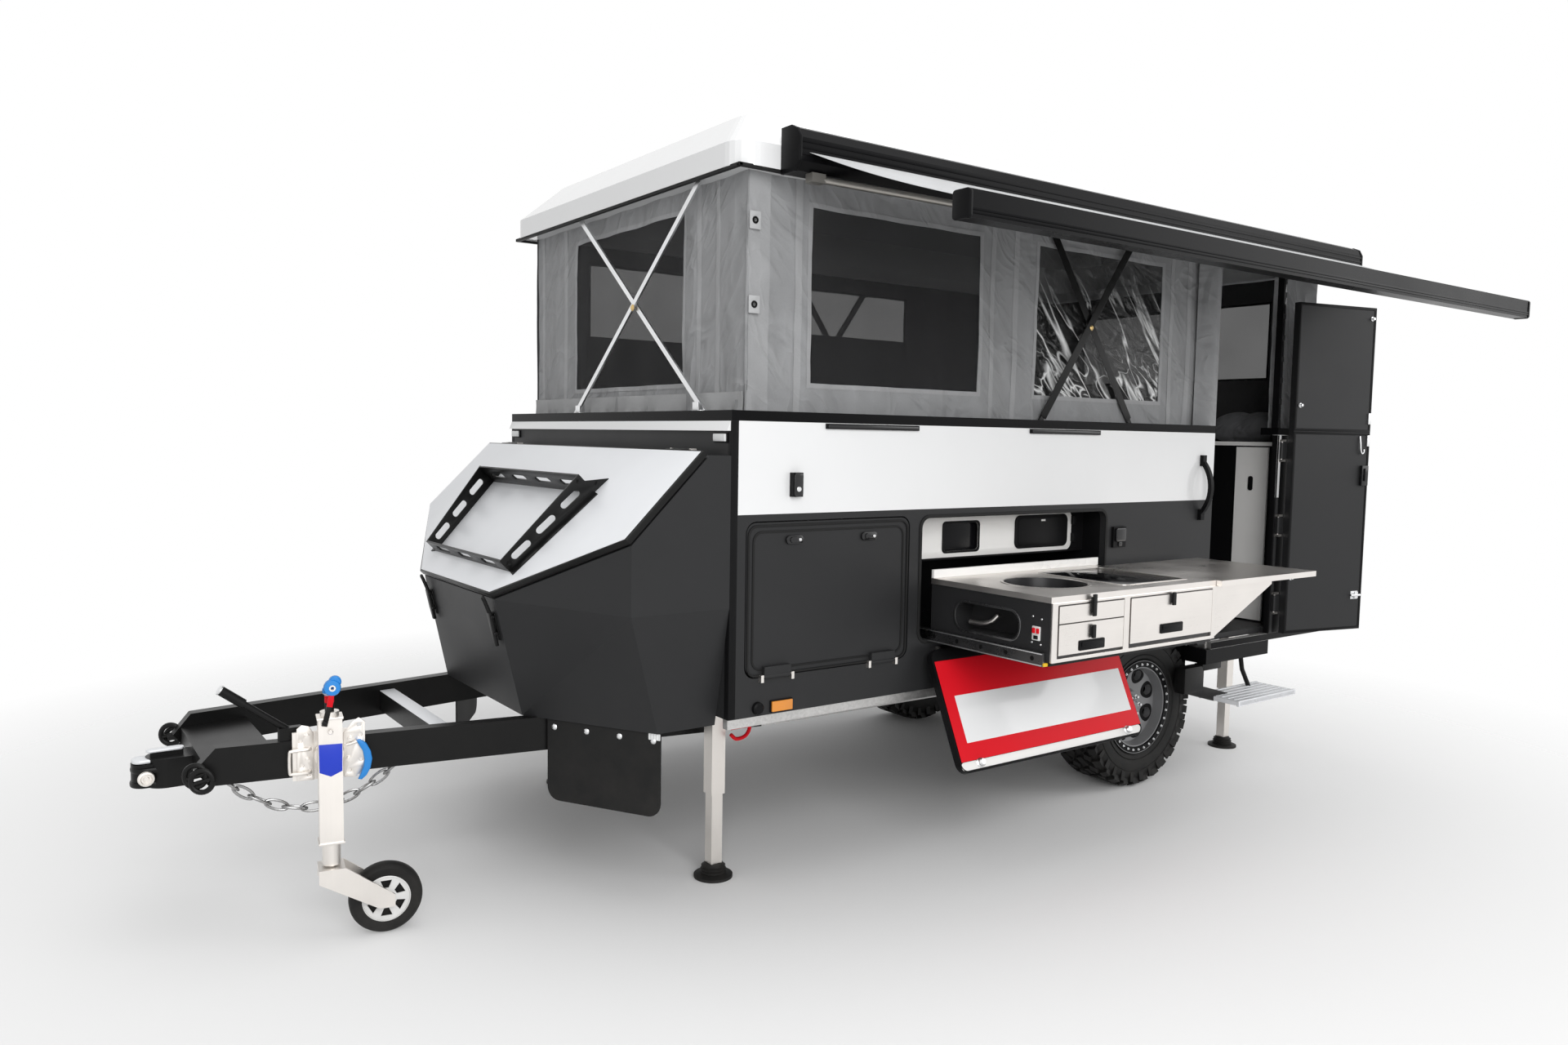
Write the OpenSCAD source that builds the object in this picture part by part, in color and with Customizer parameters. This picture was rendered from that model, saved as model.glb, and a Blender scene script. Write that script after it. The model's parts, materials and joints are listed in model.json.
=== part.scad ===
// Off-road camper trailer with a raised pop-top roof, slide-out kitchen and side awning
// Millimetres: X runs rearward from the coupling, Y to the trailer's right, Z up

/* [Body] */
// Distance from the coupling pin to the front face of the body
hitch_to_body = 1650; // [1400:10:2000]
// Length of the body
body_len = 4000; // [3800:10:4400]
// Width of the body
body_w = 2000; // [1900:10:2200]
// Height of the body's underside above the ground
floor_z = 700; // [680:5:760]
// Height of the dark lower walls
lower_h = 735; // [720:5:820]
// Height of the pale band above the lower walls
band_h = 333; // [280:1:400]
// Height of the dark rail along the wall tops
rail_h = 37; // [25:1:60]
// Thickness of the walls and the floor
wall_t = 30; // [24:1:40]

/* [Roof and tent] */
// Height of the tent between the wall rail and the roof
tent_h = 850; // [840:5:1000]
// Height of the roof shell
roof_h = 230; // [180:5:280]
// Thickness of the roof shell
roof_t = 14; // [8:1:20]
// Inset of the tent walls from the body sides
tent_in = 70; // [60:1:85]
// Thickness of the tent cloth and its window sheets
cloth_t = 6; // [4:1:10]
// Distance of the tent's front wall behind the body's front face
tent_x = 100; // [90:1:105]

/* [Doorway] */
// Distance of the doorway behind the axle
door_back = 373; // [368:1:400]
// Width of the doorway
door_w = 570; // [520:1:600]
// Top of the door above the wall rail
door_rise = 660; // [600:5:680]
// Thickness of the door
door_t = 35; // [28:1:40]
// Angle by which the door stands open
door_open = 167; // [150:1:170]

/* [Hatches] */
// Distance of the boot hatch behind the body's front face
boot_x = 65; // [60:1:90]
// Width of the wall between the boot hatch and the kitchen opening
boot_gap = 62; // [55:1:80]
// Height of the boot hatch opening
boot_h = 570; // [520:1:575]
// Distance of the kitchen opening ahead of the axle
kit_ahead = 457; // [440:1:470]
// Width of the kitchen opening
kit_w = 1145; // [1120:1:1160]
// Height of the kitchen opening
kit_h = 500; // [460:1:505]
// Angle by which the kitchen hatch hangs open
kit_open = 155.5; // [150:0.5:165]
// Thickness of the hatches
hatch_t = 30; // [24:1:34]
// Distance from the wall face to the hinge pins
hinge_off = 10; // [10:1:14]

/* [Kitchen] */
// Length of the kitchen box along the body
cab_l = 1000; // [960:5:1040]
// Reach of the kitchen box out from the body side
cab_d = 620; // [560:5:680]
// Height of the kitchen box
cab_h = 218; // [200:1:240]
// Thickness of the kitchen's worktop
top_t = 22; // [16:1:30]
// Length of the folding side table
flap_l = 725; // [600:5:800]
// Width of the folding side table
flap_w = 600; // [500:5:610]
// Radius of the sink
sink_r = 165; // [140:1:170]

/* [Wheels] */
// Outside diameter of the tyres
tyre_d = 800; // [760:2:810]
// Width of the tyres
tyre_w = 265; // [235:1:285]
// Diameter of the rims where the tyres sit
rim_d = 450; // [430:2:480]
// Distance of the tyres' centre planes inside the body's sides
wheel_in = 225; // [215:1:235]
// Share of the body's length that lies ahead of the axle
axle_share = 0.628; // [0.62:0.001:0.64]
// Radius of the wheel arches
arch_r = 430; // [425:1:440]
// Radius of the stub axles
stub_r = 30; // [26:1:36]

/* [Drawbar] */
// Height of the drawbar rails and the chassis rails
bar_h = 125; // [100:1:130]
// Thickness of the drawbar rails and the chassis rails
bar_t = 50; // [40:1:60]
// Spread of the drawbar rails at the front, from the centreline
bar_y0 = 260; // [230:1:280]
// Distance of the chassis rails inside the body's sides
bar_side = 400; // [390:1:420]
// Length of the drawbar under the body
bar_in = 405; // [380:1:500]
// Height of the coupling's mouth above the ground
hitch_z = 490; // [480:1:505]
// Radius of the coupling's pin socket
socket_r = 25; // [20:0.5:28]

/* [Jockey wheel] */
// Distance of the jockey bracket behind the coupling pin
jock_x = 447; // [430:1:520]
// Distance of the jockey tube from the drawbar rail
jock_off = 100; // [96:1:120]
// Width of the jockey tube
jock_w = 74; // [66:1:80]
// Diameter of the jockey wheel
jwheel_d = 240; // [220:2:260]
// Trail of the jockey wheel behind its swivel
jock_trail = 170; // [165:1:185]

/* [Awning] */
// Reach of the awning out from its case
awn_out = 765; // [740:5:800]
// Drop of the awning from its case to its lead rail
awn_drop = 275; // [240:5:280]
// Depth of the awning case
awn_d = 105; // [90:1:120]
// Height of the awning case
awn_h = 155; // [140:1:170]

/* [Nose box] */
// Reach of the nose box ahead of the body
nose_l = 630; // [600:5:660]
// Half width of the nose box across its front face
nose_y = 395; // [370:1:420]
// Thickness of the nose box's walls
nose_t = 14; // [8:1:20]
// Thickness of the nose box's lid
lid_t = 26; // [20:1:40]

/* [Hidden] */
$fn = 48;
x0 = hitch_to_body;
x1 = x0 + body_len;
w2 = body_w / 2;
in_y = w2 - wall_t;
band_z = floor_z + lower_h;
rail_z = band_z + band_h;
deck_z = rail_z + rail_h;
roof_z = deck_z + tent_h;
side_h = 35;
bar_top = floor_z - side_h;
bar_bot = bar_top - bar_h;
bar_end = x0 + bar_in;
bar_x0 = 60;
bar_y1 = w2 - bar_side;
bar_k = (bar_y1 - bar_y0) / (bar_end - bar_x0);
bar_a = atan(bar_k);
tent_y = w2 - tent_in;
wheel_x = x0 + axle_share * body_len;
wheel_y = w2 - wheel_in;
wheel_r = tyre_d / 2;
rim_r = rim_d / 2;
floor_top = floor_z + wall_t;
door_x0 = wheel_x + door_back;
door_x1 = door_x0 + door_w;
door_x = door_x0 - x0;
door_ax = door_x1 + 25;
hinge_y = w2 + hinge_off;
kit_x1 = wheel_x - kit_ahead;
kit_x0 = kit_x1 - kit_w;
boot_x0 = x0 + boot_x;
boot_w = kit_x0 - boot_gap - boot_x0;
boot_z = floor_z + 140;
kit_z = floor_z + 200;
kit_hz = kit_z - 36;
cab_x0 = kit_x0 + 60;
cab_x1 = cab_x0 + cab_l;
cab_z = kit_z + 15;
cab_top = cab_z + cab_h;
cab_y0 = -w2 - 5;
cab_y1 = cab_y0 - cab_d;
awn_x0 = x0 + 200;
awn_x1 = x1 + 10;
awn_z = roof_z - 15;
cloth_z = awn_z + 60;
rail_y = -w2 - awn_d - awn_out;
awn_l = awn_x1 - awn_x0;
cross_x = [134, kit_x0 - x0 - 10, kit_x1 - x0 + 5, door_x + 75, body_len - 450, body_len - 80];
rear_x = x1 - wall_t - 370;
sink_x = cab_x0 + 0.3 * cab_l;
sink_y = cab_y1 + 0.468 * cab_d;
pivot_z = bar_top - 45;
knuckle_r = 9;
pin_r = 5;
play = 0.3;
tread_r = wheel_r - 14;
lugs = 24;

// Puts the coupling's mouth at the origin
module place() {
    translate([0, 0, -hitch_z]) children();
}

// Block between two corners
module box(a, b) {
    translate(a) cube(b - a);
}

// The same shape on both sides of the centreline
module both() {
    children();
    mirror([0, 1, 0]) children();
}

// Round bar between two points
module rod(a, b, r) {
    d = b - a;
    l = norm(d);
    translate(a) rotate([0, acos(d.z / l), atan2(d.y, d.x)]) cylinder(r = r, h = l, $fn = 24);
}

// Cylinder along Y
module yrod(x, y, z, r, l) {
    translate([x, y, z]) rotate([-90, 0, 0]) cylinder(r = r, h = l);
}

// Cylinder along X
module xrod(x, y, z, r, l) {
    translate([x, y, z]) rotate([0, 90, 0]) cylinder(r = r, h = l);
}

// Flat shape drawn in X and Z, as thick as t, running from y to y + t
module side_plate(y, t) {
    translate([0, y + t, 0]) rotate([90, 0, 0]) linear_extrude(t) children();
}

// Rounded rectangle from a corner
module round_rect(x, z, w, h, r) {
    hull() {
        translate([x + r, z + r]) circle(r = r, $fn = 24);
        translate([x + w - r, z + r]) circle(r = r, $fn = 24);
        translate([x + r, z + h - r]) circle(r = r, $fn = 24);
        translate([x + w - r, z + h - r]) circle(r = r, $fn = 24);
    }
}

// Distance of the drawbar rail's middle from the centreline
function bar_y(x) = bar_y0 + (x - bar_x0) * bar_k;

// Half width of a drawbar rail measured along Y
function bar_half() = bar_t / 2 / cos(bar_a);

module chassis() {
    g = 0.3;
    color("DarkGray") place() {
        both() box([bar_end, -bar_y1 - bar_t / 2, bar_bot], [x1 - 60, -bar_y1 + bar_t / 2, bar_top - g]);
        for (x = cross_x)
            box([x0 + x - 25, -w2 + 35 + g, bar_top], [x0 + x + 25, w2 - 35 - g, floor_z]);
        box([wheel_x - 25, -bar_y1 - bar_t / 2, bar_top], [wheel_x + 25, bar_y1 + bar_t / 2, floor_z]);
        both() {
            box([x0, -w2 + 5, bar_top], [wheel_x - arch_r, -w2 + 35, floor_z]);
            box([wheel_x + arch_r, -w2 + 5, bar_top], [x1, -w2 + 35, floor_z]);
        }
    }
}

// One drawbar rail on the left side, with a pointed front end
module drawbar_side() {
    h = bar_half();
    intersection() {
        translate([0, 0, bar_bot - 1]) linear_extrude(bar_h + 2) polygon([
            [bar_x0 - 20, -bar_y(bar_x0 - 20) - h], [bar_end, -bar_y1 - h],
            [bar_end, -bar_y1 + h], [bar_x0 - 20, -bar_y(bar_x0 - 20) + h]
        ]);
        side_plate(-w2, w2) polygon([
            [bar_x0 - 10, bar_bot + 0.45 * bar_h], [bar_x0 + 50, bar_top], [bar_end, bar_top],
            [bar_end, bar_bot], [bar_x0 + 30, bar_bot]
        ]);
    }
}

// Crosspiece between the drawbar rails from xa to xb
module drawbar_cross(xa, xb, z) {
    h = bar_half() + 0.3;
    translate([0, 0, bar_bot + 20]) linear_extrude(z) polygon([
        [xa, -bar_y(xa) + h], [xb, -bar_y(xb) + h], [xb, bar_y(xb) - h], [xa, bar_y(xa) - h]
    ]);
}

module drawbar() {
    color("Black") place() {
        both() drawbar_side();
        drawbar_cross(75, 300, 60);
        drawbar_cross(820, 880, 80);
    }
}

module coupling() {
    color("DimGray") place() difference() {
        union() {
            translate([0, 0, hitch_z]) cylinder(r = 62, h = 100);
            box([0, -62, hitch_z], [75, 62, hitch_z + 100]);
            box([-62, -44, hitch_z + 8], [0, 44, hitch_z + 84]);
            translate([-62, 0, hitch_z + 8]) cylinder(r = 44, h = 76);
            yrod(-66, -60, hitch_z + 46, 19, 120);
            box([-48, -14, hitch_z + 84], [52, 14, hitch_z + 122]);
        }
        translate([0, 0, hitch_z - 1]) cylinder(r = socket_r, h = 71);
    }
}

module brake_lever() {
    y = -bar_y(340);
    color("Black") place() {
        box([300, y - 16, bar_top], [372, y + 16, bar_top + 44]);
        rod([336, y, bar_top + 30], [146, y + 10, bar_top + 178], 11);
        rod([196, y + 7.4, bar_top + 139], [126, y + 11, bar_top + 193.6], 16);
    }
}

// Middle line of the hanging chain at share t of its span
function chain_at(t) = [
    150 + 510 * t, -bar_y(150 + 510 * t) + 76 * t * (1 - t), bar_bot - 472 * t * (1 - t)
];

// Direction of the hanging chain at share t
function chain_dir(t) = [510, -510 * bar_k + 76 * (1 - 2 * t), -472 * (1 - 2 * t)];

// Length of the hanging chain from share t to its end
function chain_len(t) = t > 0.985 ? 0 : norm(chain_at(t + 0.02) - chain_at(t)) + chain_len(t + 0.02);

// Shares at which links sit, one step of length apart
function chain_steps(t, step) =
    t > 1.02 ? [] : concat([t], chain_steps(t + step / norm(chain_dir(min(1, t + 0.025))), step));

// One flat link standing along Z
module chain_link() {
    rotate([90, 0, 0]) translate([0, 0, -4.5]) linear_extrude(9) difference() {
        polygon([[-16, -15], [-8, -26], [8, -26], [16, -15], [16, 15], [8, 26], [-8, 26], [-16, 15]]);
        polygon([[-7, -12], [-4, -17], [4, -17], [7, -12], [7, 12], [4, 17], [-4, 17], [-7, 12]]);
    }
}

module safety_chains() {
    t = chain_steps(0, chain_len(0) / 16);
    color("Silver") place() both() difference() {
        for (i = [0 : len(t) - 1]) {
            d = chain_dir(t[i]);
            translate(chain_at(t[i])) rotate([0, acos(d[2] / norm(d)), atan2(d[1], d[0])])
                rotate([0, 0, 45 + 90 * i]) chain_link();
        }
        box([0, -w2, bar_bot], [x0, 0, bar_bot + 60]);
    }
}

// Puts the jockey's tube axis upright beside the left drawbar rail
module jockey_place() {
    translate([jock_x, -bar_y(jock_x) - bar_half(), 0]) rotate([0, 0, -bar_a])
        translate([0, -jock_off, 0]) children();
}

module jockey_clamp() {
    color("Silver") place() jockey_place() {
        box([-112, jock_off - 12, bar_bot - 10], [112, jock_off - 0.2, bar_top + 30]);
        yrod(0, jock_w / 2 + 6, pivot_z, 46, jock_off - jock_w / 2 - 18);
        yrod(0, 4, pivot_z, 15, jock_w / 2 + 3);
    }
}

module trailing_arms() {
    color("DimGray") place() both() {
        side_plate(-bar_y1 - 10, 80) polygon([
            [wheel_x - 560, bar_bot], [wheel_x - 430, bar_bot], [wheel_x - 420, bar_bot - 40],
            [wheel_x - 100, wheel_r + 62], [wheel_x + 15, wheel_r + 62],
            [wheel_x + 55, wheel_r + 50], [wheel_x + 55, wheel_r - 50],
            [wheel_x - 40, wheel_r - 55], [wheel_x - 470, bar_bot - 130], [wheel_x - 560, bar_bot - 90]
        ]);
        yrod(wheel_x, -wheel_y - 62, wheel_r, stub_r, wheel_y + 62 - bar_y1);
        yrod(wheel_x, -wheel_y + 50, wheel_r, 140, 14);
    }
}

module coil_springs() {
    z0 = wheel_r + 62;
    x = wheel_x - 40;
    color("DarkRed") place() both() translate([x, -bar_y1 + 20, z0]) {
        n = 4;
        p = (bar_bot - z0) / n;
        cylinder(r = 34, h = bar_bot - z0);
        for (i = [0 : n - 1]) translate([0, 0, p * (i + 0.25)]) cylinder(r = 46, h = p / 2);
    }
}

module wheel_guards() {
    color("Black") place() both() difference() {
        intersection() {
            side_plate(-in_y, in_y - bar_y1 - 5) translate([wheel_x, wheel_r]) circle(r = arch_r + 10, $fn = 240);
            box([wheel_x - arch_r - 20, -w2, floor_z], [wheel_x + arch_r + 20, 0, floor_z + 300]);
        }
        side_plate(-in_y - 1, in_y - bar_y1 - 15) translate([wheel_x, wheel_r]) circle(r = arch_r, $fn = 240);
    }
}

module body_floor() {
    c = arch_r + 12;
    s = sqrt(c * c - (floor_z - wheel_r) * (floor_z - wheel_r));
    color("DimGray") place() difference() {
        box([x0 + wall_t, -in_y, floor_z], [x1 - wall_t, in_y, floor_top]);
        both() box([wheel_x - s, -w2, floor_z - 1], [wheel_x + s, -bar_y1 - 5, floor_top + 1]);
        box([door_x0, -w2, floor_z - 1], [door_x1, -w2 + door_t + 15, floor_top + 1]);
    }
}

// Outline of a side's lower wall with its wheel arch and boot hatch opening
module lower_side() {
    difference() {
        translate([x0 + wall_t, floor_z]) square([body_len - 2 * wall_t, lower_h]);
        translate([wheel_x, wheel_r]) circle(r = arch_r, $fn = 240);
        round_rect(boot_x0, boot_z, boot_w, boot_h, 45);
    }
}

module wall_left() {
    color("DimGray") place() side_plate(-w2, wall_t) difference() {
        lower_side();
        round_rect(kit_x0, kit_z, kit_w, kit_h, 40);
        translate([door_x0, floor_z - 1]) square([door_w, lower_h + 2]);
    }
}

module wall_right() {
    color("DimGray") place() side_plate(in_y, wall_t) lower_side();
}

module wall_front() {
    color("DimGray") place() box([x0, -w2, floor_z], [x0 + wall_t, w2, rail_z]);
}

module wall_rear() {
    color("DimGray") place() box([x1 - wall_t, -w2, floor_z], [x1, w2, rail_z]);
}

module side_bands() {
    color("White") place() {
        difference() {
            box([x0 + wall_t, -w2, band_z], [x1 - wall_t, -in_y, rail_z]);
            box([door_x0, -w2 - 1, band_z - 1], [door_x1, -in_y + 1, rail_z + 1]);
        }
        box([x0 + wall_t, in_y, band_z], [x1 - wall_t, w2, rail_z]);
    }
}

module top_rail() {
    color("Black") place() difference() {
        box([x0, -w2, rail_z], [x1, w2, deck_z]);
        box([x0 + 115, -w2 + 100, rail_z - 1], [x1 - 115, w2 - 100, deck_z + 1]);
        box([door_x0, -w2 - 1, rail_z - 1], [door_x1, -w2 + 101, deck_z + 1]);
    }
}

module sill_box() {
    color("Black") place()
        box([door_x0 + 20, -w2 + 5, bar_top - 75], [door_x1 + 15, -w2 + 140, bar_top]);
}

module door_posts() {
    color("Black") place() {
        box([door_x0 - 28, -w2 + 4, deck_z], [door_x0, -w2 + 40, roof_z]);
        box([door_x1, -w2 + 4, deck_z], [door_x1 + 28, -w2 + 40, roof_z]);
    }
}

// Nose box outline at a height: s is the inset
module nose_slab(z, back, wide, front, half, s) {
    translate([x0, 0, z]) linear_extrude(1) polygon([
        [-s / 2, wide - s], [back, wide - s], [front + s, half - s / 2],
        [front + s, -half + s / 2], [back, -wide + s], [-s / 2, -wide + s]
    ]);
}

// Nose box body: s is the inset of its faces and up the rise of its top plane
module nose_form(s, up) {
    z1 = deck_z - 160;
    hull() {
        nose_slab(bar_top + s, -236, w2 - 90, -nose_l + 100, nose_y + 15, s);
        nose_slab(z1 - nose_l + 90 - 1, -390, w2, -nose_l, nose_y, s);
        translate([0, 0, up]) nose_slab(z1 - nose_l + 90 - 1, -390, w2, -nose_l, nose_y, s);
        translate([x0 - 390, -w2 + s, z1 - 301 + up]) cube([1, body_w - 2 * s, 1]);
        translate([x0 - 90, -w2 + s, z1 - 1 + up]) cube([90 - s / 2, body_w - 2 * s, 1]);
    }
}

module nose_box() {
    z1 = deck_z - 160;
    color("DimGray") place() difference() {
        nose_form(0, 0);
        intersection() {
            nose_form(nose_t, 200);
            union() {
                box([x0 - nose_l, -w2, 0], [x0 - 120, w2, z1 + 300]);
                box([x0 - 130, -w2, 0], [x0 - nose_t, w2, z1 - 40]);
            }
        }
    }
}

module stone_flaps() {
    a = atan2(460, 270);
    color("Black") place() both() {
        translate([x0 - 462, -bar_y(x0 - 462) - 42, bar_top - 305]) rotate([90, 0, -a]) linear_extrude(6)
            difference() {
                round_rect(0, 0, 480, 380, 50);
                translate([-1, 304.8]) square([530, 100]);
            }
        box([x0 + cross_x[3] - 31.2, -w2 + 145, 250], [x0 + cross_x[3] - 25.2, -wheel_y + 130, floor_z]);
    }
}

module stabiliser_legs() {
    y = -bar_y1 - 100;
    z = bar_top / 2;
    color("Silver") place() both() for (x = [cross_x[0], cross_x[4]]) translate([x0 + x, y, 0]) {
        box([-30, -30, z], [30, 30, bar_top]);
        box([-24, -24, 9], [24, 24, z + 1]);
        cylinder(r = 75, h = 10);
        cylinder(r = 38, h = 26);
    }
}

module entry_step() {
    xa = door_x0 + 115;
    color("Silver") place() {
        box([xa, -w2 - 130, 385], [xa + door_w - 40, -w2 + 100, 415]);
        side_arm(xa + door_w - 150);
        box([door_x0 - 145, -w2 + 10, 450], [door_x0 + 20, -w2 + 75, 585]);
        box([door_x0, -w2 + 10, 556], [door_x0 + 165, -w2 + 60, bar_top - 75]);
        side_plate(-w2 + 14, 30) polygon([
            [door_x0 - 120, 452], [door_x0, 480], [xa + 130, 414], [xa + 130, 386], [xa + 4, 386]
        ]);
    }
}

// Arm that hangs the step from the sill
module side_arm(x) {
    translate([x, 0, 0]) rotate([90, 0, 90]) linear_extrude(14) polygon([
        [-w2 + 130, bar_top - 75], [-w2 + 60, bar_top - 75], [-w2 - 30, 415], [-w2 + 60, 415]
    ]);
}

// Roof form: s is the inset of its faces
module roof_form(s) {
    xr = x0 + 15;
    hull() {
        translate([0, 0, roof_z]) linear_extrude(84)
            round_rect(xr + s, -w2 + s, body_len - 2 * s, body_w - 2 * s, 90);
        translate([0, 0, roof_z + roof_h - 1 - s]) linear_extrude(1)
            round_rect(xr + 150 + s, -w2 + 150 + s, body_len - 300 - 2 * s, body_w - 300 - 2 * s, 90);
    }
}

module roof_shell() {
    color("White") place() difference() {
        roof_form(0);
        difference() {
            roof_form(roof_t);
            box([x0, -w2, roof_z], [x1 + 20, w2, roof_z + roof_t]);
        }
        box([x0 + 15 + 110, -w2 + 100, roof_z - 1], [x1 - 95, w2 - 100, roof_z + roof_t + 1]);
    }
}

// Window openings of the tent's sides
module tent_side_windows() {
    for (k = [0.135, 0.563])
        translate([x0 + k * door_x, deck_z + 0.13 * tent_h]) square([0.305 * door_x, 0.758 * tent_h]);
}

// Window opening across the tent's front or rear wall: k is its share of the width
module tent_end_window(x, k, za, zb) {
    box([x - 50, -k * tent_y, deck_z + za * tent_h], [x + 50, k * tent_y, deck_z + zb * tent_h]);
}

// Openings of the front and rear windows
module tent_end_windows() {
    tent_end_window(x0 + tent_x, 0.52, 0.13, 0.9);
    tent_end_window(x1 - 105, 0.705, 0.347, 0.841);
}

module tent_walls() {
    g = cloth_t + 0.3;
    color("Gray") place() {
        difference() {
            for (x = [x0 + tent_x, x1 - 105 - cloth_t])
                box([x, -tent_y + g, deck_z], [x + cloth_t, tent_y - g, roof_z]);
            tent_end_windows();
        }
        side_plate(-tent_y, cloth_t) difference() {
            union() {
                translate([x0 + tent_x, deck_z]) square([door_x - tent_x - 28, tent_h]);
                translate([door_x1 + 28, deck_z]) square([x1 - 105 - door_x1 - 28, tent_h]);
            }
            tent_side_windows();
        }
        side_plate(tent_y - cloth_t, cloth_t) difference() {
            translate([x0 + tent_x, deck_z]) square([body_len - 105 - tent_x, tent_h]);
            tent_side_windows();
        }
    }
}

module tent_windows() {
    color("LightGray") place() {
        intersection() {
            for (x = [x0 + tent_x + 2, x1 - 105 - cloth_t + 2])
                box([x, -tent_y, deck_z], [x + 2, tent_y, roof_z]);
            tent_end_windows();
        }
        side_plate(-tent_y + 2, 2) tent_side_windows();
        side_plate(tent_y - 4, 2) tent_side_windows();
    }
}

// Crossed flat arms between the wall rail and the roof, in a plane at y
module strut_pair(xa, w, y) {
    for (s = [0, 1]) {
        a = atan2(tent_h - 30, w - 30);
        l = norm([tent_h - 30, w - 30]);
        translate([s == 0 ? xa : xa + w, y + s * 9, deck_z]) intersection() {
            translate([0, 0, 15]) rotate([0, s == 0 ? -a : a - 180, 0])
                translate([-60, 0, -11]) cube([l + 120, 8, 22]);
            translate([-w - 60, -1, 0]) cube([2 * w + 120, 12, tent_h]);
        }
    }
}

module roof_struts() {
    color("Silver") place() translate([x0 + 45, 0, 0]) rotate([0, 0, -90])
        strut_pair(-0.35 * w2, 1.05 * w2, 0);
}

module side_struts() {
    color("Black") place() {
        strut_pair(x0 + 0.575 * door_x, 0.2115 * door_x, -tent_y - 22);
        strut_pair(x0 + 0.575 * door_x, 0.2115 * door_x, tent_y + 5);
    }
}

module awning_case() {
    color("Black") place() translate([awn_x0, 0, 0]) rotate([90, 0, 90]) linear_extrude(awn_l) polygon([
        [-w2 - 0.2, awn_z], [-w2 - 0.2, awn_z + awn_h], [-w2 - awn_d + 45, awn_z + awn_h],
        [-w2 - awn_d + 14, awn_z + awn_h - 14], [-w2 - awn_d, awn_z + awn_h - 45],
        [-w2 - awn_d, awn_z + 30], [-w2 - awn_d + 25, awn_z]
    ]);
}

module awning_cloth() {
    color("Silver") place() translate([awn_x0 + 40, 0, 0]) rotate([90, 0, 90])
        linear_extrude(awn_l - 80) polygon([
            [-w2 - awn_d - 0.2, cloth_z], [-w2 - awn_d - 0.2, cloth_z + 3],
            [rail_y + 0.2, cloth_z - awn_drop + 3], [rail_y + 0.2, cloth_z - awn_drop]
        ]);
}

module awning_rail() {
    color("Black") place()
        box([awn_x0, rail_y - 65, cloth_z - awn_drop - 72], [awn_x1, rail_y, cloth_z - awn_drop + 10]);
}

// Elbow arm under the cloth, from the case to the lead rail
module awning_arm(xa, xe, xb) {
    ya = -w2 - 0.72 * awn_d;
    ye = -w2 - awn_d - 0.42 * awn_out;
    a = [xa, ya, awn_z - 16];
    e = [xe, ye, cloth_z - 0.42 * awn_drop - 54];
    b = [xb, rail_y + 14, cloth_z - awn_drop - 32];
    box([xa - 30, ya - 20, awn_z - 32], [xa + 30, ya + 20, awn_z]);
    rod(a, e, 13);
    translate(e) cylinder(r = 22, h = 40, center = true);
    rod(e, b, 13);
    box([xb - 30, rail_y, cloth_z - awn_drop - 50], [xb + 30, rail_y + 28, cloth_z - awn_drop - 14]);
}

module awning_arms() {
    color("Silver") place() {
        awning_arm(awn_x0 + 90, awn_x0 + 0.34 * awn_l, awn_x0 + 200);
        awning_arm(awn_x1 - 90, awn_x1 - 0.34 * awn_l, awn_x1 - 200);
    }
}

module kitchen_bay() {
    ya = -in_y;
    yb = -0.43 * w2;
    yp = -0.872 * w2;
    color("White") place() {
        difference() {
            box([kit_x0 - 20, ya, kit_z - 25], [kit_x1 + 20, yb, kit_z + kit_h + 25]);
            box([kit_x0, ya - 1, kit_z], [kit_x1, yb - 20, kit_z + kit_h]);
        }
        difference() {
            box([kit_x0 - 5, yp, kit_z + 0.624 * kit_h], [kit_x1 + 5, yp + 12, kit_z + kit_h + 5]);
            side_plate(yp - 1, 14) translate([kit_x0, kit_z])
                round_rect(0.213 * kit_w, 0.684 * kit_h, 0.178 * kit_w, 0.236 * kit_h, 20);
        }
    }
}

module kitchen_slides() {
    color("Silver") place() {
        for (x = [cab_x0 - 18, cab_x1])
            box([x, cab_y1 + 16, kit_z], [x + 18, -0.48 * w2, kit_z + 50]);
    }
}

module kitchen_box() {
    color("DimGray") place() difference() {
        box([cab_x0, cab_y1, cab_z], [cab_x1, cab_y0, cab_top]);
        translate([cab_x0 - 1, 0, 0]) rotate([90, 0, 90]) linear_extrude(90)
            translate([cab_y1, cab_z])
                round_rect(0.242 * cab_d, 0.275 * cab_h, 0.532 * cab_d, 0.48 * cab_h, 0.23 * cab_h);
        box([cab_x0 + 0.49 * cab_l, cab_y1 + 14, cab_z + 14], [cab_x1 - 14, cab_y0 + 1, cab_top - 14]);
        translate([sink_x, sink_y, cab_top - 125]) cylinder(r = sink_r, h = 130);
    }
}

module kitchen_top() {
    color("Gainsboro") place() difference() {
        box([cab_x0 - 4, cab_y1 - 4, cab_top], [cab_x1 + 4, cab_y0, cab_top + top_t]);
        translate([sink_x, sink_y, cab_top - 1]) cylinder(r = sink_r, h = top_t + 2);
        translate([cab_x0, cab_y1, cab_top + top_t])
            box([0.53 * cab_l, 0.145 * cab_d, -8], [0.94 * cab_l, 0.855 * cab_d, 1]);
    }
}

module kitchen_drawers() {
    color("Silver") place() translate([cab_x0, cab_y1, cab_z]) {
        box([0.033 * cab_l, -12, 0.65 * cab_h], [0.4 * cab_l, 0, 0.94 * cab_h]);
        box([0.033 * cab_l, -12, 0.115 * cab_h], [0.4 * cab_l, 0, 0.628 * cab_h]);
        box([0.444 * cab_l, -12, 0.138 * cab_h], [0.97 * cab_l, 0, 0.94 * cab_h]);
    }
}

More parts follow.
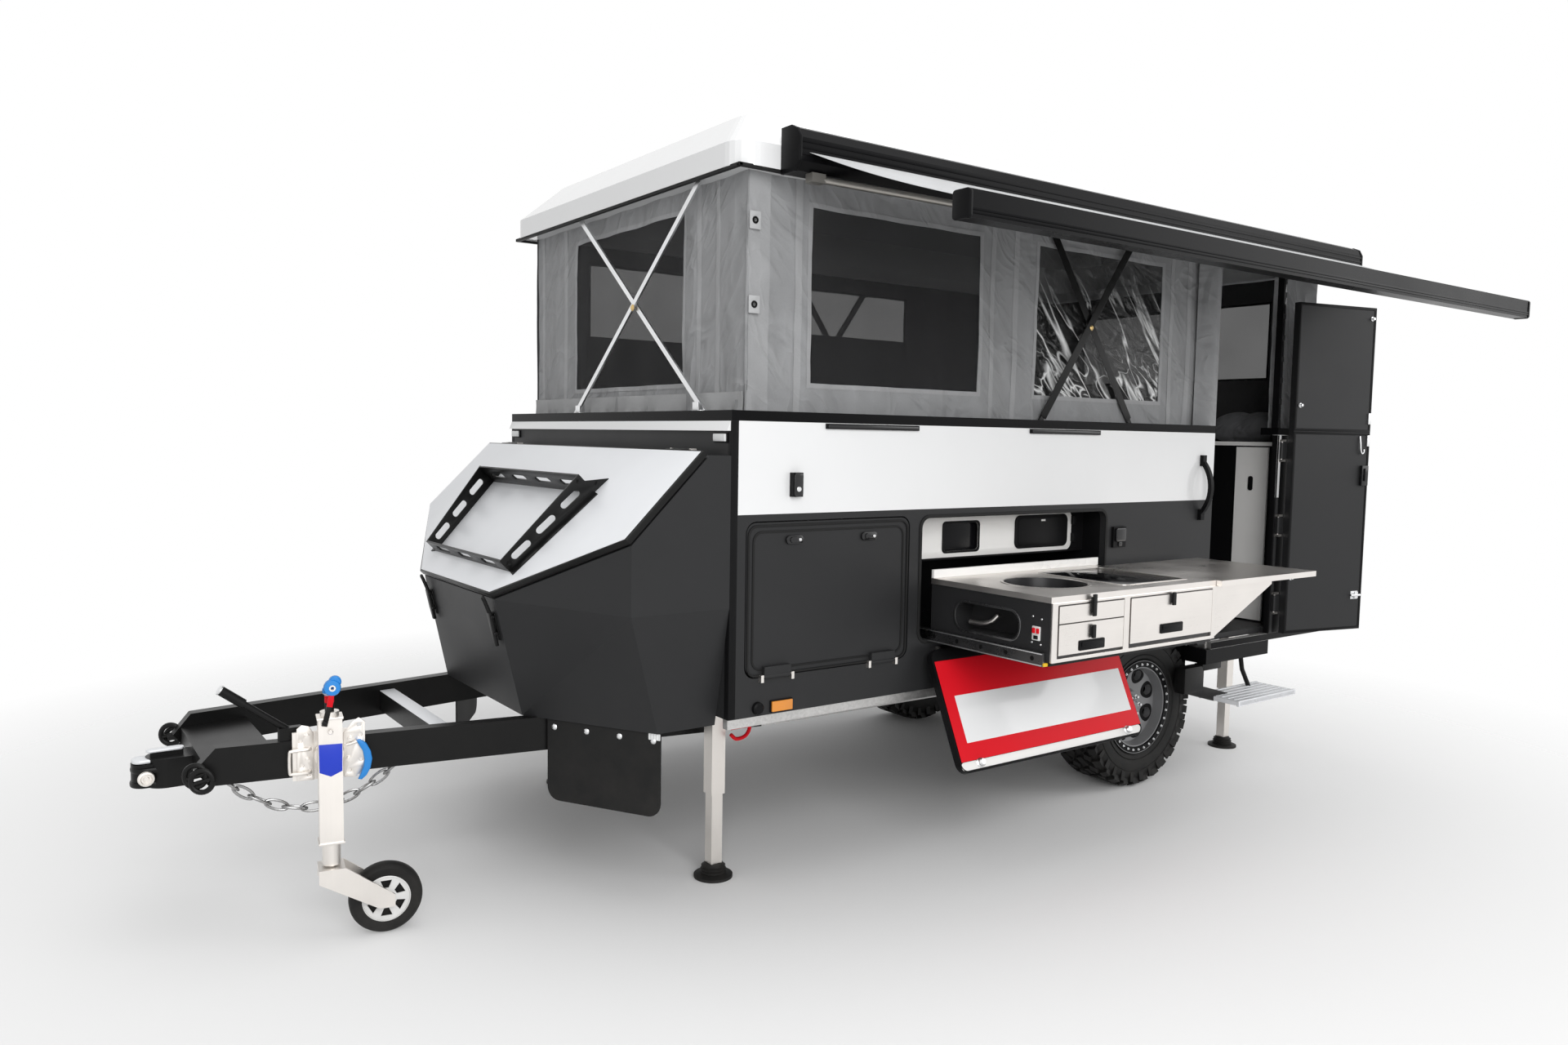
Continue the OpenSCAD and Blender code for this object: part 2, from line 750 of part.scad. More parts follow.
module kitchen_flap() {
    zt = cab_top + top_t;
    color("Silver") place() {
        box([cab_x1 + 6, cab_y1 - 30, zt - 24], [cab_x1 + 6 + flap_l, cab_y1 - 30 + flap_w, zt]);
        side_plate(cab_y1 + 8, 4) polygon([
            [cab_x1, zt - 24], [cab_x1 + 440, zt - 24], [cab_x1 + 440, zt - 44], [cab_x1 + 20, cab_z],
            [cab_x1, cab_z]
        ]);
    }
}

// Cupboard open underneath, with sides 18 thick
module cupboard(a, b) {
    difference() {
        box(a, b);
        box(a + [18, 18, -1], b - [18, 18, 18]);
    }
}

module cabin_cabinet() {
    color("DimGray") place()
        cupboard([rear_x, -in_y + 60, floor_top], [x1 - wall_t - 4, in_y - 60, deck_z - 75]);
}

module cabin_panel() {
    color("White") place()
        box([rear_x - 12, -in_y + 100, floor_top + 10], [rear_x, -in_y + 290, deck_z - 105]);
}

module cabin_cushion() {
    color("Black") place()
        box([rear_x + 50, -in_y + 120, deck_z - 75], [rear_x + 275, -in_y + 520, deck_z + 95]);
}

module body_fittings() {
    grab_x = door_x0 - 105;
    grab_z = band_z + 62;
    grab_r = 190;
    color("Black") place() {
        translate([grab_x - 11, -w2 - 10 + grab_r * cos(42), grab_z]) rotate([90, 0, 90])
            linear_extrude(22) intersection() {
                difference() {
                    circle(r = grab_r + 10, $fn = 96);
                    circle(r = grab_r - 10, $fn = 96);
                }
                translate([-grab_r - 30, -140]) square([grab_r + 25 - grab_r * cos(42), 280]);
            }
        for (z = [grab_z - 134, grab_z + 134])
            box([grab_x - 14, -w2 - 20, z - 27], [grab_x + 14, -w2, z + 27]);
        box([x0 + 254, -w2 - 24, band_z + 62], [x0 + 298, -w2, band_z + 150]);
        box([kit_x1 + 45, -w2 - 14, band_z - 207], [kit_x1 + 135, -w2, band_z - 111]);
        for (k = [0.1435, 0.528]) translate([x0 + k * door_x, -w2, rail_z])
            box([0, -10, -22], [0.16 * door_x, 0, -2]);
    }
}

module lamps() {
    color("Orange") place() {
        both() {
            box([x0 - 14, -w2 + 20, rail_z - 78], [x0, -w2 + 110, rail_z - 42]);
            box([x0 + 180, -w2 - 12, floor_z + 6], [x0 + 280, -w2, floor_z + 52]);
            box([x1, -w2 + 60, floor_z + 90], [x1 + 34, -w2 + 190, floor_z + 420]);
        }
    }
}

// Pin and its two end lugs along X on the left side's face
module side_hinge(x, z, l) {
    xrod(x - 12, -hinge_y, z, pin_r, l + 24);
    for (e = [x - 14, x + l + 2]) box([e, -hinge_y - 7, z - 20], [e + 12, -w2, z + 7]);
}

// Knuckle with a strap up a hatch's face, in the closed pose on the left side
module side_knuckle(x, z, l) {
    difference() {
        union() {
            xrod(x + 1, -hinge_y, z, knuckle_r, l - 2);
            box([x + 1, -hinge_y - 6, z], [x + l - 1, -w2 + 2, z + 36]);
        }
        xrod(x, -hinge_y, z, pin_r + play, l);
    }
}

module hinge_pins() {
    z1 = deck_z - 160;
    color("DimGray") place() {
        both() for (k = [0.1, 0.747]) side_hinge(boot_x0 + k * boot_w, boot_z + 5, 120);
        for (x = [kit_x0 + 110, kit_x1 - 230]) side_hinge(x, kit_hz, 120);
        for (z = [floor_z + 120, floor_z + 540, floor_z + 940]) {
            translate([door_ax, -hinge_y, z - 12]) cylinder(r = pin_r, h = 114);
            for (e = [z - 14, z + 92]) box([door_ax - 7, -hinge_y - 7, e], [door_ax + 30, -w2, e + 12]);
        }
        both() {
            yrod(x0 - 74, -w2 + 138, z1 + 14, pin_r, 144);
            for (y = [-w2 + 136, -w2 + 272]) box([x0 - 84, y, z1], [x0 - 60, y + 12, z1 + 22]);
        }
    }
}

module tyre() {
    rotate_extrude($fn = 96) polygon([
        [rim_r, -tyre_w * 0.4], [rim_r + 70, -tyre_w / 2], [wheel_r - 72, -tyre_w / 2],
        [wheel_r - 36, -tyre_w * 0.46], [tread_r, -tyre_w * 0.36], [tread_r, tyre_w * 0.36],
        [wheel_r - 36, tyre_w * 0.46], [wheel_r - 72, tyre_w / 2], [rim_r + 70, tyre_w / 2],
        [rim_r, tyre_w * 0.4]
    ]);
    for (z = [-0.455, 0.265]) translate([0, 0, z * tyre_w]) linear_extrude(0.19 * tyre_w) lug_ring(4.6, 0);
    for (z = [-0.215, 0.035]) translate([0, 0, z * tyre_w]) linear_extrude(0.18 * tyre_w) lug_ring(4.6, 7.5);
}

// Ring of tread lugs, each spanning twice the angle a and turned by the angle b
module lug_ring(a, b) {
    difference() {
        polygon([for (i = [0 : lugs - 1]) for (j = [0 : 4])
            [wheel_r - 55, wheel_r, wheel_r, wheel_r, wheel_r - 55][j]
                * [cos(i * 360 / lugs + b + a * [-1.2, -1, 0, 1, 1.2][j]),
                   sin(i * 360 / lugs + b + a * [-1.2, -1, 0, 1, 1.2][j])]]);
        circle(r = wheel_r - 90);
    }
}

// Rim turned about Z with its outer face up
module rim() {
    o = tyre_w * 0.4;
    difference() {
        rotate_extrude($fn = 96) polygon([
            [stub_r + play, 20], [stub_r + play, 58], [66, 66], [80, 40], [rim_r - 40, 62], [rim_r - 30, o + 8],
            [rim_r + 8, o + 14], [rim_r + 8, o + 9], [rim_r - play, o + 3], [rim_r - play, -o],
            [rim_r - 14, -o], [rim_r - 22, 30], [100, 14], [80, 14]
        ]);
        for (i = [0 : 7]) rotate([0, 0, i * 45 + 22.5]) translate([rim_r - 72, 0, 0]) cylinder(r = 27, h = 120);
    }
}

module at_wheel(s) {
    translate([wheel_x, s * wheel_y, wheel_r]) rotate([s < 0 ? 90 : -90, 0, 0]) children();
}

module tyre_left() {
    color("Black") place() at_wheel(-1) tyre();
}

module rim_left() {
    color("DimGray") place() at_wheel(-1) rim();
}

module tyre_right() {
    color("Black") place() at_wheel(1) tyre();
}

module rim_right() {
    color("DimGray") place() at_wheel(1) rim();
}

module jockey_leg() {
    r = jwheel_d / 2;
    color("Silver") place() jockey_place() difference() {
        union() {
            box([-jock_w / 2, -33, 340], [jock_w / 2, jock_w / 2, pivot_z + 140]);
            translate([0, 0, 2 * r + 22]) cylinder(r = 29, h = 340 - 2 * r - 21);
            translate([0, 0, pivot_z + 140]) cylinder(r = 30, h = 22);
            translate([0, 0, pivot_z + 150]) cylinder(r = 13, h = 68);
            translate([0, 0, pivot_z + 214]) rotate_extrude() polygon([
                [0, 0], [14, 0], [20, 8], [20, 22], [13, 31], [0, 31]
            ]);
        }
        yrod(0, 3, pivot_z, 15 + play, jock_w / 2 + 3);
        translate([0, 0, 2 * r]) cylinder(r = 12 + play, h = 64);
    }
}

module jockey_fork() {
    r = jwheel_d / 2;
    color("Gray") place() jockey_place() {
        box([-42, -50, 2 * r - 10], [40, 50, 2 * r + 16]);
        translate([0, 0, 2 * r + 10]) cylinder(r = 12, h = 50);
        for (y = [-50, 42]) side_plate(y, 8) polygon([
            [-42, 2 * r + 16], [40, 2 * r + 16], [jock_trail + 26, r + 20], [jock_trail + 26, r - 22],
            [jock_trail - 24, r - 22], [-42, 2 * r - 30]
        ]);
        yrod(jock_trail, -50, r, 10, 100);
    }
}

module jockey_wheel() {
    r = jwheel_d / 2;
    color("White") place() jockey_place() translate([jock_trail, 0, r]) rotate([90, 0, 0])
        rotate_extrude($fn = 72) polygon([
            [10 + play, -34], [28, -34], [34, -14], [r - 46, -14], [r - 38, -34], [r - 10, -34], [r, -20],
            [r, 20], [r - 10, 34], [r - 38, 34], [r - 46, 14], [34, 14], [28, 34], [10 + play, 34]
        ]);
}

// Turns a closed door leaf to its open pose about its hinge
module door_pose() {
    translate([door_ax, -hinge_y, 0]) rotate([0, 0, door_open]) translate([-door_ax, hinge_y, 0]) children();
}

module door_lower() {
    z0 = floor_z + 6;
    color("DimGray") place() door_pose() difference() {
        union() {
            box([door_x0 + 5, -w2 + 2, z0], [door_x1 - 5, -w2 + 2 + door_t, deck_z - 15]);
            for (z = [floor_z + 121, floor_z + 541, floor_z + 941]) {
                translate([door_ax, -hinge_y, z]) cylinder(r = knuckle_r, h = 88);
                box([door_x1 - 30, -hinge_y - 5, z], [door_ax, -w2 - 3, z + 88]);
                box([door_x1 - 30, -hinge_y - 5, z], [door_x1 - 6, -w2 + 3, z + 88]);
            }
        }
        for (z = [floor_z + 120, floor_z + 540, floor_z + 940])
            translate([door_ax, -hinge_y, z]) cylinder(r = pin_r + play, h = 90);
    }
}

module door_upper() {
    color("DimGray") place() door_pose()
        box([door_x0 + 5, -w2 + 2, deck_z - 15], [door_x1 - 5, -w2 + 2 + door_t, deck_z + door_rise]);
}

// Boot hatch in its closed pose on the left side
module boot_hatch() {
    color("DimGray") place() {
        side_plate(-w2 + 2, hatch_t - 2) round_rect(boot_x0 + 5, boot_z + 10, boot_w - 10, boot_h - 15, 40);
        for (k = [0.1, 0.747]) side_knuckle(boot_x0 + k * boot_w, boot_z + 5, 120);
    }
}

module boot_hatch_left() {
    boot_hatch();
}

module boot_hatch_right() {
    mirror([0, 1, 0]) boot_hatch();
}

module kitchen_hatch() {
    color("White") place() translate([0, -hinge_y, kit_hz]) rotate([kit_open, 0, 0])
        translate([0, hinge_y, -kit_hz]) {
            side_plate(-w2 + 2, hatch_t - 2) round_rect(kit_x0 + 10, kit_hz + 10, kit_w - 20, kit_h, 45);
            for (x = [kit_x0 + 110, kit_x1 - 230]) side_knuckle(x, kit_hz, 120);
            side_plate(-w2 + hatch_t, 6) translate([kit_x0 + 16, kit_hz + 0.12 * kit_h])
                square([kit_w - 32, 0.81 * kit_h]);
        }
}

// Round-ended slot of length l about a point
module rack_slot(x, z, l) {
    translate([x - l / 2, z - 14]) square([l, 28]);
    for (e = [-l / 2, l / 2]) translate([x + e, z]) circle(r = 14, $fn = 24);
}

module nose_lid() {
    z1 = deck_z - 160;
    k = sqrt(2);
    h = nose_l - 90;
    ra = 1.213 * h;
    rb = 0.444 * h;
    ya = 0.41 * w2;
    yb = 0.5 * w2;
    rl = norm([ra - rb, yb - ya]);
    color("Silver") place() {
        translate([x0 - 90, 0, z1]) rotate([0, -45, 0]) translate([0, 0, 5]) {
            linear_extrude(lid_t) polygon([
                [-4, w2], [-300 * k, w2], [-h * k, nose_y], [-h * k, -nose_y], [-300 * k, -w2], [-4, -w2]
            ]);
            both() translate([-ra, -ya, lid_t]) rotate([0, 0, -atan2(yb - ya, ra - rb)]) {
                rotate([90, 0, 0]) linear_extrude(8) difference() {
                    polygon([[0, 0], [rl + 75, 0], [rl, 60], [rl, 95], [0, 60]]);
                    for (f = [0.2, 0.5, 0.8]) rack_slot(f * rl, 32 + 18 * f, 60);
                }
                translate([0, -46, 0]) cube([rl, 42, 6]);
            }
            translate([-ra, 0, lid_t]) rotate([90, 0, 90]) linear_extrude(8) difference() {
                translate([-ya - 6, 0]) square([2 * ya + 12, 60]);
                for (f = [-0.62, 0, 0.62]) rack_slot(f * ya, 32, 110);
            }
            translate([-rb - 8, 0, lid_t]) rotate([90, 0, 90]) linear_extrude(8) difference() {
                translate([-yb - 6, 0]) square([2 * yb + 12, 95]);
                for (f = [-0.72, -0.24, 0.24, 0.72]) rack_slot(f * yb, 50, 110);
            }
        }
        both() difference() {
            union() {
                yrod(x0 - 74, -w2 + 150, z1 + 14, knuckle_r, 120);
                box([x0 - 112, -w2 + 150, z1 + 7], [x0 - 74, -w2 + 270, z1 + 20]);
            }
            yrod(x0 - 74, -w2 + 149, z1 + 14, pin_r + play, 122);
        }
    }
}

chassis();
drawbar();
coupling();
brake_lever();
safety_chains();
jockey_clamp();
trailing_arms();
coil_springs();
wheel_guards();
body_floor();
wall_left();
wall_right();
wall_front();
wall_rear();
side_bands();
top_rail();
sill_box();
door_posts();
nose_box();
stone_flaps();
stabiliser_legs();
entry_step();
roof_shell();
tent_walls();
tent_windows();
roof_struts();
side_struts();
awning_case();
awning_cloth();
awning_rail();
awning_arms();
kitchen_bay();
kitchen_slides();
kitchen_box();
kitchen_top();
kitchen_drawers();
kitchen_flap();
cabin_cabinet();
cabin_panel();
cabin_cushion();
body_fittings();
lamps();
hinge_pins();
tyre_left();
rim_left();
tyre_right();
rim_right();
jockey_leg();
jockey_fork();
jockey_wheel();
door_lower();
door_upper();
boot_hatch_left();
boot_hatch_right();
kitchen_hatch();
nose_lid();
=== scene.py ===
"""Looks of an off-road camper trailer with a raised tent roof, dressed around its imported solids."""

import json
import logging
import math
from dataclasses import dataclass
from enum import Enum
from typing import Any, Callable, Sequence

import bmesh
import bpy
from mathutils import Matrix, Vector, noise

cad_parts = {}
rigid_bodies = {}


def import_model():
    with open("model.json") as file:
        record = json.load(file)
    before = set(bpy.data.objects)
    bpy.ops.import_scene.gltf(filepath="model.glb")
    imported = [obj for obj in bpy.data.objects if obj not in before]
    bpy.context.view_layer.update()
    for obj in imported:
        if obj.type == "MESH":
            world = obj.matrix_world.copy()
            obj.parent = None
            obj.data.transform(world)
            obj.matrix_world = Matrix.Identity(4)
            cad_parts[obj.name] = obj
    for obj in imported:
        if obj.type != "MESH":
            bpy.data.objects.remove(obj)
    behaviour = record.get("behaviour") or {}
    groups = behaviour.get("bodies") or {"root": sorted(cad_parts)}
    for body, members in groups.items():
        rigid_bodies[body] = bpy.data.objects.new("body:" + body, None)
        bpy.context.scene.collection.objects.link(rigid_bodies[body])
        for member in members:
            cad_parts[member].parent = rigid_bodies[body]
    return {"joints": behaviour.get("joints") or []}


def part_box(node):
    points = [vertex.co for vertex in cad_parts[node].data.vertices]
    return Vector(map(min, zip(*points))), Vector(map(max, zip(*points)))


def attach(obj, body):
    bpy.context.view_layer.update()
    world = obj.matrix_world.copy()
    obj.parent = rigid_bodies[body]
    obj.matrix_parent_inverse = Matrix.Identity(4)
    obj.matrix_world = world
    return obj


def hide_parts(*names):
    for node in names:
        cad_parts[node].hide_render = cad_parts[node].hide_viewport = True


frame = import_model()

LOG = logging.getLogger("camper_trailer")
Loop = list[tuple[float, float]]
Colour = tuple[float, float, float]
Socket = bpy.types.NodeSocket
X, Y, Z = Vector((1, 0, 0)), Vector((0, 1, 0)), Vector((0, 0, 1))
FLOAT, VECTOR, GEOMETRY = "NodeSocketFloat", "NodeSocketVector", "NodeSocketGeometry"
POST_LAP = 0.028  # How far a door post laps over the doorway, in metres.
CLOTH_THICK, PANE_THICK = 0.002, 0.0008  # Tent walls and window sheets, in metres.
TAPE_LIFT, TAPE_THICK = 0.0022, 0.0018  # What is sewn on the tent walls, in metres.
DUST = (0.30, 0.27, 0.235, 1.0)  # Colour of road dust.
DUST_REACH = 0.9  # Height above the ground where the dust ends, in metres.
FINE_BUMP, GRAIN_BUMP, LINE_BUMP = 0.0008, 0.001, 0.0006  # Depths of bump, in metres.


class Side(Enum):
    """A side of the trailer, by the sign of its Y."""

    LEFT = -1
    RIGHT = 1

    @property
    def word(self) -> str:
        """The side's name as the solids use it."""
        return self.name.lower()

    def span(self, a: float, b: float) -> list[float]:
        """Two distances out from the middle as low and high Y on this side."""
        return sorted((self.value * a, self.value * b))


class Grain(Enum):
    """The direction that a brushed or rolled metal's lines run."""

    ALONG = (3.0, 260.0, 260.0)
    ACROSS = (260.0, 3.0, 260.0)
    UPRIGHT = (260.0, 260.0, 3.0)


@dataclass(frozen=True)
class Layout:
    """Main edges of the trailer in metres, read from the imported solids."""

    ground: float
    front: float
    rear: float
    half: float
    floor: float
    band: float
    rail: float
    deck: float
    roof: float
    door: float

    @property
    def tent(self) -> float:
        """Height of the tent's walls."""
        return self.roof - self.deck

    @classmethod
    def read(cls) -> "Layout":
        """Reads the edges from the frame.

        Returns:
            The layout that every sub-assembly takes its places from.
        """
        low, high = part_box("wall_front")
        rail_low, rail_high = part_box("top_rail")
        return cls(
            ground=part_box("tyre_left")[0].z,
            front=low.x,
            rear=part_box("wall_rear")[1].x,
            half=high.y,
            floor=low.z,
            band=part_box("side_bands")[0].z,
            rail=rail_low.z,
            deck=rail_high.z,
            roof=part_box("roof_shell")[0].z,
            door=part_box("door_posts")[0].x + POST_LAP,
        )

    def face(self, x: float, z: float, side: Side = Side.LEFT, out: float = 0.0) -> Matrix:
        """Plane on a side wall's outer face.

        Args:
            x: Place along the trailer.
            z: Height.
            side: Which side wall.
            out: Distance out from the wall.

        Returns:
            A matrix whose first two axes run along the wall and up, and whose third points out.
        """
        turn = X if side is Side.LEFT else -X
        return plane((x, side.value * (self.half + out), z), turn, Z)


def shift(u: float, v: float, w: float = 0.0) -> Matrix:
    """A move along a plane's own axes."""
    return Matrix.Translation((u, v, w))


def mm(*points: Sequence[float]) -> list[tuple[float, ...]]:
    """Points in metres from points in millimetres, as a drawing gives them."""
    return [tuple(value / 1000 for value in point) for point in points]


def plane(origin: Sequence[float], along: Vector, up: Vector) -> Matrix:
    """Makes a plane from its origin and its first two axes.

    Args:
        origin: Where the plane's zero lies.
        along: First axis, of unit length.
        up: Second axis, of unit length.

    Returns:
        The matrix that takes plane coordinates to the trailer's frame.
    """
    normal = along.cross(up)
    made = Matrix((along, up, normal)).transposed().to_4x4()
    made.translation = origin
    return made


def rounded(u0: float, v0: float, u1: float, v1: float, radius: float, steps: int = 6) -> Loop:
    """Outline of a rectangle with round corners.

    Args:
        u0: Low end of the first axis.
        v0: Low end of the second axis.
        u1: High end of the first axis.
        v1: High end of the second axis.
        radius: Radius of the corners.
        steps: Pieces in each corner's arc.

    Returns:
        The outline's points, anticlockwise.
    """
    corners = ((u1 - radius, v1 - radius, 0), (u0 + radius, v1 - radius, 90),
               (u0 + radius, v0 + radius, 180), (u1 - radius, v0 + radius, 270))
    loop: Loop = []
    for u, v, start in corners:
        for step in range(steps + 1):
            angle = math.radians(start + 90 * step / steps)
            loop.append((u + radius * math.cos(angle), v + radius * math.sin(angle)))
    return loop


def centred(u: float, v: float, radius: float) -> Loop:
    """Outline of a rectangle with round corners about the plane's zero, by its half sizes."""
    return rounded(-u, -v, u, v, radius)


def ring(radius: float, count: int = 32, centre: tuple[float, float] = (0.0, 0.0)) -> Loop:
    """Outline of a circle as a loop of points."""
    turns = [2 * math.pi * i / count for i in range(count)]
    return [(centre[0] + radius * math.cos(a), centre[1] + radius * math.sin(a)) for a in turns]


class Graph:
    """A node tree with short calls that add and join nodes."""

    def __init__(self, tree: bpy.types.NodeTree) -> None:
        """Wraps a node tree."""
        self.tree = tree

    def feed(self, socket: bpy.types.NodeSocket, value: Any) -> None:
        """Links a socket to an input, or sets the input's own value.

        Args:
            socket: The input socket.
            value: Another node's output, or a plain value.
        """
        if isinstance(value, bpy.types.NodeSocket):
            self.tree.links.new(value, socket)
        else:
            socket.default_value = value

    def node(self, kind: str, inputs: dict[Any, Any] | None = None,
             **settings: Any) -> bpy.types.Node:
        """Adds a node.

        Args:
            kind: The node's type name.
            inputs: Values or links for its inputs, by name or number.
            settings: The node's own settings.

        Returns:
            The new node.
        """
        made = self.tree.nodes.new(kind)
        for key, value in settings.items():
            setattr(made, key, value)
        for key, value in (inputs or {}).items():
            self.feed(made.inputs[key], value)
        return made

    def out(self, kind: str, inputs: dict[Any, Any] | None = None, **settings: Any) -> Socket:
        """Adds a node and returns its first output."""
        return self.node(kind, inputs, **settings).outputs[0]

    def math(self, operation: str, a: Any, b: Any = 0.0, clamp: bool = False) -> Socket:
        """Adds a Math node and returns its output."""
        return self.out("ShaderNodeMath", {0: a, 1: b}, operation=operation, use_clamp=clamp)

    def mul(self, a: Any, b: Any, clamp: bool = False) -> Socket:
        """One value times another."""
        return self.math("MULTIPLY", a, b, clamp)

    def add(self, a: Any, b: Any, clamp: bool = False) -> Socket:
        """The sum of two values."""
        return self.math("ADD", a, b, clamp)

    def less(self, a: Any, b: Any, clamp: bool = False) -> Socket:
        """One value less another."""
        return self.math("SUBTRACT", a, b, clamp)

    def blend(self, share: Any, first: Any, second: Any) -> Socket:
        """Adds a colour Mix node and returns its output."""
        return self.node("ShaderNodeMix", {0: share, 6: first, 7: second},
                         data_type="RGBA").outputs[2]

    def ramp(self, value: Any, low: float, high: float) -> Socket:
        """Maps a value from low to high onto 0 to 1, and returns the output."""
        made = self.node(
            "ShaderNodeMapRange", {0: value, 1: low, 2: high, 3: 0.0, 4: 1.0}, clamp=True)
        return made.outputs[0]


class Group(Graph):
    """A node group with named inputs and outputs."""

    def __init__(self, name: str, kind: str, inputs: dict[str, str],
                 outputs: dict[str, str]) -> None:
        """Starts a group.

        Args:
            name: The group's name.
            kind: The tree's type.
            inputs: Socket type of each named input.
            outputs: Socket type of each named output.
        """
        super().__init__(bpy.data.node_groups.new(name, kind))
        for way, sockets in (("INPUT", inputs), ("OUTPUT", outputs)):
            for title, socket in sockets.items():
                self.tree.interface.new_socket(title, in_out=way, socket_type=socket)
        self.source = self.tree.nodes.new("NodeGroupInput").outputs
        self.sink = self.tree.nodes.new("NodeGroupOutput").inputs


class EffectGroup(Group):
    """A shared shader effect, kept in one node group."""

    def __init__(self, name: str, inputs: dict[str, str], outputs: Sequence[str]) -> None:
        """Starts a group whose outputs are plain values."""
        super().__init__(name, "ShaderNodeTree", inputs, dict.fromkeys(outputs, FLOAT))

    def noise(self, vector: Any, scale: Any, detail: float = 3.0, rough: float = 0.55) -> Socket:
        """Adds a noise texture and returns its value."""
        inputs = {"Vector": vector, "Scale": scale, "Detail": detail, "Roughness": rough}
        return self.out("ShaderNodeTexNoise", inputs)


class Effects:
    """The shader effects that several finishes share, each built once."""

    def __init__(self) -> None:
        """Builds every group."""
        self.grain = self._grain()
        self.dust = self._dust()
        self.lines = self._lines()
        self.weave = self._weave()
        self.scuffs = self._scuffs()
        self.folds = self._folds()

    @staticmethod
    def _grain() -> bpy.types.NodeTree:
        """Fine moulded grain, and a slow change of tone over the panel.

        Returns:
            The effect's node group.
        """
        group = EffectGroup("fine_grain", {"Vector": VECTOR, "Scale": FLOAT}, ("Height", "Tone"))
        vector = group.source["Vector"]
        group.feed(group.sink["Height"], group.noise(vector, group.source["Scale"], 2.0, 0.6))
        slow = group.noise(vector, 1.7, 4.0, 0.6)
        group.feed(group.sink["Tone"], group.ramp(slow, 0.3, 0.7))
        return group.tree

    @staticmethod
    def _dust() -> bpy.types.NodeTree:
        """Road dust that thins out with height.

        Returns:
            The effect's node group.
        """
        names = {"Vector": VECTOR, "Ground": FLOAT, "Reach": FLOAT}
        group = EffectGroup("road_dust", names, ("Mask",))
        height = group.node("ShaderNodeSeparateXYZ", {0: group.source["Vector"]}).outputs[2]
        rise = group.math(
            "DIVIDE", group.less(height, group.source["Ground"]), group.source["Reach"])
        low = group.less(1.0, rise, clamp=True)
        patch = group.ramp(group.noise(group.source["Vector"], 9.0, 6.0, 0.65), 0.35, 0.75)
        group.feed(group.sink["Mask"], group.mul(low, patch, clamp=True))
        return group.tree

    @staticmethod
    def _lines() -> bpy.types.NodeTree:
        """Brushed or rolled lines, from noise that is stretched along one axis.

        Returns:
            The effect's node group.
        """
        group = EffectGroup("drawn_lines", {"Vector": VECTOR, "Stretch": VECTOR}, ("Line", "Cloud"))
        stretched = group.out(
            "ShaderNodeVectorMath", {0: group.source["Vector"], 1: group.source["Stretch"]},
            operation="MULTIPLY")
        group.feed(group.sink["Line"], group.noise(stretched, 1.0, 4.0, 0.7))
        cloud = group.noise(group.source["Vector"], 5.0, 5.0)
        group.feed(group.sink["Cloud"], group.ramp(cloud, 0.3, 0.7))
        return group.tree

    @staticmethod
    def _weave() -> bpy.types.NodeTree:
        """Plain weave of crossing threads, with slubs and slow fading, on a map in metres.

        Returns:
            The effect's node group.
        """
        group = EffectGroup("plain_weave", {"Vector": VECTOR, "Pitch": FLOAT}, ("Height", "Shade"))
        parts = group.node("ShaderNodeSeparateXYZ", {0: group.source["Vector"]}).outputs
        step = group.math("DIVIDE", 2 * math.pi, group.source["Pitch"])
        warp = group.math("SINE", group.mul(parts[0], step))
        weft = group.math("SINE", group.mul(parts[1], step))
        group.feed(group.sink["Height"], group.mul(warp, weft))
        slub = group.noise(group.source["Vector"], 140.0, 3.0)
        fade = group.noise(group.source["Vector"], 3.5, 5.0)
        group.feed(group.sink["Shade"], group.add(group.mul(slub, 0.4), group.mul(fade, 0.6)))
        return group.tree

    @staticmethod
    def _folds() -> bpy.types.NodeTree:
        """Long slanted folds, as the ridges of a stretched noise.

        Returns:
            The effect's node group.
        """
        names = {"Vector": VECTOR, "Turn": VECTOR, "Size": VECTOR, "Wave": FLOAT, "Width": FLOAT}
        group = EffectGroup("slanted_folds", names, ("Ridge", "Soft"))
        inputs = {"Vector": group.source["Vector"], "Rotation": group.source["Turn"],
                  "Scale": group.source["Size"]}
        slant = group.out("ShaderNodeMapping", inputs, vector_type="TEXTURE")
        inputs = {"Vector": slant, "Scale": 1.0, "Detail": 2.0, "Distortion": group.source["Wave"]}
        soft = group.out("ShaderNodeTexNoise", inputs)
        away = group.math(
            "DIVIDE", group.math("ABSOLUTE", group.less(soft, 0.5)), group.source["Width"])
        group.feed(group.sink["Ridge"], group.less(1.0, away, clamp=True))
        group.feed(group.sink["Soft"], soft)
        return group.tree

    @staticmethod
    def _scuffs() -> bpy.types.NodeTree:
        """Sparse scuffs where handling has rubbed a finish.

        Returns:
            The effect's node group.
        """
        group = EffectGroup("rubbed_scuffs", {"Vector": VECTOR, "Amount": FLOAT}, ("Mask",))
        streak = group.out("ShaderNodeVectorMath", {0: group.source["Vector"], 1: (4.0, 4.0, 22.0)},
                           operation="MULTIPLY")
        found = group.noise(streak, 3.0, 8.0, 0.75)
        level = group.less(0.78, group.mul(group.source["Amount"], 0.2))
        group.feed(group.sink["Mask"], group.mul(group.less(found, level), 9.0, clamp=True))
        return group.tree


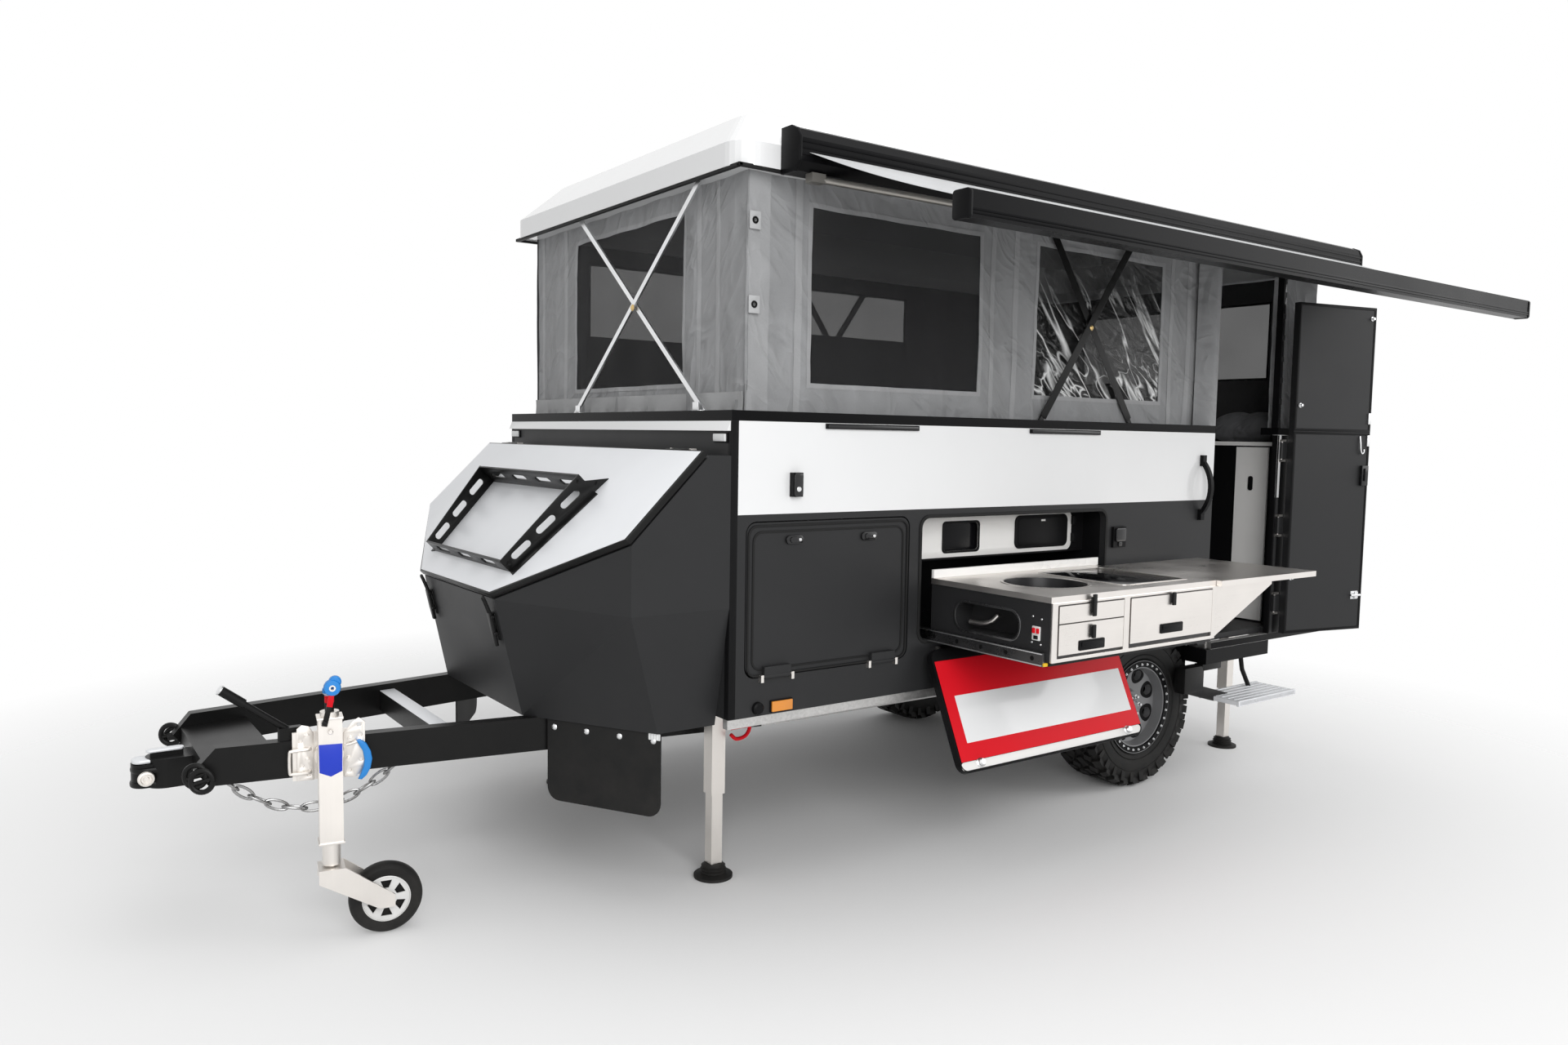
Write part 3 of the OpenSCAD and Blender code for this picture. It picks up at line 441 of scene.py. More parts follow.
class Shader(Graph):
    """A material under construction, with a Principled surface."""

    def __init__(self, name: str) -> None:
        """Starts a material.

        Args:
            name: The material's name.
        """
        self.material = bpy.data.materials.new(name)
        self.material.use_nodes = True
        super().__init__(self.material.node_tree)
        self.surface = self.tree.nodes["Principled BSDF"]
        coords = self.node("ShaderNodeTexCoord")
        self.place = coords.outputs["Object"]
        self.map = coords.outputs["UV"]

    def effect(self, tree: bpy.types.NodeTree, **inputs: Any) -> bpy.types.bpy_prop_collection:
        """Places a shared effect.

        Args:
            tree: The effect's node group.
            inputs: Values or links for its inputs.

        Returns:
            The effect's outputs.
        """
        made = self.node("ShaderNodeGroup", node_tree=tree)
        for key, value in inputs.items():
            self.feed(made.inputs[key], value)
        return made.outputs

    def set(self, **sockets: Any) -> None:
        """Sets the Principled surface's sockets, with underscores for spaces."""
        for key, value in sockets.items():
            self.feed(self.surface.inputs[key.replace("_", " ")], value)

    def bump(self, height: Any, strength: float, distance: float) -> None:
        """Sends a height to the surface's normal."""
        made = self.node(
            "ShaderNodeBump", {"Height": height, "Strength": strength, "Distance": distance})
        self.set(Normal=made.outputs[0])


EFFECTS = Effects()


def rgba(colour: Colour, gain: float = 1.0) -> tuple[float, float, float, float]:
    """A colour with its alpha, made lighter or darker by a gain."""
    return (min(colour[0] * gain, 1.0), min(colour[1] * gain, 1.0), min(colour[2] * gain, 1.0), 1.0)


@dataclass(frozen=True)
class Finish:
    """A surface finish, which also carries a material slot's name."""

    name: str
    slot: str
    colour: Colour
    roughness: float = 0.5

    def material(self) -> bpy.types.Material:
        """The finish's material, made at its first use.

        Returns:
            The material.
        """
        made = bpy.data.materials.get(self.name)
        if made is None:
            shader = Shader(self.name)
            self.build(shader)
            made = shader.material
        return made

    def build(self, shader: Shader) -> None:
        """Builds the finish's nodes in a new material; each kind of finish has its own."""
        raise NotImplementedError


@dataclass(frozen=True)
class Paint(Finish):
    """Paint, powder coat or moulded plastic with grain, tone, dust and scuffs."""

    grain: float = 700.0
    depth: float = 0.12
    tone: float = 0.10
    dust: float = 0.0
    scuff: float = 0.0
    metallic: float = 0.0
    coat: float = 0.0
    shine: float = 0.5

    def build(self, shader: Shader) -> None:
        """Builds the paint's nodes.

        Args:
            shader: The new material.
        """
        grain = shader.effect(EFFECTS.grain, Vector=shader.place, Scale=self.grain)
        colour = shader.blend(
            grain["Tone"], rgba(self.colour, 1 - self.tone), rgba(self.colour, 1 + self.tone))
        rough = shader.add(shader.mul(grain["Tone"], 0.1), self.roughness - 0.05)
        if self.scuff:
            mask = shader.effect(EFFECTS.scuffs, Vector=shader.place, Amount=self.scuff)["Mask"]
            colour = shader.blend(mask, colour, rgba(self.colour, 2.2))
            rough = shader.add(rough, shader.mul(mask, 0.2))
        if self.dust:
            mask = shader.effect(EFFECTS.dust, Vector=shader.place, Ground=LAYOUT.ground,
                                 Reach=DUST_REACH)["Mask"]
            share = shader.mul(mask, self.dust)
            colour = shader.blend(share, colour, DUST)
            rough = shader.add(rough, shader.mul(share, 0.3), clamp=True)
        shader.set(Base_Color=colour, Roughness=rough, Metallic=self.metallic)
        shader.set(Coat_Weight=self.coat, Coat_Roughness=0.08, Specular_IOR_Level=self.shine)
        shader.bump(grain["Height"], self.depth, GRAIN_BUMP)


@dataclass(frozen=True)
class BareMetal(Finish):
    """Bare metal with brushed or rolled lines and cloudy handling marks."""

    grain: Grain = Grain.ALONG
    depth: float = 0.08
    cloud: float = 0.12

    def build(self, shader: Shader) -> None:
        """Builds the metal's nodes.

        Args:
            shader: The new material.
        """
        lines = shader.effect(EFFECTS.lines, Vector=shader.place, Stretch=self.grain.value)
        share = shader.mul(shader.add(lines["Line"], lines["Cloud"]), 0.5)
        colour = shader.blend(
            share, rgba(self.colour, 1 - self.cloud), rgba(self.colour, 1 + self.cloud))
        rough = shader.add(shader.mul(share, 0.22), self.roughness - 0.11)
        shader.set(Base_Color=colour, Roughness=rough, Metallic=1.0)
        shader.bump(lines["Line"], self.depth, LINE_BUMP)


@dataclass(frozen=True)
class Galvanised(Finish):
    """Hot-dipped zinc with its spangle of crystals."""

    spangle: float = 55.0

    def build(self, shader: Shader) -> None:
        """Builds the zinc's nodes.

        Args:
            shader: The new material.
        """
        cells = shader.node("ShaderNodeTexVoronoi", {"Vector": shader.place, "Scale": self.spangle})
        tone = shader.out("ShaderNodeSeparateColor", {0: cells.outputs["Color"]})
        grain = shader.effect(EFFECTS.grain, Vector=shader.place, Scale=240.0)
        share = shader.add(shader.mul(tone, 0.55), shader.mul(grain["Tone"], 0.45))
        colour = shader.blend(share, rgba(self.colour, 0.82), rgba(self.colour, 1.14))
        rough = shader.add(shader.mul(share, 0.2), self.roughness - 0.1)
        shader.set(Base_Color=colour, Roughness=rough, Metallic=0.9)
        shader.bump(grain["Height"], 0.1, FINE_BUMP)


@dataclass(frozen=True)
class Cloth(Finish):
    """Woven cloth on a sheet's own map, with fine creases, and light and shade painted along the
    creases.
    """

    pitch: float = 0.0016
    crease: float = 0.35

    def build(self, shader: Shader) -> None:
        """Builds the cloth's nodes.

        Args:
            shader: The new material.
        """
        weave = shader.effect(EFFECTS.weave, Vector=shader.map, Pitch=self.pitch)
        broad = shader.effect(EFFECTS.folds, Vector=shader.place, Turn=(0.16, -0.20, 0.0),
                              Size=(0.17, 0.17, 0.62), Wave=0.6, Width=0.16)["Ridge"]
        fine = shader.effect(EFFECTS.folds, Vector=shader.place, Turn=(-0.70, 0.75, 0.0),
                             Size=(0.30, 0.30, 0.110), Wave=0.9, Width=0.15)["Ridge"]
        creases = shader.add(shader.mul(broad, 0.5), shader.mul(fine, 0.5))
        # The creases also lighten and darken the colour: painted light and shade standing in for the
        # folds' shading.
        share = min(0.6, 0.30 * self.crease)
        painted_crease_light = shader.mul(creases, share)
        shade = shader.add(shader.mul(weave["Shade"], 1.0 - share), painted_crease_light)
        colour = shader.blend(shade, rgba(self.colour, 0.72), rgba(self.colour, 1.28))
        height = shader.add(shader.mul(weave["Height"], 0.015), shader.mul(creases, self.crease))
        shader.set(Base_Color=colour, Roughness=self.roughness, Sheen_Weight=0.15)
        shader.bump(height, 0.75, 0.03)


@dataclass(frozen=True)
class Netting(Finish):
    """Insect netting that lets part of the light through."""

    solid: float = 0.5
    pitch: float = 0.0024

    def build(self, shader: Shader) -> None:
        """Builds the netting's nodes.

        Args:
            shader: The new material.
        """
        weave = shader.effect(EFFECTS.weave, Vector=shader.map, Pitch=self.pitch)
        colour = shader.blend(weave["Shade"], rgba(self.colour, 0.8), rgba(self.colour, 1.25))
        alpha = shader.add(shader.mul(weave["Shade"], 0.12), self.solid - 0.06)
        shader.set(Base_Color=colour, Roughness=self.roughness, Alpha=alpha)
        shader.bump(weave["Height"], 0.2, FINE_BUMP)


@dataclass(frozen=True)
class ClearSheet(Finish):
    """Clear soft sheet with long creases that gather towards its foot, and painted highlights along
    them.
    """

    def build(self, shader: Shader) -> None:
        """Builds the sheet's nodes.

        Args:
            shader: The new material.
        """
        long = shader.effect(EFFECTS.folds, Vector=shader.place, Turn=(0.0, 0.86, 0.0),
                             Size=(0.62, 0.4, 0.090), Wave=0.45, Width=0.040)
        swirl = shader.effect(EFFECTS.folds, Vector=shader.place, Turn=(0.0, 0.55, 0.0),
                              Size=(0.24, 0.3, 0.095), Wave=1.5, Width=0.055)
        height = shader.node("ShaderNodeSeparateXYZ", {0: shader.place}).outputs[2]
        slack = shader.less(1.0, shader.ramp(height, LAYOUT.deck + 0.42, LAYOUT.deck + 0.70))
        foot = shader.less(1.0, shader.ramp(height, LAYOUT.deck + 0.20, LAYOUT.deck + 0.36))
        # The streaks are pale and more opaque: painted highlights standing in for reflections on the
        # sheet's creases.
        streak = shader.math(
            "MAXIMUM", shader.mul(long["Ridge"], slack), shader.mul(swirl["Ridge"], foot))
        alpha = shader.add(shader.mul(streak, 0.60), 0.40, True)
        shader.set(Base_Color=shader.blend(streak, rgba(self.colour, 0.03), rgba(self.colour)))
        shader.set(Roughness=self.roughness, Alpha=alpha, Specular_IOR_Level=0.25)
        ridge = shader.add(long["Soft"], swirl["Soft"])
        shader.bump(ridge, 0.8, 0.05)


@dataclass(frozen=True)
class LampLens(Finish):
    """Moulded lamp lens with fine upright prisms."""

    prisms: float = 1600.0

    def build(self, shader: Shader) -> None:
        """Builds the lens's nodes.

        Args:
            shader: The new material.
        """
        parts = shader.node("ShaderNodeSeparateXYZ", {0: shader.place}).outputs
        across = shader.add(parts[0], parts[1])
        prism = shader.math("SINE", shader.mul(across, self.prisms))
        colour = shader.blend(
            shader.ramp(prism, -1.0, 1.0), rgba(self.colour, 0.82), rgba(self.colour, 1.1))
        shader.set(Base_Color=colour, Roughness=self.roughness, Coat_Weight=0.6)
        shader.bump(prism, 0.25, LINE_BUMP)


LAYOUT = Layout.read()

BODY_GREY = Paint("body_grey_satin", "body_grey", (0.0215, 0.0218, 0.0228), 0.46, 900.0, 0.16, 0.08,
                  0.03, shine=0.24)
BODY_WHITE = Paint(
    "body_white_gloss", "body_white", (0.86, 0.865, 0.87), 0.16, 60.0, 0.02, 0.012, coat=0.4)
BLACK_PLASTIC = Paint("black_satin_plastic", "black_plastic", (0.006, 0.006, 0.0065), 0.40, 1100.0,
                      0.14, 0.15, shine=0.1)
AWNING_BLACK = Paint(
    "black_anodised", "black_plastic", (0.0045, 0.0045, 0.005), 0.28, 900.0, 0.06, 0.12, shine=0.07)
BLACK_GLOSS = Paint(
    "black_gloss_moulding", "black_plastic", (0.008, 0.008, 0.009), 0.18, 400.0, 0.03, 0.12)
BLACK_STEEL = Paint("black_powder_coat", "black_steel", (0.006, 0.006, 0.006), 0.34, 1300.0, 0.18,
                    0.14, 0.02, 0.3, shine=0.2)
FRAME_BLACK = Paint("black_frame_gloss", "black_steel", (0.006, 0.006, 0.006), 0.34, 900.0, 0.08,
                    0.12, 0.02, 0.2, shine=0.18)
BOX_STEEL = Paint("kitchen_black_panel", "black_steel", (0.020, 0.020, 0.021), 0.33, 900.0, 0.1,
                  0.1, 0.0, 0.3, shine=0.4)
WHITE_BOARD = Paint(
    "white_cabinet_board", "white_board", (0.90, 0.89, 0.87), 0.30, 300.0, 0.05, 0.03)
RUBBER = Paint(
    "black_rubber", "rubber", (0.010, 0.010, 0.010), 0.62, 800.0, 0.2, 0.2, 0.06, shine=0.22)
TYRE = Paint(
    "tyre_rubber", "tyre", (0.0060, 0.0060, 0.0060), 0.56, 600.0, 0.22, 0.2, 0.05, shine=0.24)
RIM = Paint("rim_satin_grey", "rim", (0.230, 0.232, 0.238), 0.36, 900.0, 0.1, 0.12, 0.06, 0.2, 0.35)
SPRING = Paint("spring_paint", "spring", (0.03, 0.03, 0.03), 0.45, 900.0, 0.1, 0.15, 0.4)
HUB_WHITE = Paint(
    "moulded_white", "jockey_white", (0.80, 0.80, 0.79), 0.35, 500.0, 0.06, 0.03, 0.25)
BLUE = Paint("blue_label", "jockey_white", (0.007, 0.040, 0.56), 0.30, 600.0, 0.04, 0.05)
SKY_BLUE = Paint("blue_moulding", "jockey_white", (0.018, 0.25, 0.70), 0.34, 600.0, 0.06, 0.08)
RED = Paint("red_enamel", "lens", (0.74, 0.008, 0.018), 0.42, 300.0, 0.03, 0.04, shine=0.15)
YELLOW = Paint("yellow_moulding", "lens", (0.80, 0.50, 0.02), 0.4, 500.0, 0.06, 0.06)
HOB_GLASS = Paint(
    "black_hob_glass", "black_plastic", (0.006, 0.006, 0.007), 0.12, 200.0, 0.01, 0.1, shine=0.12)
SINK_DARK = Paint(
    "sink_dark_coat", "black_plastic", (0.012, 0.012, 0.013), 0.34, 500.0, 0.06, 0.12, shine=0.25)
LID_SILVER = Paint(
    "lid_silver_sheet", "lid", (0.89, 0.905, 0.93), 0.38, 380.0, 0.06, 0.03, metallic=0.1)
ZINC = Galvanised("galvanised_zinc", "galvanised", (0.56, 0.555, 0.545), 0.42, 120.0)
PLATED = BareMetal(
    "plated_steel", "galvanised", (0.80, 0.765, 0.725), 0.44, Grain.UPRIGHT, 0.03, 0.05)
CHAIN_ZINC = Galvanised("bright_zinc", "galvanised", (0.34, 0.34, 0.34), 0.30, 160.0)
ALUMINIUM = BareMetal("drawn_aluminium", "aluminium", (0.74, 0.745, 0.75), 0.34)
ALUMINIUM_UP = BareMetal(
    "drawn_aluminium_upright", "aluminium", (0.74, 0.745, 0.75), 0.34, Grain.UPRIGHT)
ARM_METAL = BareMetal("awning_arm_metal", "aluminium", (0.36, 0.345, 0.32), 0.42)
BRASS = BareMetal("turned_brass", "steel", (0.62, 0.45, 0.20), 0.34)
STEEL = BareMetal("brushed_stainless", "steel", (0.82, 0.785, 0.75), 0.32, Grain.ALONG, 0.03, 0.05)
SLIDE_DARK = BareMetal("slide_dark_zinc", "steel", (0.20, 0.20, 0.205), 0.28)
CANVAS = Cloth("tent_canvas", "canvas", (0.345, 0.349, 0.357), 0.85, 0.0016, 1.3)
HEM = Cloth("tent_hem", "canvas", (0.415, 0.419, 0.427), 0.8, 0.0016, 0.8)
# Near-black cloth for the tent walls' inner faces: painted shade for the tent's dark inside.
INNER_SHADE_CLOTH = Cloth("tent_lining", "canvas", (0.040, 0.040, 0.042), 0.9, 0.0016, 0.4)
WEBBING = Cloth("tent_webbing", "canvas", (0.47, 0.475, 0.48), 0.8, 0.0016, 0.1)
AWNING_CLOTH = Cloth("awning_sheet", "awning_cloth", (0.66, 0.67, 0.68), 0.7, 0.0014, 0.05)
PILLOW = Cloth("pillow_cover", "upholstery", (0.110, 0.111, 0.116), 0.9, 0.002, 0.4)
UPHOLSTERY = Cloth("dark_upholstery", "upholstery", (0.022, 0.022, 0.024), 0.9, 0.002, 0.1)
NETTING = Netting("insect_netting", "window_sheet", (0.016, 0.016, 0.017), 0.8, 0.47)
DARK_NET = Netting("rear_netting", "window_sheet", (0.016, 0.016, 0.017), 0.8, 0.66)
# Its colour is the colour of the painted highlights on the sheet's creases.
VINYL = ClearSheet("clear_sheet", "window_sheet", (0.88, 0.89, 0.89), 0.10)
AMBER = LampLens("amber_lens", "lens", (0.80, 0.28, 0.02), 0.2)
WHITE_LENS = LampLens("white_lens", "lens", (0.82, 0.83, 0.83), 0.2)
RED_LENS = LampLens("red_lens", "lens", (0.50, 0.015, 0.02), 0.2)


class Form:
    """A mesh built up from chamfered shapes, in metres in the trailer's frame."""

    def __init__(self) -> None:
        """Starts an empty form."""
        self.mesh = bmesh.new()

    def take(self, mesh: bpy.types.Mesh, place: Matrix | None = None) -> "Form":
        """Adds a mesh and deletes its data.

        Args:
            mesh: The mesh to add.
            place: Where it goes.

        Returns:
            This form.
        """
        if place is not None:
            mesh.transform(place)
        self.mesh.from_mesh(mesh)
        bpy.data.meshes.remove(mesh)
        return self

    def block(self, low: Sequence[float], high: Sequence[float], edge: float = 0.002,
              place: Matrix | None = None) -> "Form":
        """Adds a block with rounded edges.

        Args:
            low: Its lowest corner.
            high: Its highest corner.
            edge: Radius of its edges.
            place: The plane that the corners are given in.

        Returns:
            This form.
        """
        size = Vector(high) - Vector(low)
        middle = (Vector(high) + Vector(low)) / 2
        matrix = (place or Matrix()) @ Matrix.Translation(middle) @ Matrix.Diagonal((*size, 1.0))
        made = bmesh.new()
        bmesh.ops.create_cube(made, size=1.0, matrix=matrix)
        width = min(edge, min(abs(s) for s in size) * 0.45)
        if width > 0:
            bmesh.ops.bevel(
                made, geom=made.edges[:], offset=width, segments=2, affect="EDGES", profile=0.6)
        self._join(made)
        return self

    def _join(self, made: bmesh.types.BMesh) -> None:
        """Adds another builder's faces and frees it.

        Args:
            made: The builder.
        """
        mesh = bpy.data.meshes.new("part")
        made.to_mesh(mesh)
        made.free()
        self.take(mesh)

    def lathe(self, profile: Sequence[tuple[float, float]], place: Matrix, steps: int = 48,
              closed: bool = False) -> "Form":
        """Turns a profile about a plane's third axis.

        Args:
            profile: Radius and height of each point; a radius of 0 closes an end.
            place: The plane.
            steps: Facets round the axis.
            closed: Whether the last point joins the first.

        Returns:
            This form.
        """
        made = bmesh.new()
        rows: list[list[bmesh.types.BMVert]] = []
        for radius, height in profile:
            count = 1 if radius < 1e-6 else steps
            turns = [2 * math.pi * i / steps for i in range(count)]
            spots = [Vector((radius * math.cos(a), radius * math.sin(a), height)) for a in turns]
            rows.append([made.verts.new(place @ spot) for spot in spots])
        pairs = list(zip(rows, rows[1:])) + ([(rows[-1], rows[0])] if closed else [])
        for first, second in pairs:
            for i in range(steps):
                j = (i + 1) % steps
                corners = [first[i % len(first)], first[j % len(first)], second[j % len(second)],
                           second[i % len(second)]]
                face = list(dict.fromkeys(corners))
                if len(face) > 2:
                    made.faces.new(face)
        bmesh.ops.recalc_face_normals(made, faces=made.faces[:])
        self._join(made)
        return self

    def rod(self, start: Sequence[float], end: Sequence[float], radius: float, steps: int = 20,
            edge: float = 0.0015) -> "Form":
        """Adds a round bar with softened ends.

        Args:
            start: One end's centre.
            end: The other end's centre.
            radius: The bar's radius.
            steps: Facets round the bar.
            edge: Radius of the end edges.

        Returns:
            This form.
        """
        run = Vector(end) - Vector(start)
        place = run.to_track_quat("Z", "Y").to_matrix().to_4x4()
        place.translation = Vector(start)
        length, soft = run.length, min(edge, radius * 0.5)
        self.lathe([(0, 0), (radius - soft, 0), (radius, soft), (radius, length - soft),
                    (radius - soft, length), (0, length)], place, steps)
        return self

    def tube(self, points: Sequence[Sequence[float]], radius: float, steps: int = 10) -> "Form":
        """Sweeps a round section along a line of points.

        Args:
            points: The line's points.
            radius: The section's radius.
            steps: Facets round the section.

        Returns:
            This form.
        """
        line = [Vector(p) for p in points]
        made = bmesh.new()
        rows: list[list[bmesh.types.BMVert]] = []
        across = (line[1] - line[0]).orthogonal().normalized()
        for i, point in enumerate(line):
            run = (line[min(i + 1, len(line) - 1)] - line[max(i - 1, 0)]).normalized()
            across = (across - run * across.dot(run)).normalized()
            other = run.cross(across)
            turns = [2 * math.pi * k / steps for k in range(steps)]
            spots = [math.cos(a) * across + math.sin(a) * other for a in turns]
            rows.append([made.verts.new(point + radius * spot) for spot in spots])
        for first, second in zip(rows, rows[1:]):
            for i in range(steps):
                made.faces.new(
                    (first[i], first[(i + 1) % steps], second[(i + 1) % steps], second[i]))
        made.faces.new(rows[0])
        made.faces.new(rows[-1])
        bmesh.ops.recalc_face_normals(made, faces=made.faces[:])
        self._join(made)
        return self

    def wire(self, points: Sequence[Sequence[float]], place: Matrix, radius: float,
             steps: int = 4) -> "Form":
        """Bends a round wire smoothly through points of a plane.

        Args:
            points: The points in the plane.
            place: The plane.
            radius: The wire's radius.
            steps: Pieces between two points.

        Returns:
            This form.
        """
        line = smooth_line([Vector(p) for p in points], steps)
        self.tube([place @ p for p in line], radius)
        return self

    def plate(self, outline: Loop, place: Matrix, thick: float, edge: float = 0.0008,
              holes: Sequence[Loop] = ()) -> "Form":
        """Adds a flat plate, cut to an outline, with rounded edges.

        Args:
            outline: The outline in the plane.
            place: The plane; the plate rises from it along its third axis.
            thick: The plate's thickness.
            edge: Radius of the edges.
            holes: Outlines of openings.

        Returns:
            This form.
        """
        curve = bpy.data.curves.new("outline", "CURVE")
        curve.dimensions = "2D"
        curve.fill_mode = "BOTH"
        soft = min(edge, thick * 0.4)
        curve.extrude = thick / 2 - soft
        curve.bevel_depth = soft
        curve.bevel_resolution = 1
        curve.offset = -soft
        for loop in (outline, *holes):
            spline = curve.splines.new("POLY")
            spline.points.add(len(loop) - 1)
            for point, (u, v) in zip(spline.points, loop):
                point.co = (u, v, 0.0, 1.0)
            spline.use_cyclic_u = True
        carrier = bpy.data.objects.new("outline", curve)
        mesh = bpy.data.meshes.new_from_object(carrier)
        bpy.data.objects.remove(carrier)
        bpy.data.curves.remove(curve)
        self.take(mesh, place @ shift(0, 0, thick / 2))
        return self

    def bolts(self, finish: Finish, place: Matrix, start: Sequence[float], radius: float,
              height: float, count: int = 1, step: float = 0.01) -> "Form":
        """Adds a row of bolt heads on a plane, along its first axis.

        Args:
            finish: The heads' finish.
            place: The plane.
            start: The first head's place in the plane.
            radius: The heads' radius.
            height: The heads' height.
            count: How many there are.
            step: Distance between two.

        Returns:
            This form.
        """
        mesh = REPEATS.bolt_row.run(finish, Count=count, Start=start, Step=(step, 0.0, 0.0),
                                    Head_Radius=radius, Head_Height=height)
        self.take(mesh, place)
        return self

    def piece(self, name: str, finish: Finish, *rest: Any) -> bpy.types.Object:
        """Makes the form a finished piece.

        Args:
            name: The piece's name.
            finish: Its finish.
            rest: Its body, the solids it replaces and its sharp angle, as as_piece takes them.

        Returns:
            The new object.
        """
        bmesh.ops.remove_doubles(self.mesh, verts=self.mesh.verts[:], dist=1e-6)
        mesh = bpy.data.meshes.new(name)
        self.mesh.to_mesh(mesh)
        self.mesh.free()
        return as_piece(mesh, name, finish, *rest)


def as_piece(mesh: bpy.types.Mesh, name: str, finish: Finish, body: str = "trailer",
             stands_for: Sequence[str] = (), angle: float = 32.0) -> bpy.types.Object:
    """Puts a mesh in the scene with its finish and its body.

    Args:
        mesh: The mesh, in the trailer's frame.
        name: The piece's name.
        finish: Its finish.
        body: The body it rides on.
        stands_for: Solids that it replaces.
        angle: Edges sharper than this stay sharp, in degrees.

    Returns:
        The new object.
    """
    mesh.name = name
    mesh.shade_smooth()
    mesh.set_sharp_from_angle(angle=math.radians(angle))
    made = bpy.data.objects.new(name, mesh)
    bpy.context.scene.collection.objects.link(made)
    mesh.materials.clear()
    mesh.materials.append(finish.material())
    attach(made, body)
    if stands_for:
        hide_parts(*stands_for)
    LOG.info("piece %s on %s, %d faces", name, body, len(mesh.polygons))
    return made


def evaluated(carrier: bpy.types.Object) -> bpy.types.Mesh:
    """An object's mesh with its modifiers applied."""
    depsgraph = bpy.context.evaluated_depsgraph_get()
    return bpy.data.meshes.new_from_object(carrier.evaluated_get(depsgraph))


class Repeat(Group):
    """A geometry node tree that repeats a shape, ending in plain faces with a material."""

    def __init__(self, name: str, inputs: dict[str, str]) -> None:
        """Starts a tree with inputs for its sizes, and for the faces' material."""
        sockets = {"Geometry": GEOMETRY} | inputs | {"Material": "NodeSocketMaterial"}
        super().__init__(name, "GeometryNodeTree", sockets, {"Geometry": GEOMETRY})

    def close(self, instances: bpy.types.NodeSocket) -> None:
        """Realizes the instances, gives them the material and sends them out.

        Args:
            instances: The tree's instances.
        """
        real = self.out("GeometryNodeRealizeInstances", {0: instances})
        dressed = self.node(
            "GeometryNodeSetMaterial", {"Geometry": real, "Material": self.source["Material"]})
        self.feed(self.sink[0], dressed.outputs[0])

    def run(self, finish: Finish, data: Any = None, **values: Any) -> bpy.types.Mesh:
        """Evaluates the tree and returns its result as a plain mesh.

        Args:
            finish: The finish that the faces get.
            data: A mesh or curve for the tree's geometry input.
            values: The named inputs, with underscores for spaces.

        Returns:
            The mesh.
        """
        base = data or bpy.data.meshes.new("repeat_base")
        carrier = bpy.data.objects.new("repeat_carrier", base)
        bpy.context.scene.collection.objects.link(carrier)
        modifier = carrier.modifiers.new("repeat", "NODES")
        modifier.node_group = self.tree
        chosen = {key.replace("_", " "): value for key, value in values.items()} | {
            "Material": finish.material()}
        for item in self.tree.interface.items_tree:
            if item.in_out == "INPUT" and item.name in chosen:
                modifier[item.identifier] = chosen[item.name]
        made = evaluated(carrier)
        bpy.data.objects.remove(carrier)
        bpy.data.batch_remove([base])
        return made


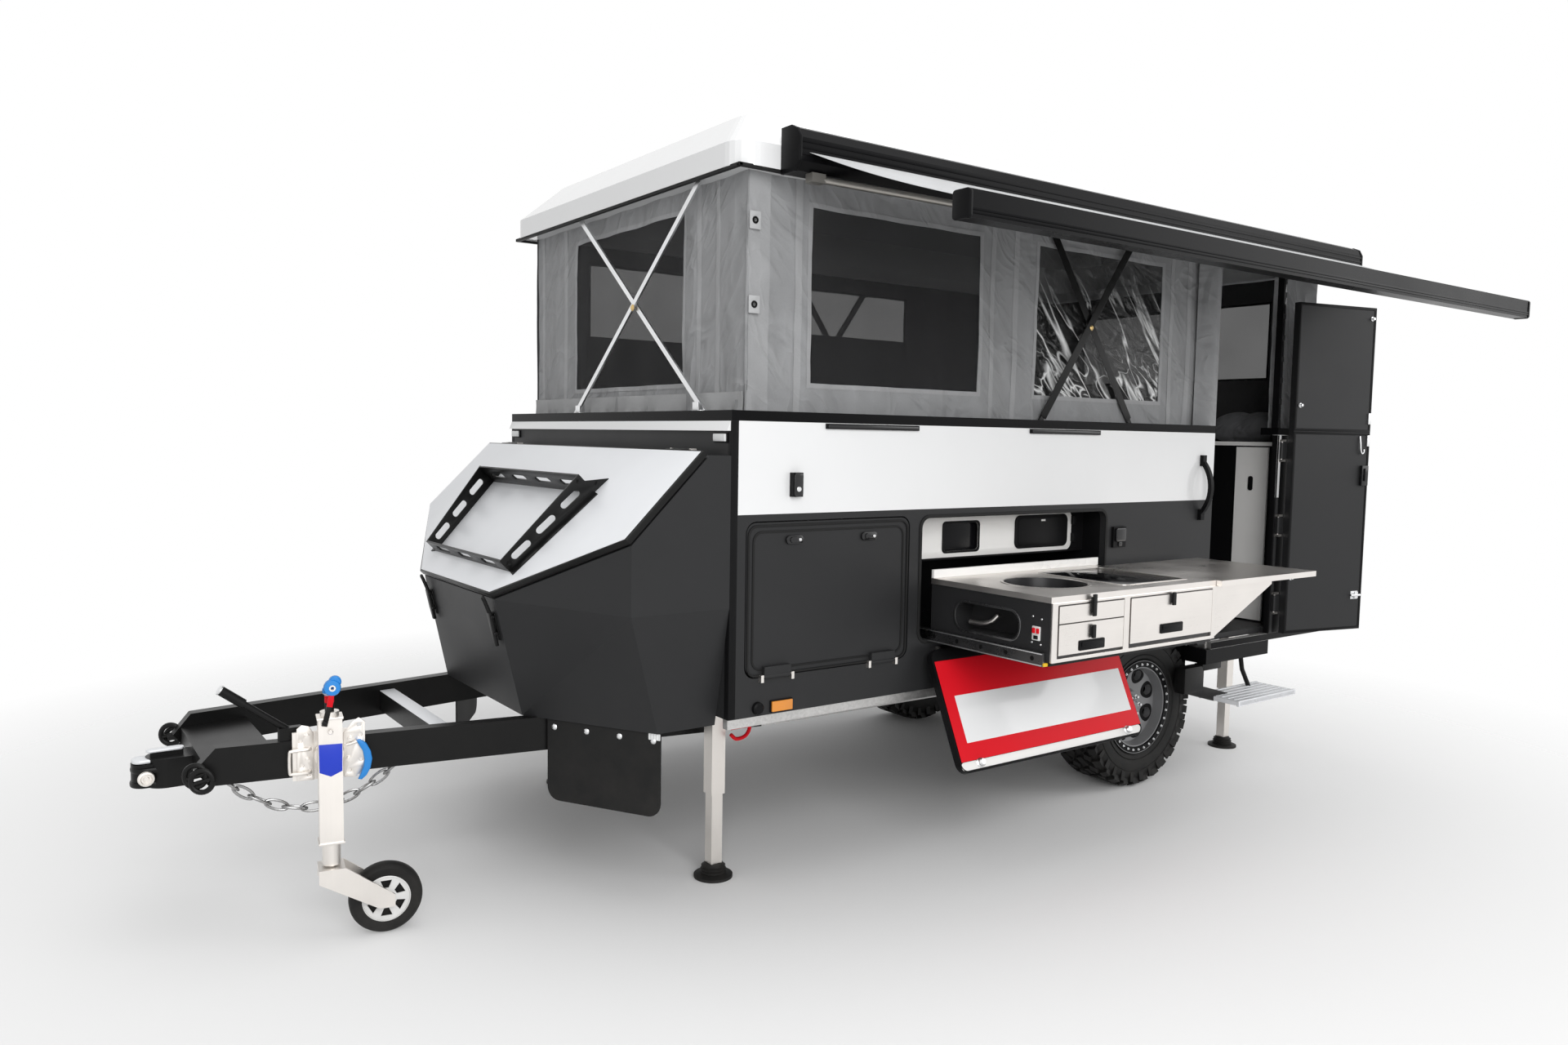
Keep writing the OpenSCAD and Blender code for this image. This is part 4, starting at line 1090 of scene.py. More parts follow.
class Repeats:
    """The geometry node trees of what repeats on the trailer."""

    def __init__(self) -> None:
        """Builds every tree."""
        self.bolt_ring = self._bolt_ring()
        self.bolt_row = self._bolt_row()
        self.tread_row = self._tread_row()
        self.chain = self._chain()

    @staticmethod
    def _head(tree: Repeat) -> Socket:
        """Adds a bolt head with a narrower crown.

        Args:
            tree: The tree that takes the head.

        Returns:
            The head's geometry.
        """
        radius, height = tree.source["Head Radius"], tree.source["Head Height"]
        sizes = {"Vertices": 10, "Radius": radius, "Depth": height}
        skirt = tree.out("GeometryNodeMeshCylinder", sizes)
        crown_sizes = {
            "Vertices": 6, "Radius": tree.mul(radius, 0.68), "Depth": tree.mul(height, 2.2)}
        crown = tree.out("GeometryNodeMeshCylinder", crown_sizes)
        joined = tree.node("GeometryNodeJoinGeometry")
        tree.feed(joined.inputs[0], skirt)
        tree.feed(joined.inputs[0], crown)
        return joined.outputs[0]

    @classmethod
    def _bolt_ring(cls) -> Repeat:
        """Bolt heads round a circle in the XY plane.

        Returns:
            The tree.
        """
        names = {
            "Count": "NodeSocketInt", "Radius": FLOAT, "Head Radius": FLOAT, "Head Height": FLOAT}
        tree = Repeat("bolt_ring", names)
        circle = tree.out("GeometryNodeMeshCircle", {"Vertices": tree.source["Count"],
                                                     "Radius": tree.source["Radius"]})
        spots = tree.node(
            "GeometryNodeInstanceOnPoints", {"Points": circle, "Instance": cls._head(tree)})
        tree.close(spots.outputs[0])
        return tree

    @classmethod
    def _bolt_row(cls) -> Repeat:
        """Bolt heads along a line from a start, a step apart, that point along Z.

        Returns:
            The tree.
        """
        names = {"Count": "NodeSocketInt", "Start": VECTOR, "Step": VECTOR, "Head Radius": FLOAT,
                 "Head Height": FLOAT}
        tree = Repeat("bolt_row", names)
        line = tree.out("GeometryNodeMeshLine", {"Count": tree.source["Count"],
                                                 "Start Location": tree.source["Start"],
                                                 "Offset": tree.source["Step"]})
        spots = tree.node(
            "GeometryNodeInstanceOnPoints", {"Points": line, "Instance": cls._head(tree)})
        tree.close(spots.outputs[0])
        return tree

    @staticmethod
    def _tread_row() -> Repeat:
        """Tread blocks round a tyre's circumference, every other one shorter.

        Returns:
            The tree.
        """
        names = {"Count": "NodeSocketInt", "Radius": FLOAT, "Size": VECTOR, "Height": FLOAT,
                 "Skew": FLOAT, "Lean": FLOAT, "Phase": FLOAT}
        tree = Repeat("tread_row", names)
        line = tree.out("GeometryNodeMeshLine", {"Count": tree.source["Count"]})
        index = tree.out("GeometryNodeInputIndex")
        share = tree.math("DIVIDE", tree.add(index, tree.source["Phase"]), tree.source["Count"])
        angle = tree.mul(share, 2 * math.pi)
        where = {"X": tree.mul(tree.math("COSINE", angle), tree.source["Radius"]),
                 "Y": tree.mul(tree.math("SINE", angle), tree.source["Radius"]),
                 "Z": tree.source["Height"]}
        point = tree.out("ShaderNodeCombineXYZ", where)
        placed = tree.out("GeometryNodeSetPosition", {"Geometry": line, "Position": point})
        cube = tree.out("GeometryNodeMeshCube", {"Size": tree.source["Size"]})
        tilt = tree.out(
            "ShaderNodeCombineXYZ", {"X": tree.source["Skew"], "Y": tree.source["Lean"]})
        leaned = tree.out("GeometryNodeTransform", {"Geometry": cube, "Rotation": tilt})
        odd = tree.math("MODULO", index, 2.0)
        trim = tree.out("ShaderNodeCombineXYZ", {"X": 1.0, "Y": tree.less(1.0, tree.mul(odd, 0.22)),
                                                 "Z": tree.less(1.0, tree.mul(odd, 0.12))})
        turn = tree.out("ShaderNodeCombineXYZ", {"Z": angle})
        spots = tree.node("GeometryNodeInstanceOnPoints", {"Points": placed, "Instance": leaned,
                                                           "Rotation": turn, "Scale": trim})
        tree.close(spots.outputs[0])
        return tree

    @staticmethod
    def _chain() -> Repeat:
        """Long links along a curve, each turned a quarter from the one before.

        Returns:
            The tree.
        """
        names = {"Pitch": FLOAT, "Wire": FLOAT, "Link Width": FLOAT}
        tree = Repeat("chain_links", names)
        points = tree.node(
            "GeometryNodeCurveToPoints", {"Curve": tree.source["Geometry"],
                                          "Length": tree.source["Pitch"]}, mode="LENGTH")
        loop = tree.out("GeometryNodeCurvePrimitiveCircle", {"Resolution": 18, "Radius": 1.0})
        half = tree.mul(tree.source["Link Width"], 0.5)
        long = tree.mul(tree.source["Pitch"], 0.72)
        size = tree.out("ShaderNodeCombineXYZ", {"X": half, "Y": 1.0, "Z": long})
        stood = tree.out(
            "GeometryNodeTransform", {"Geometry": loop, "Rotation": (math.pi / 2, 0.0, 0.0)})
        oval = tree.out("GeometryNodeTransform", {"Geometry": stood, "Scale": size})
        section = tree.node(
            "GeometryNodeCurvePrimitiveCircle", {"Resolution": 8, "Radius": tree.source["Wire"]})
        link = tree.out(
            "GeometryNodeCurveToMesh", {"Curve": oval, "Profile Curve": section.outputs[0]})
        spots = tree.out(
            "GeometryNodeInstanceOnPoints", {"Points": points.outputs["Points"], "Instance": link,
                                             "Rotation": points.outputs["Rotation"]})
        odd = tree.math("MODULO", tree.out("GeometryNodeInputIndex"), 2.0)
        quarter = tree.out("ShaderNodeCombineXYZ", {"Z": tree.mul(odd, math.pi / 2)})
        turned = tree.out("GeometryNodeRotateInstances", {"Instances": spots, "Rotation": quarter})
        tree.close(turned)
        return tree


REPEATS = Repeats()


def joint_place(name: str) -> Vector:
    """Where a joint's axis stands."""
    return next(Vector(joint["pos_m"]) for joint in frame["joints"] if joint["name"] == name)


def swung(joint: str, axis: Vector, degrees: float) -> Matrix:
    """Takes a closed panel's coordinates to the open place that it rests at.

    Args:
        joint: The panel's joint.
        axis: The hinge's direction.
        degrees: How far the panel stands open.

    Returns:
        The matrix from closed to open.
    """
    pivot = joint_place(joint)
    turn = Matrix.Rotation(math.radians(degrees), 4, axis)
    return Matrix.Translation(pivot) @ turn @ Matrix.Translation(-pivot)


def smooth_line(points: Sequence[Vector], steps: int = 8) -> list[Vector]:
    """Runs a smooth line through points.

    Args:
        points: The points, two at least.
        steps: Pieces between two points.

    Returns:
        The line's points.
    """
    ends = [points[0] * 2 - points[1], *points, points[-1] * 2 - points[-2]]
    line: list[Vector] = []
    for a, b, c, d in zip(ends, ends[1:], ends[2:], ends[3:]):
        for step in range(steps):
            t = step / steps
            line.append(0.5 * (2 * b + (c - a) * t + (2 * a - 5 * b + 4 * c - d) * t * t
                               + (3 * b - a - 3 * c + d) * t ** 3))
    return [*line, points[-1].copy()]


def path_curve(points: Sequence[Vector]) -> bpy.types.Curve:
    """Makes a curve's data from a line of points.

    Args:
        points: The line's points.

    Returns:
        The curve.
    """
    curve = bpy.data.curves.new("path", "CURVE")
    curve.dimensions = "3D"
    spline = curve.splines.new("POLY")
    spline.points.add(len(points) - 1)
    for spot, point in zip(spline.points, points):
        spot.co = (*point, 1.0)
    return curve


def dress(finish: Finish, *nodes: str) -> None:
    """Gives carried-over solids their finish.

    Args:
        finish: The finish.
        nodes: The solids' names.
    """
    for name in nodes:
        for slot in bpy.data.objects[name].material_slots:
            slot.material = finish.material()


@dataclass
class RoadWheel:
    """A mud tyre with its lugs, and the rim's bolts, nuts and cap."""

    side: Side
    bead: float = 0.225
    lug: float = 0.015
    blocks: int = 30
    bolts: int = 32
    windows: int = 8
    window: float = 0.0264

    def build(self) -> None:
        """Builds the tyre and dresses the rim."""
        low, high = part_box(f"tyre_{self.side.word}")
        rim_low, rim_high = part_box(f"rim_{self.side.word}")
        centre = (low + high) / 2
        place = plane(centre, -X * self.side.value, Z)
        self._tyre(place, (high.z - low.z) / 2, (high.y - low.y) / 2)
        face = max(rim_high.y - centre.y, centre.y - rim_low.y)
        self._fasteners(place, face)
        dress(RIM, f"rim_{self.side.word}")

    def _tyre(self, place: Matrix, radius: float, half: float) -> None:
        """Builds the carcass and its rows of tread blocks.

        Args:
            place: The wheel's plane, facing out.
            radius: The tyre's radius over the lugs.
            half: Half of the tyre's width.
        """
        form = Form()
        top = radius - self.lug
        wall = [(self.bead, 0.80), (self.bead + 0.016, 0.86), (self.bead + 0.020, 0.90),
                (self.bead + 0.042, 0.93), (0.70 * radius, 0.955), (0.78 * radius, 0.965),
                (0.86 * radius, 0.95), (0.92 * radius, 0.89), (top - 0.005, 0.80), (top, 0.70)]
        profile = [(r, half * s) for r, s in wall] + [(top + 0.001, 0.0)] + [
            (r, -half * s) for r, s in reversed(wall)]
        form.lathe(profile, place, 96, closed=True)
        for s in (1, -1):
            rows = ((0.026, 0.056, 0.046, radius - 0.0135, 0.21, 0.42 * s, 0.0, 0.25 * s),
                    (0.026, 0.046, 0.044, radius - 0.0135, 0.56, -0.30 * s, 0.0, 0.5 + 0.25 * s),
                    (0.044, 0.046, 0.040, radius - 0.0290, 0.80, 0.0, -0.42 * s, 0.25 * s),
                    (0.046, 0.030, 0.010, 0.875 * radius, 0.955, 0.0, -0.16 * s, 0.5 + 0.25 * s))
            for deep, long, wide, at, share, skew, lean, phase in rows:
                mesh = REPEATS.tread_row.run(
                    TYRE, Count=self.blocks, Radius=at, Size=(deep, long, wide),
                    Height=s * share * half, Skew=skew, Lean=lean, Phase=phase)
                form.take(mesh, place)
        for at, share in ((0.66, 0.952), (0.80, 0.975)):
            profile = [
                (at * radius - 0.003, share * half - 0.004), (at * radius, share * half + 0.001),
                (at * radius + 0.003, share * half - 0.004)]
            form.lathe(profile, place, 96)
        form.piece(f"mud_tyre_{self.side.word}", TYRE, f"wheel_{self.side.word}",
                   (f"tyre_{self.side.word}",), 28)

    def _fasteners(self, place: Matrix, face: float) -> None:
        """Adds the bead ring's bolts, the wheel nuts and the centre cap.

        Args:
            place: The wheel's plane, facing out.
            face: How far out the rim's face stands.
        """
        form = Form()
        ring_mesh = REPEATS.bolt_ring.run(ALUMINIUM, Count=self.bolts, Radius=self.bead - 0.010,
                                          Head_Radius=0.0062, Head_Height=0.008)
        form.take(ring_mesh, place @ shift(0, 0, face - 0.001))
        nuts = REPEATS.bolt_ring.run(
            ALUMINIUM, Count=6, Radius=0.048, Head_Radius=0.0105, Head_Height=0.024)
        form.take(nuts, place @ shift(0, 0, 0.066))
        form.piece(f"wheel_bolts_{self.side.word}", ALUMINIUM, f"wheel_{self.side.word}")
        Form().lathe(mm((0, 98), (18, 96), (26, 88), (29, 74), (31, 60), (0, 60)), place, 40).piece(
            f"wheel_cap_{self.side.word}", RIM, f"wheel_{self.side.word}")
        # The bead ring and the ring behind the windows are black; the plates round the windows are
        # painted shade.
        dark = Form()
        lip = [(self.bead - 0.026, face - 0.008), (self.bead - 0.022, face + 0.001),
               (self.bead + 0.004, face + 0.002), (self.bead + 0.007, face - 0.003)]
        dark.lathe(lip, place, 96)
        dark.lathe(mm((86, 4), (86, 9), (196, 9), (196, 4)), place, 64, closed=True)
        self._windows(dark, place)
        dark.piece(f"wheel_recesses_{self.side.word}", BLACK_PLASTIC, f"wheel_{self.side.word}")

    def _windows(self, form: Form, place: Matrix) -> None:
        """Blackens the dished face round each of the rim's windows: painted shade that makes the
        windows look deeper and larger.

        Args:
            form: The form that takes the recesses.
            place: The wheel's plane, facing out.
        """
        pitch, rise, lean = self.bead - 0.072, 0.0557, math.atan2(0.022, 0.105)
        steps = [2 * math.pi * k / 28 for k in range(28)]
        outline = [(0.046 * math.cos(t) * (1 + 0.24 * math.sin(t)), 0.038 * math.sin(t) - 0.006)
                   for t in steps]
        for k in range(self.windows):
            turn = 2 * math.pi * (k + 0.5) / self.windows
            out = Vector((math.cos(turn), math.sin(turn), 0.0))
            across = Vector((out.y, -out.x, 0.0))
            spot = plane(out * pitch + Z * rise, across, out * math.cos(lean) + Z * math.sin(lean))
            form.plate(outline, place @ spot, 0.001, 0.0002, (ring(self.window, 28),))


@dataclass
class JockeyStand:
    """The jockey wheel with its leg, clamp plate, lever and handle."""

    wheel_half: float = 0.032
    hub: float = 0.080
    tube_out: float = 0.0331
    clamp_out: float = 0.0878
    windows: int = 6

    def build(self) -> None:
        """Builds the wheel, then dresses the leg."""
        axis = next(Vector(j["axis"]) for j in frame["joints"] if j["name"] == "jockey_wheel_spin")
        self.along = Vector((axis.y, -axis.x, 0)).normalized()
        self.across = Vector((axis.x, axis.y, 0)).normalized()
        self._wheel()
        self._leg()
        self._clamp()
        dress(PLATED, "jockey_leg", "jockey_fork", "jockey_clamp")

    def _wheel(self) -> None:
        """Builds the solid tyre and the moulded hub with its windows."""
        low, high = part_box("jockey_wheel")
        radius = (high.z - low.z) / 2
        place = plane(joint_place("jockey_wheel_spin"), self.along, Z)
        half = self.wheel_half
        tyre = Form()
        tyre.lathe([(self.hub - 0.004, half * 0.8), (self.hub + 0.012, half * 0.94),
                    (radius - 0.014, half * 0.98), (radius - 0.004, half * 0.72),
                    (radius, half * 0.35), (radius, -half * 0.35), (radius - 0.004, -half * 0.72),
                    (radius - 0.014, -half * 0.98), (self.hub + 0.012, -half * 0.94),
                    (self.hub - 0.004, -half * 0.8)], place, 64, closed=True)
        tyre.lathe([(0.014, 0.008), (self.hub, 0.008), (self.hub, -0.008), (0.014, -0.008)], place,
                   48, closed=True)
        tyre.piece("jockey_tyre", RUBBER, "jockey_wheel", ("jockey_wheel",))
        hub = Form()
        holes: list[Loop] = []
        for i in range(self.windows):
            turn = 2 * math.pi * (i + 0.5) / self.windows
            corners = ((0.036, -0.22), (0.064, -0.30), (0.064, 0.30), (0.036, 0.22))
            holes.append([(r * math.cos(turn + a), r * math.sin(turn + a)) for r, a in corners])
        for side in (0.016, -0.022):
            hub.plate(ring(self.hub, 48), place @ shift(0, 0, side), 0.006, 0.0015, holes)
        hub.lathe(mm((11, -31), (22, -30), (26, -18), (26, 18), (22, 30), (11, 31)), place, 32,
                  closed=True)
        for edge in (0.022, -0.028):
            hub.lathe([(self.hub - 0.006, edge - 0.006), (self.hub - 0.004, edge + 0.006),
                       (self.hub, edge + 0.004), (self.hub, edge - 0.006)], place, 64, closed=True)
        hub.piece("jockey_hub", HUB_WHITE, "jockey_wheel", ("jockey_wheel",))

    def _leg(self) -> None:
        """Adds the handle's arm, band and eye, the label shield and the tube's lower flange."""
        spot = joint_place("jockey_swing")
        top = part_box("jockey_leg")[1].z - spot.z
        face = plane(spot - self.across * self.tube_out, self.along, Z)
        arm = Form()
        arm.plate(mm((-27, 122), (-10, 118), (6, 186), (-10, 190)), face, 0.010, 0.002)
        arm.lathe(mm((0, 16), (7, 15), (9, 10)), face @ shift(-0.018, 0.131, 0), 20)
        arm.rod(spot + Z * (top - 0.085), spot + Z * (top - 0.055), 0.0146)
        arm.piece("jockey_arm", BLACK_STEEL, "jockey_leg")
        band = Form()
        band.plate(mm((-11, 186), (7, 182), (13, 222), (-4, 225)), face, 0.012, 0.002)
        band.rod(spot + Z * (top - 0.055), spot + Z * (top - 0.030), 0.0150)
        band.piece("jockey_band", RED, "jockey_leg")
        eye = Form()
        hub = face @ shift(0.007, 0.247, -0.014)
        eye.lathe(mm((8, 0), (22, 0), (26, 4), (27, 24), (24, 30), (11, 31), (8, 28)), hub, 40,
                  closed=True)
        eye.lathe(mm((0, -2), (17, 0), (20, 5), (20, 18), (16, 24), (0, 25)),
                  hub @ shift(0.009, 0.018, 0), 32)
        eye.lathe([(0.0135, top - 0.030), (0.0165, top - 0.028), (0.0215, top - 0.020),
                   (0.0215, top - 0.008), (0.014, top + 0.001), (0, top + 0.002)],
                  plane(spot, self.along, self.across), 28)
        eye.piece("jockey_eye", SKY_BLUE, "jockey_leg")
        ferrule = Form()
        ferrule.lathe(mm((4, 30), (6, 33), (10, 33), (11.5, 30)), hub, 28, closed=True)
        ferrule.lathe(mm((0, 12), (6, 12), (8, 10)), face @ shift(0.0, 0.100, 0.0), 20)
        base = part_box("jockey_leg")[0].z - spot.z + 0.078
        for v in (base - 0.004, 0.138):
            ferrule.block((-0.041, v, -0.074), (0.041, v + 0.008, 0.004), 0.002, face)
        ferrule.piece("jockey_collars", PLATED, "jockey_leg")
        shield = Form()
        outline = mm((-35, -36), (0, -52), (35, -36), (36.2, 56), (-36.2, 58))
        shield.plate(outline, face, 0.0016, 0.0004)
        shield.piece("jockey_shield", BLUE, "jockey_leg")

    def _clamp(self) -> None:
        """Adds the clamp's drilled plates, loop handle, bolts and curved release lever."""
        spot = joint_place("jockey_swing")
        out = plane(spot + self.across * self.clamp_out, self.along, Z)
        plates = Form()
        left = mm((-100, -90), (-46, -90), (-46, 70), (-60, 94), (-82, 100), (-98, 88))
        right = mm((48, -92), (86, -96), (116, -62), (118, 94), (98, 110), (78, 98), (48, 60))
        for outline, spots in (
                (left, ((-0.087, 0.047), (-0.083, -0.038), (-0.062, -0.070))),
                (right, ((0.102, 0.050), (0.098, 0.086), (0.104, -0.036), (0.066, -0.070)))):
            plates.plate(outline, out, 0.006, 0.001, [ring(0.007, 16, at) for at in spots])
        plates.piece("clamp_plates", PLATED)
        loop = Form()
        path = mm((-56, 18, 6), (-66, 18, 14), (-112, 17, 16), (-121, 8, 16), (-121, -52, 16),
                  (-112, -62, 16), (-66, -62, 14), (-56, -62, 6))
        loop.wire(path, out, 0.0058)
        loop.piece("clamp_loop", PLATED)
        lever = Form()
        crescent = mm(
            (92, -101), (104, -104), (120, -90), (133, -66), (139, -34), (134, -6), (120, 22),
            (100, 38), (88, 34), (96, 18), (108, -4), (113, -34), (110, -58), (102, -80))
        lever.plate(crescent, out @ shift(0, 0, 0.008), 0.016, 0.005)
        lever.piece("clamp_lever", SKY_BLUE)
        bolts = Form()
        for u, v in ((-0.066, 0.060), (0.070, 0.040), (-0.066, -0.020), (0.064, -0.030)):
            bolts.bolts(PLATED, out, (u, v, 0.009), 0.009, 0.006)
        arm = [Vector((0.055, 0.020, 0.012)), Vector((0.092, 0.030, 0.014))]
        bolts.tube([out @ v for v in arm], 0.005)
        bolts.piece("clamp_bolts", PLATED)


@dataclass
class Drawbar:
    """The hitch with its shackles, brake lever and safety chains."""

    start: float = 0.06
    spread: float = 0.26
    slope: float = 0.17043
    link: float = 0.054
    link_width: float = 0.030
    wire: float = 0.0048
    steps: int = 40
    lever: float = 0.34
    cross: tuple[float, float] = (0.820, 0.880)
    cross_lap: float = 0.028

    def side_y(self, x: float) -> float:
        """Half the distance between the drawbar's rails at a place along them."""
        return self.spread + (x - self.start) * self.slope

    def build(self) -> None:
        """Builds the chains and dresses the hitch."""
        self.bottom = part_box("drawbar")[0].z
        self.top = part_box("drawbar")[1].z
        self._chains()
        self._hitch()
        dress(FRAME_BLACK, "drawbar", "coupling", "brake_lever")

    def _chains(self) -> None:
        """Hangs a chain of links under each rail."""
        form = Form()
        for side in Side:
            line: list[Vector] = []
            for step in range(self.steps + 1):
                t = step / self.steps
                x = 0.150 + 0.510 * t
                y = self.side_y(x) - 0.076 * t * (1 - t)
                line.append(Vector((x, side.value * y, self.bottom - 0.004 - 0.472 * t * (1 - t))))
            mesh = REPEATS.chain.run(CHAIN_ZINC, path_curve(line), Pitch=self.link, Wire=self.wire,
                                     Link_Width=self.link_width)
            form.take(mesh)
        form.piece("safety_chain_links", CHAIN_ZINC, "trailer", ("safety_chains",))

    def _hitch(self) -> None:
        """Adds the hitch's pale top plates as painted highlight, side discs, shackles, lever cap and
        the crosspiece's pale top.
        """
        discs = Form()
        for side in Side:
            place = plane((-0.066, side.value * 0.060, 0.040), -X * side.value, Z)
            discs.lathe(mm((0, 4), (7, 4), (10, 1), (15, 1), (18, 5), (24, 4), (26, -4)), place, 36)
        discs.piece("hitch_discs", PLATED)
        # Pale plates on the black hitch top: painted highlight standing in for its shine.
        cover = Form()
        flat = plane((0, 0, 0.085), X, Y)
        cover.plate(rounded(-0.104, -0.036, -0.004, 0.036, 0.030), flat, 0.014, 0.006)
        cover.plate(
            rounded(-0.060, -0.018, 0.056, 0.018, 0.016), flat @ shift(0, 0, 0.030), 0.010, 0.004)
        cover.piece("hitch_cover", LID_SILVER)
        skirt = Form()
        skirt.plate(
            rounded(-0.108, -0.052, 0.070, 0.052, 0.050), plane((0, 0, 0.052), X, Y), 0.022, 0.008)
        skirt.plate(rounded(-0.110, -0.050, 0.060, 0.050, 0.046), plane((0, 0, 0.004), X, Y), 0.020,
                    0.006, (ring(0.031),))
        for side in Side:
            y = side.value * (self.side_y(0.06) + 0.040)
            for k, (x, z) in enumerate(((0.050, 0.094), (0.066, 0.078))):
                tilt = plane((x, y + 0.014 * k * side.value, z), Vector((0.92, -0.39, 0.0)), Z)
                turns = [2 * math.pi * i / 28 for i in range(29)]
                skirt.tube([tilt @ Vector((0.033 * math.cos(a), 0.036 * math.sin(a), 0.0))
                            for a in turns], 0.009, 10)
                skirt.rod(
                    tilt @ Vector((-0.032, -0.010, 0.0)), tilt @ Vector((0.036, 0.010, 0.0)), 0.007)
            skirt.rod((0.040, y - side.value * 0.020, 0.090),
                      (0.110, y - side.value * 0.050, 0.090), 0.012)
        skirt.piece("hitch_skirt", BLACK_STEEL)
        cap = Form()
        y = -self.side_y(self.lever)
        tip = Vector((0.126, y + 0.011, self.top + 0.1936))
        run = (tip - Vector((0.196, y + 0.0074, self.top + 0.139))).normalized()
        cap.rod(tip - run * 0.006, tip + run * 0.004, 0.0172, 24, 0.003)
        cap.piece("lever_cap", ALUMINIUM)
        pale = Form()
        a, b = (self.side_y(x) - self.cross_lap for x in self.cross)
        corners = [(0.8195, -a), (0.8805, -b), (0.8805, b), (0.8195, a)]
        pale.plate(corners, plane((0, 0, self.bottom + 0.1003), X, Y), 0.0016, 0.0005)
        pale.piece("crosspiece_top", LID_SILVER)


@dataclass
class NoseBox:
    """The front locker's lid with its sheet, edge and rack, and the locker's latches."""

    setback: float = 0.09
    drop: float = 0.16
    length: float = 0.63
    nose_half: float = 0.395
    lift: float = 0.005
    thick: float = 0.026
    rack_low: float = 0.41
    rack_high: float = 0.50
    plate: float = 0.008

    def build(self) -> None:
        """Builds the lid and the locker's fittings."""
        root = 0.5 ** 0.5
        self.u, self.n = Vector((root, 0, root)), Vector((-root, 0, root))
        origin = Vector((LAYOUT.front - self.setback, 0, LAYOUT.deck - self.drop))
        self.place = plane(origin, self.u, Y)
        self.slope = (self.length - self.setback) * 2 ** 0.5
        self._lid()
        self._rack()
        self._fittings()
        dress(BODY_GREY, "nose_box", "wall_front")

    def _outline(self, inset: float) -> Loop:
        """The lid's outline, drawn in by a border.

        Args:
            inset: Width of the border.

        Returns:
            The outline in the lid's plane.
        """
        wide, point, bend = LAYOUT.half - inset, self.nose_half - 0.6 * inset, 0.300 * 2 ** 0.5
        low = self.slope - inset
        return [(-0.004 - inset, -wide), (-0.004 - inset, wide), (-bend, wide), (-low, point),
                (-low, -point), (-bend, -wide)]

    def _lid(self) -> None:
        """Builds the lid's dark core with its folded edge, and the sheet on it."""
        core = Form()
        core.plate(self._outline(0.0), self.place @ shift(0, 0, self.lift), self.thick, 0.004)
        for side in Side:
            base = LAYOUT.deck - self.drop
            low_y, high_y = side.span(0.850, 0.730)
            core.rod((LAYOUT.front - 0.074, low_y, base + 0.014),
                     (LAYOUT.front - 0.074, high_y, base + 0.014), 0.009)
            core.block((LAYOUT.front - 0.112, low_y, base + 0.007),
                       (LAYOUT.front - 0.074, high_y, base + 0.020))
        core.piece("lid_core", BLACK_STEEL, "nose_lid", ("nose_lid",))
        Form().plate(self._outline(0.008), self.place @ shift(0, 0, self.lift + self.thick), 0.0016,
                     0.0005).piece("lid_sheet", LID_SILVER, "nose_lid", ("nose_lid",))

    @staticmethod
    def _slots(middles: Sequence[tuple[float, float]], length: float) -> list[Loop]:
        """Round-ended slots in a rack plate.

        Args:
            middles: The slots' middles in the plate's plane.
            length: Length of each slot over its ends.

        Returns:
            The slots' outlines.
        """
        return [rounded(u - length / 2, v - 0.0138, u + length / 2, v + 0.0138, 0.0136)
                for u, v in middles]

    def _rack(self) -> None:
        """Builds the rack of slotted plates that stands on the lid, wider at its upper end."""
        rise = self.lift + self.thick
        high = self.length - self.setback
        start, end = -1.213 * high, -0.444 * high
        form, bolts = Form(), Form()
        for side in Side:
            run = self.u * (end - start) + Y * side.value * (self.rack_high - self.rack_low)
            long = run.length
            inner = self.plate if side is Side.RIGHT else 0.0
            foot = self.place @ Vector((start, side.value * (self.rack_low + inner), rise))
            place = plane(foot, run.normalized(), self.n)
            outline = [(0.0, 0.0), (long + 0.075, 0.0), (long, 0.060), (long, 0.095), (0.0, 0.060)]
            middles = [(f * long, 0.032 + 0.018 * f) for f in (0.2, 0.5, 0.8)]
            form.plate(outline, place, self.plate, 0.001, self._slots(middles, 0.088))
            near, far = (0.004, 0.046) if side is Side.LEFT else (-0.038, 0.004)
            form.block((0.0, 0.0, near), (long, 0.006, far), 0.001, place)
            face = place @ shift(0, 0, self.plate if side is Side.LEFT else 0.0)
            for u, v in ((long + 0.028, 0.020), (0.018, 0.030), (long - 0.016, 0.076)):
                bolts.bolts(ALUMINIUM, face, (u, v, 0.0), 0.008, 0.007)
        for u, half, tall, row, count in ((start, self.rack_low, 0.060, 0.032, 3),
                                          (end - self.plate, self.rack_high, 0.095, 0.050, 4)):
            reach = half + 0.006
            place = plane(self.place @ Vector((u, 0, rise)), Y, self.n)
            gap = 0.62 if count == 3 else 0.48
            middles = [((i - (count - 1) / 2) * gap * half, row) for i in range(count)]
            form.plate([(-reach, 0), (reach, 0), (reach, tall), (-reach, tall)], place, self.plate,
                       0.001, self._slots(middles, 0.138))
        form.piece("lid_rack", BLACK_STEEL, "nose_lid", ("nose_lid",))
        bolts.piece("rack_bolts", BLACK_STEEL, "nose_lid")

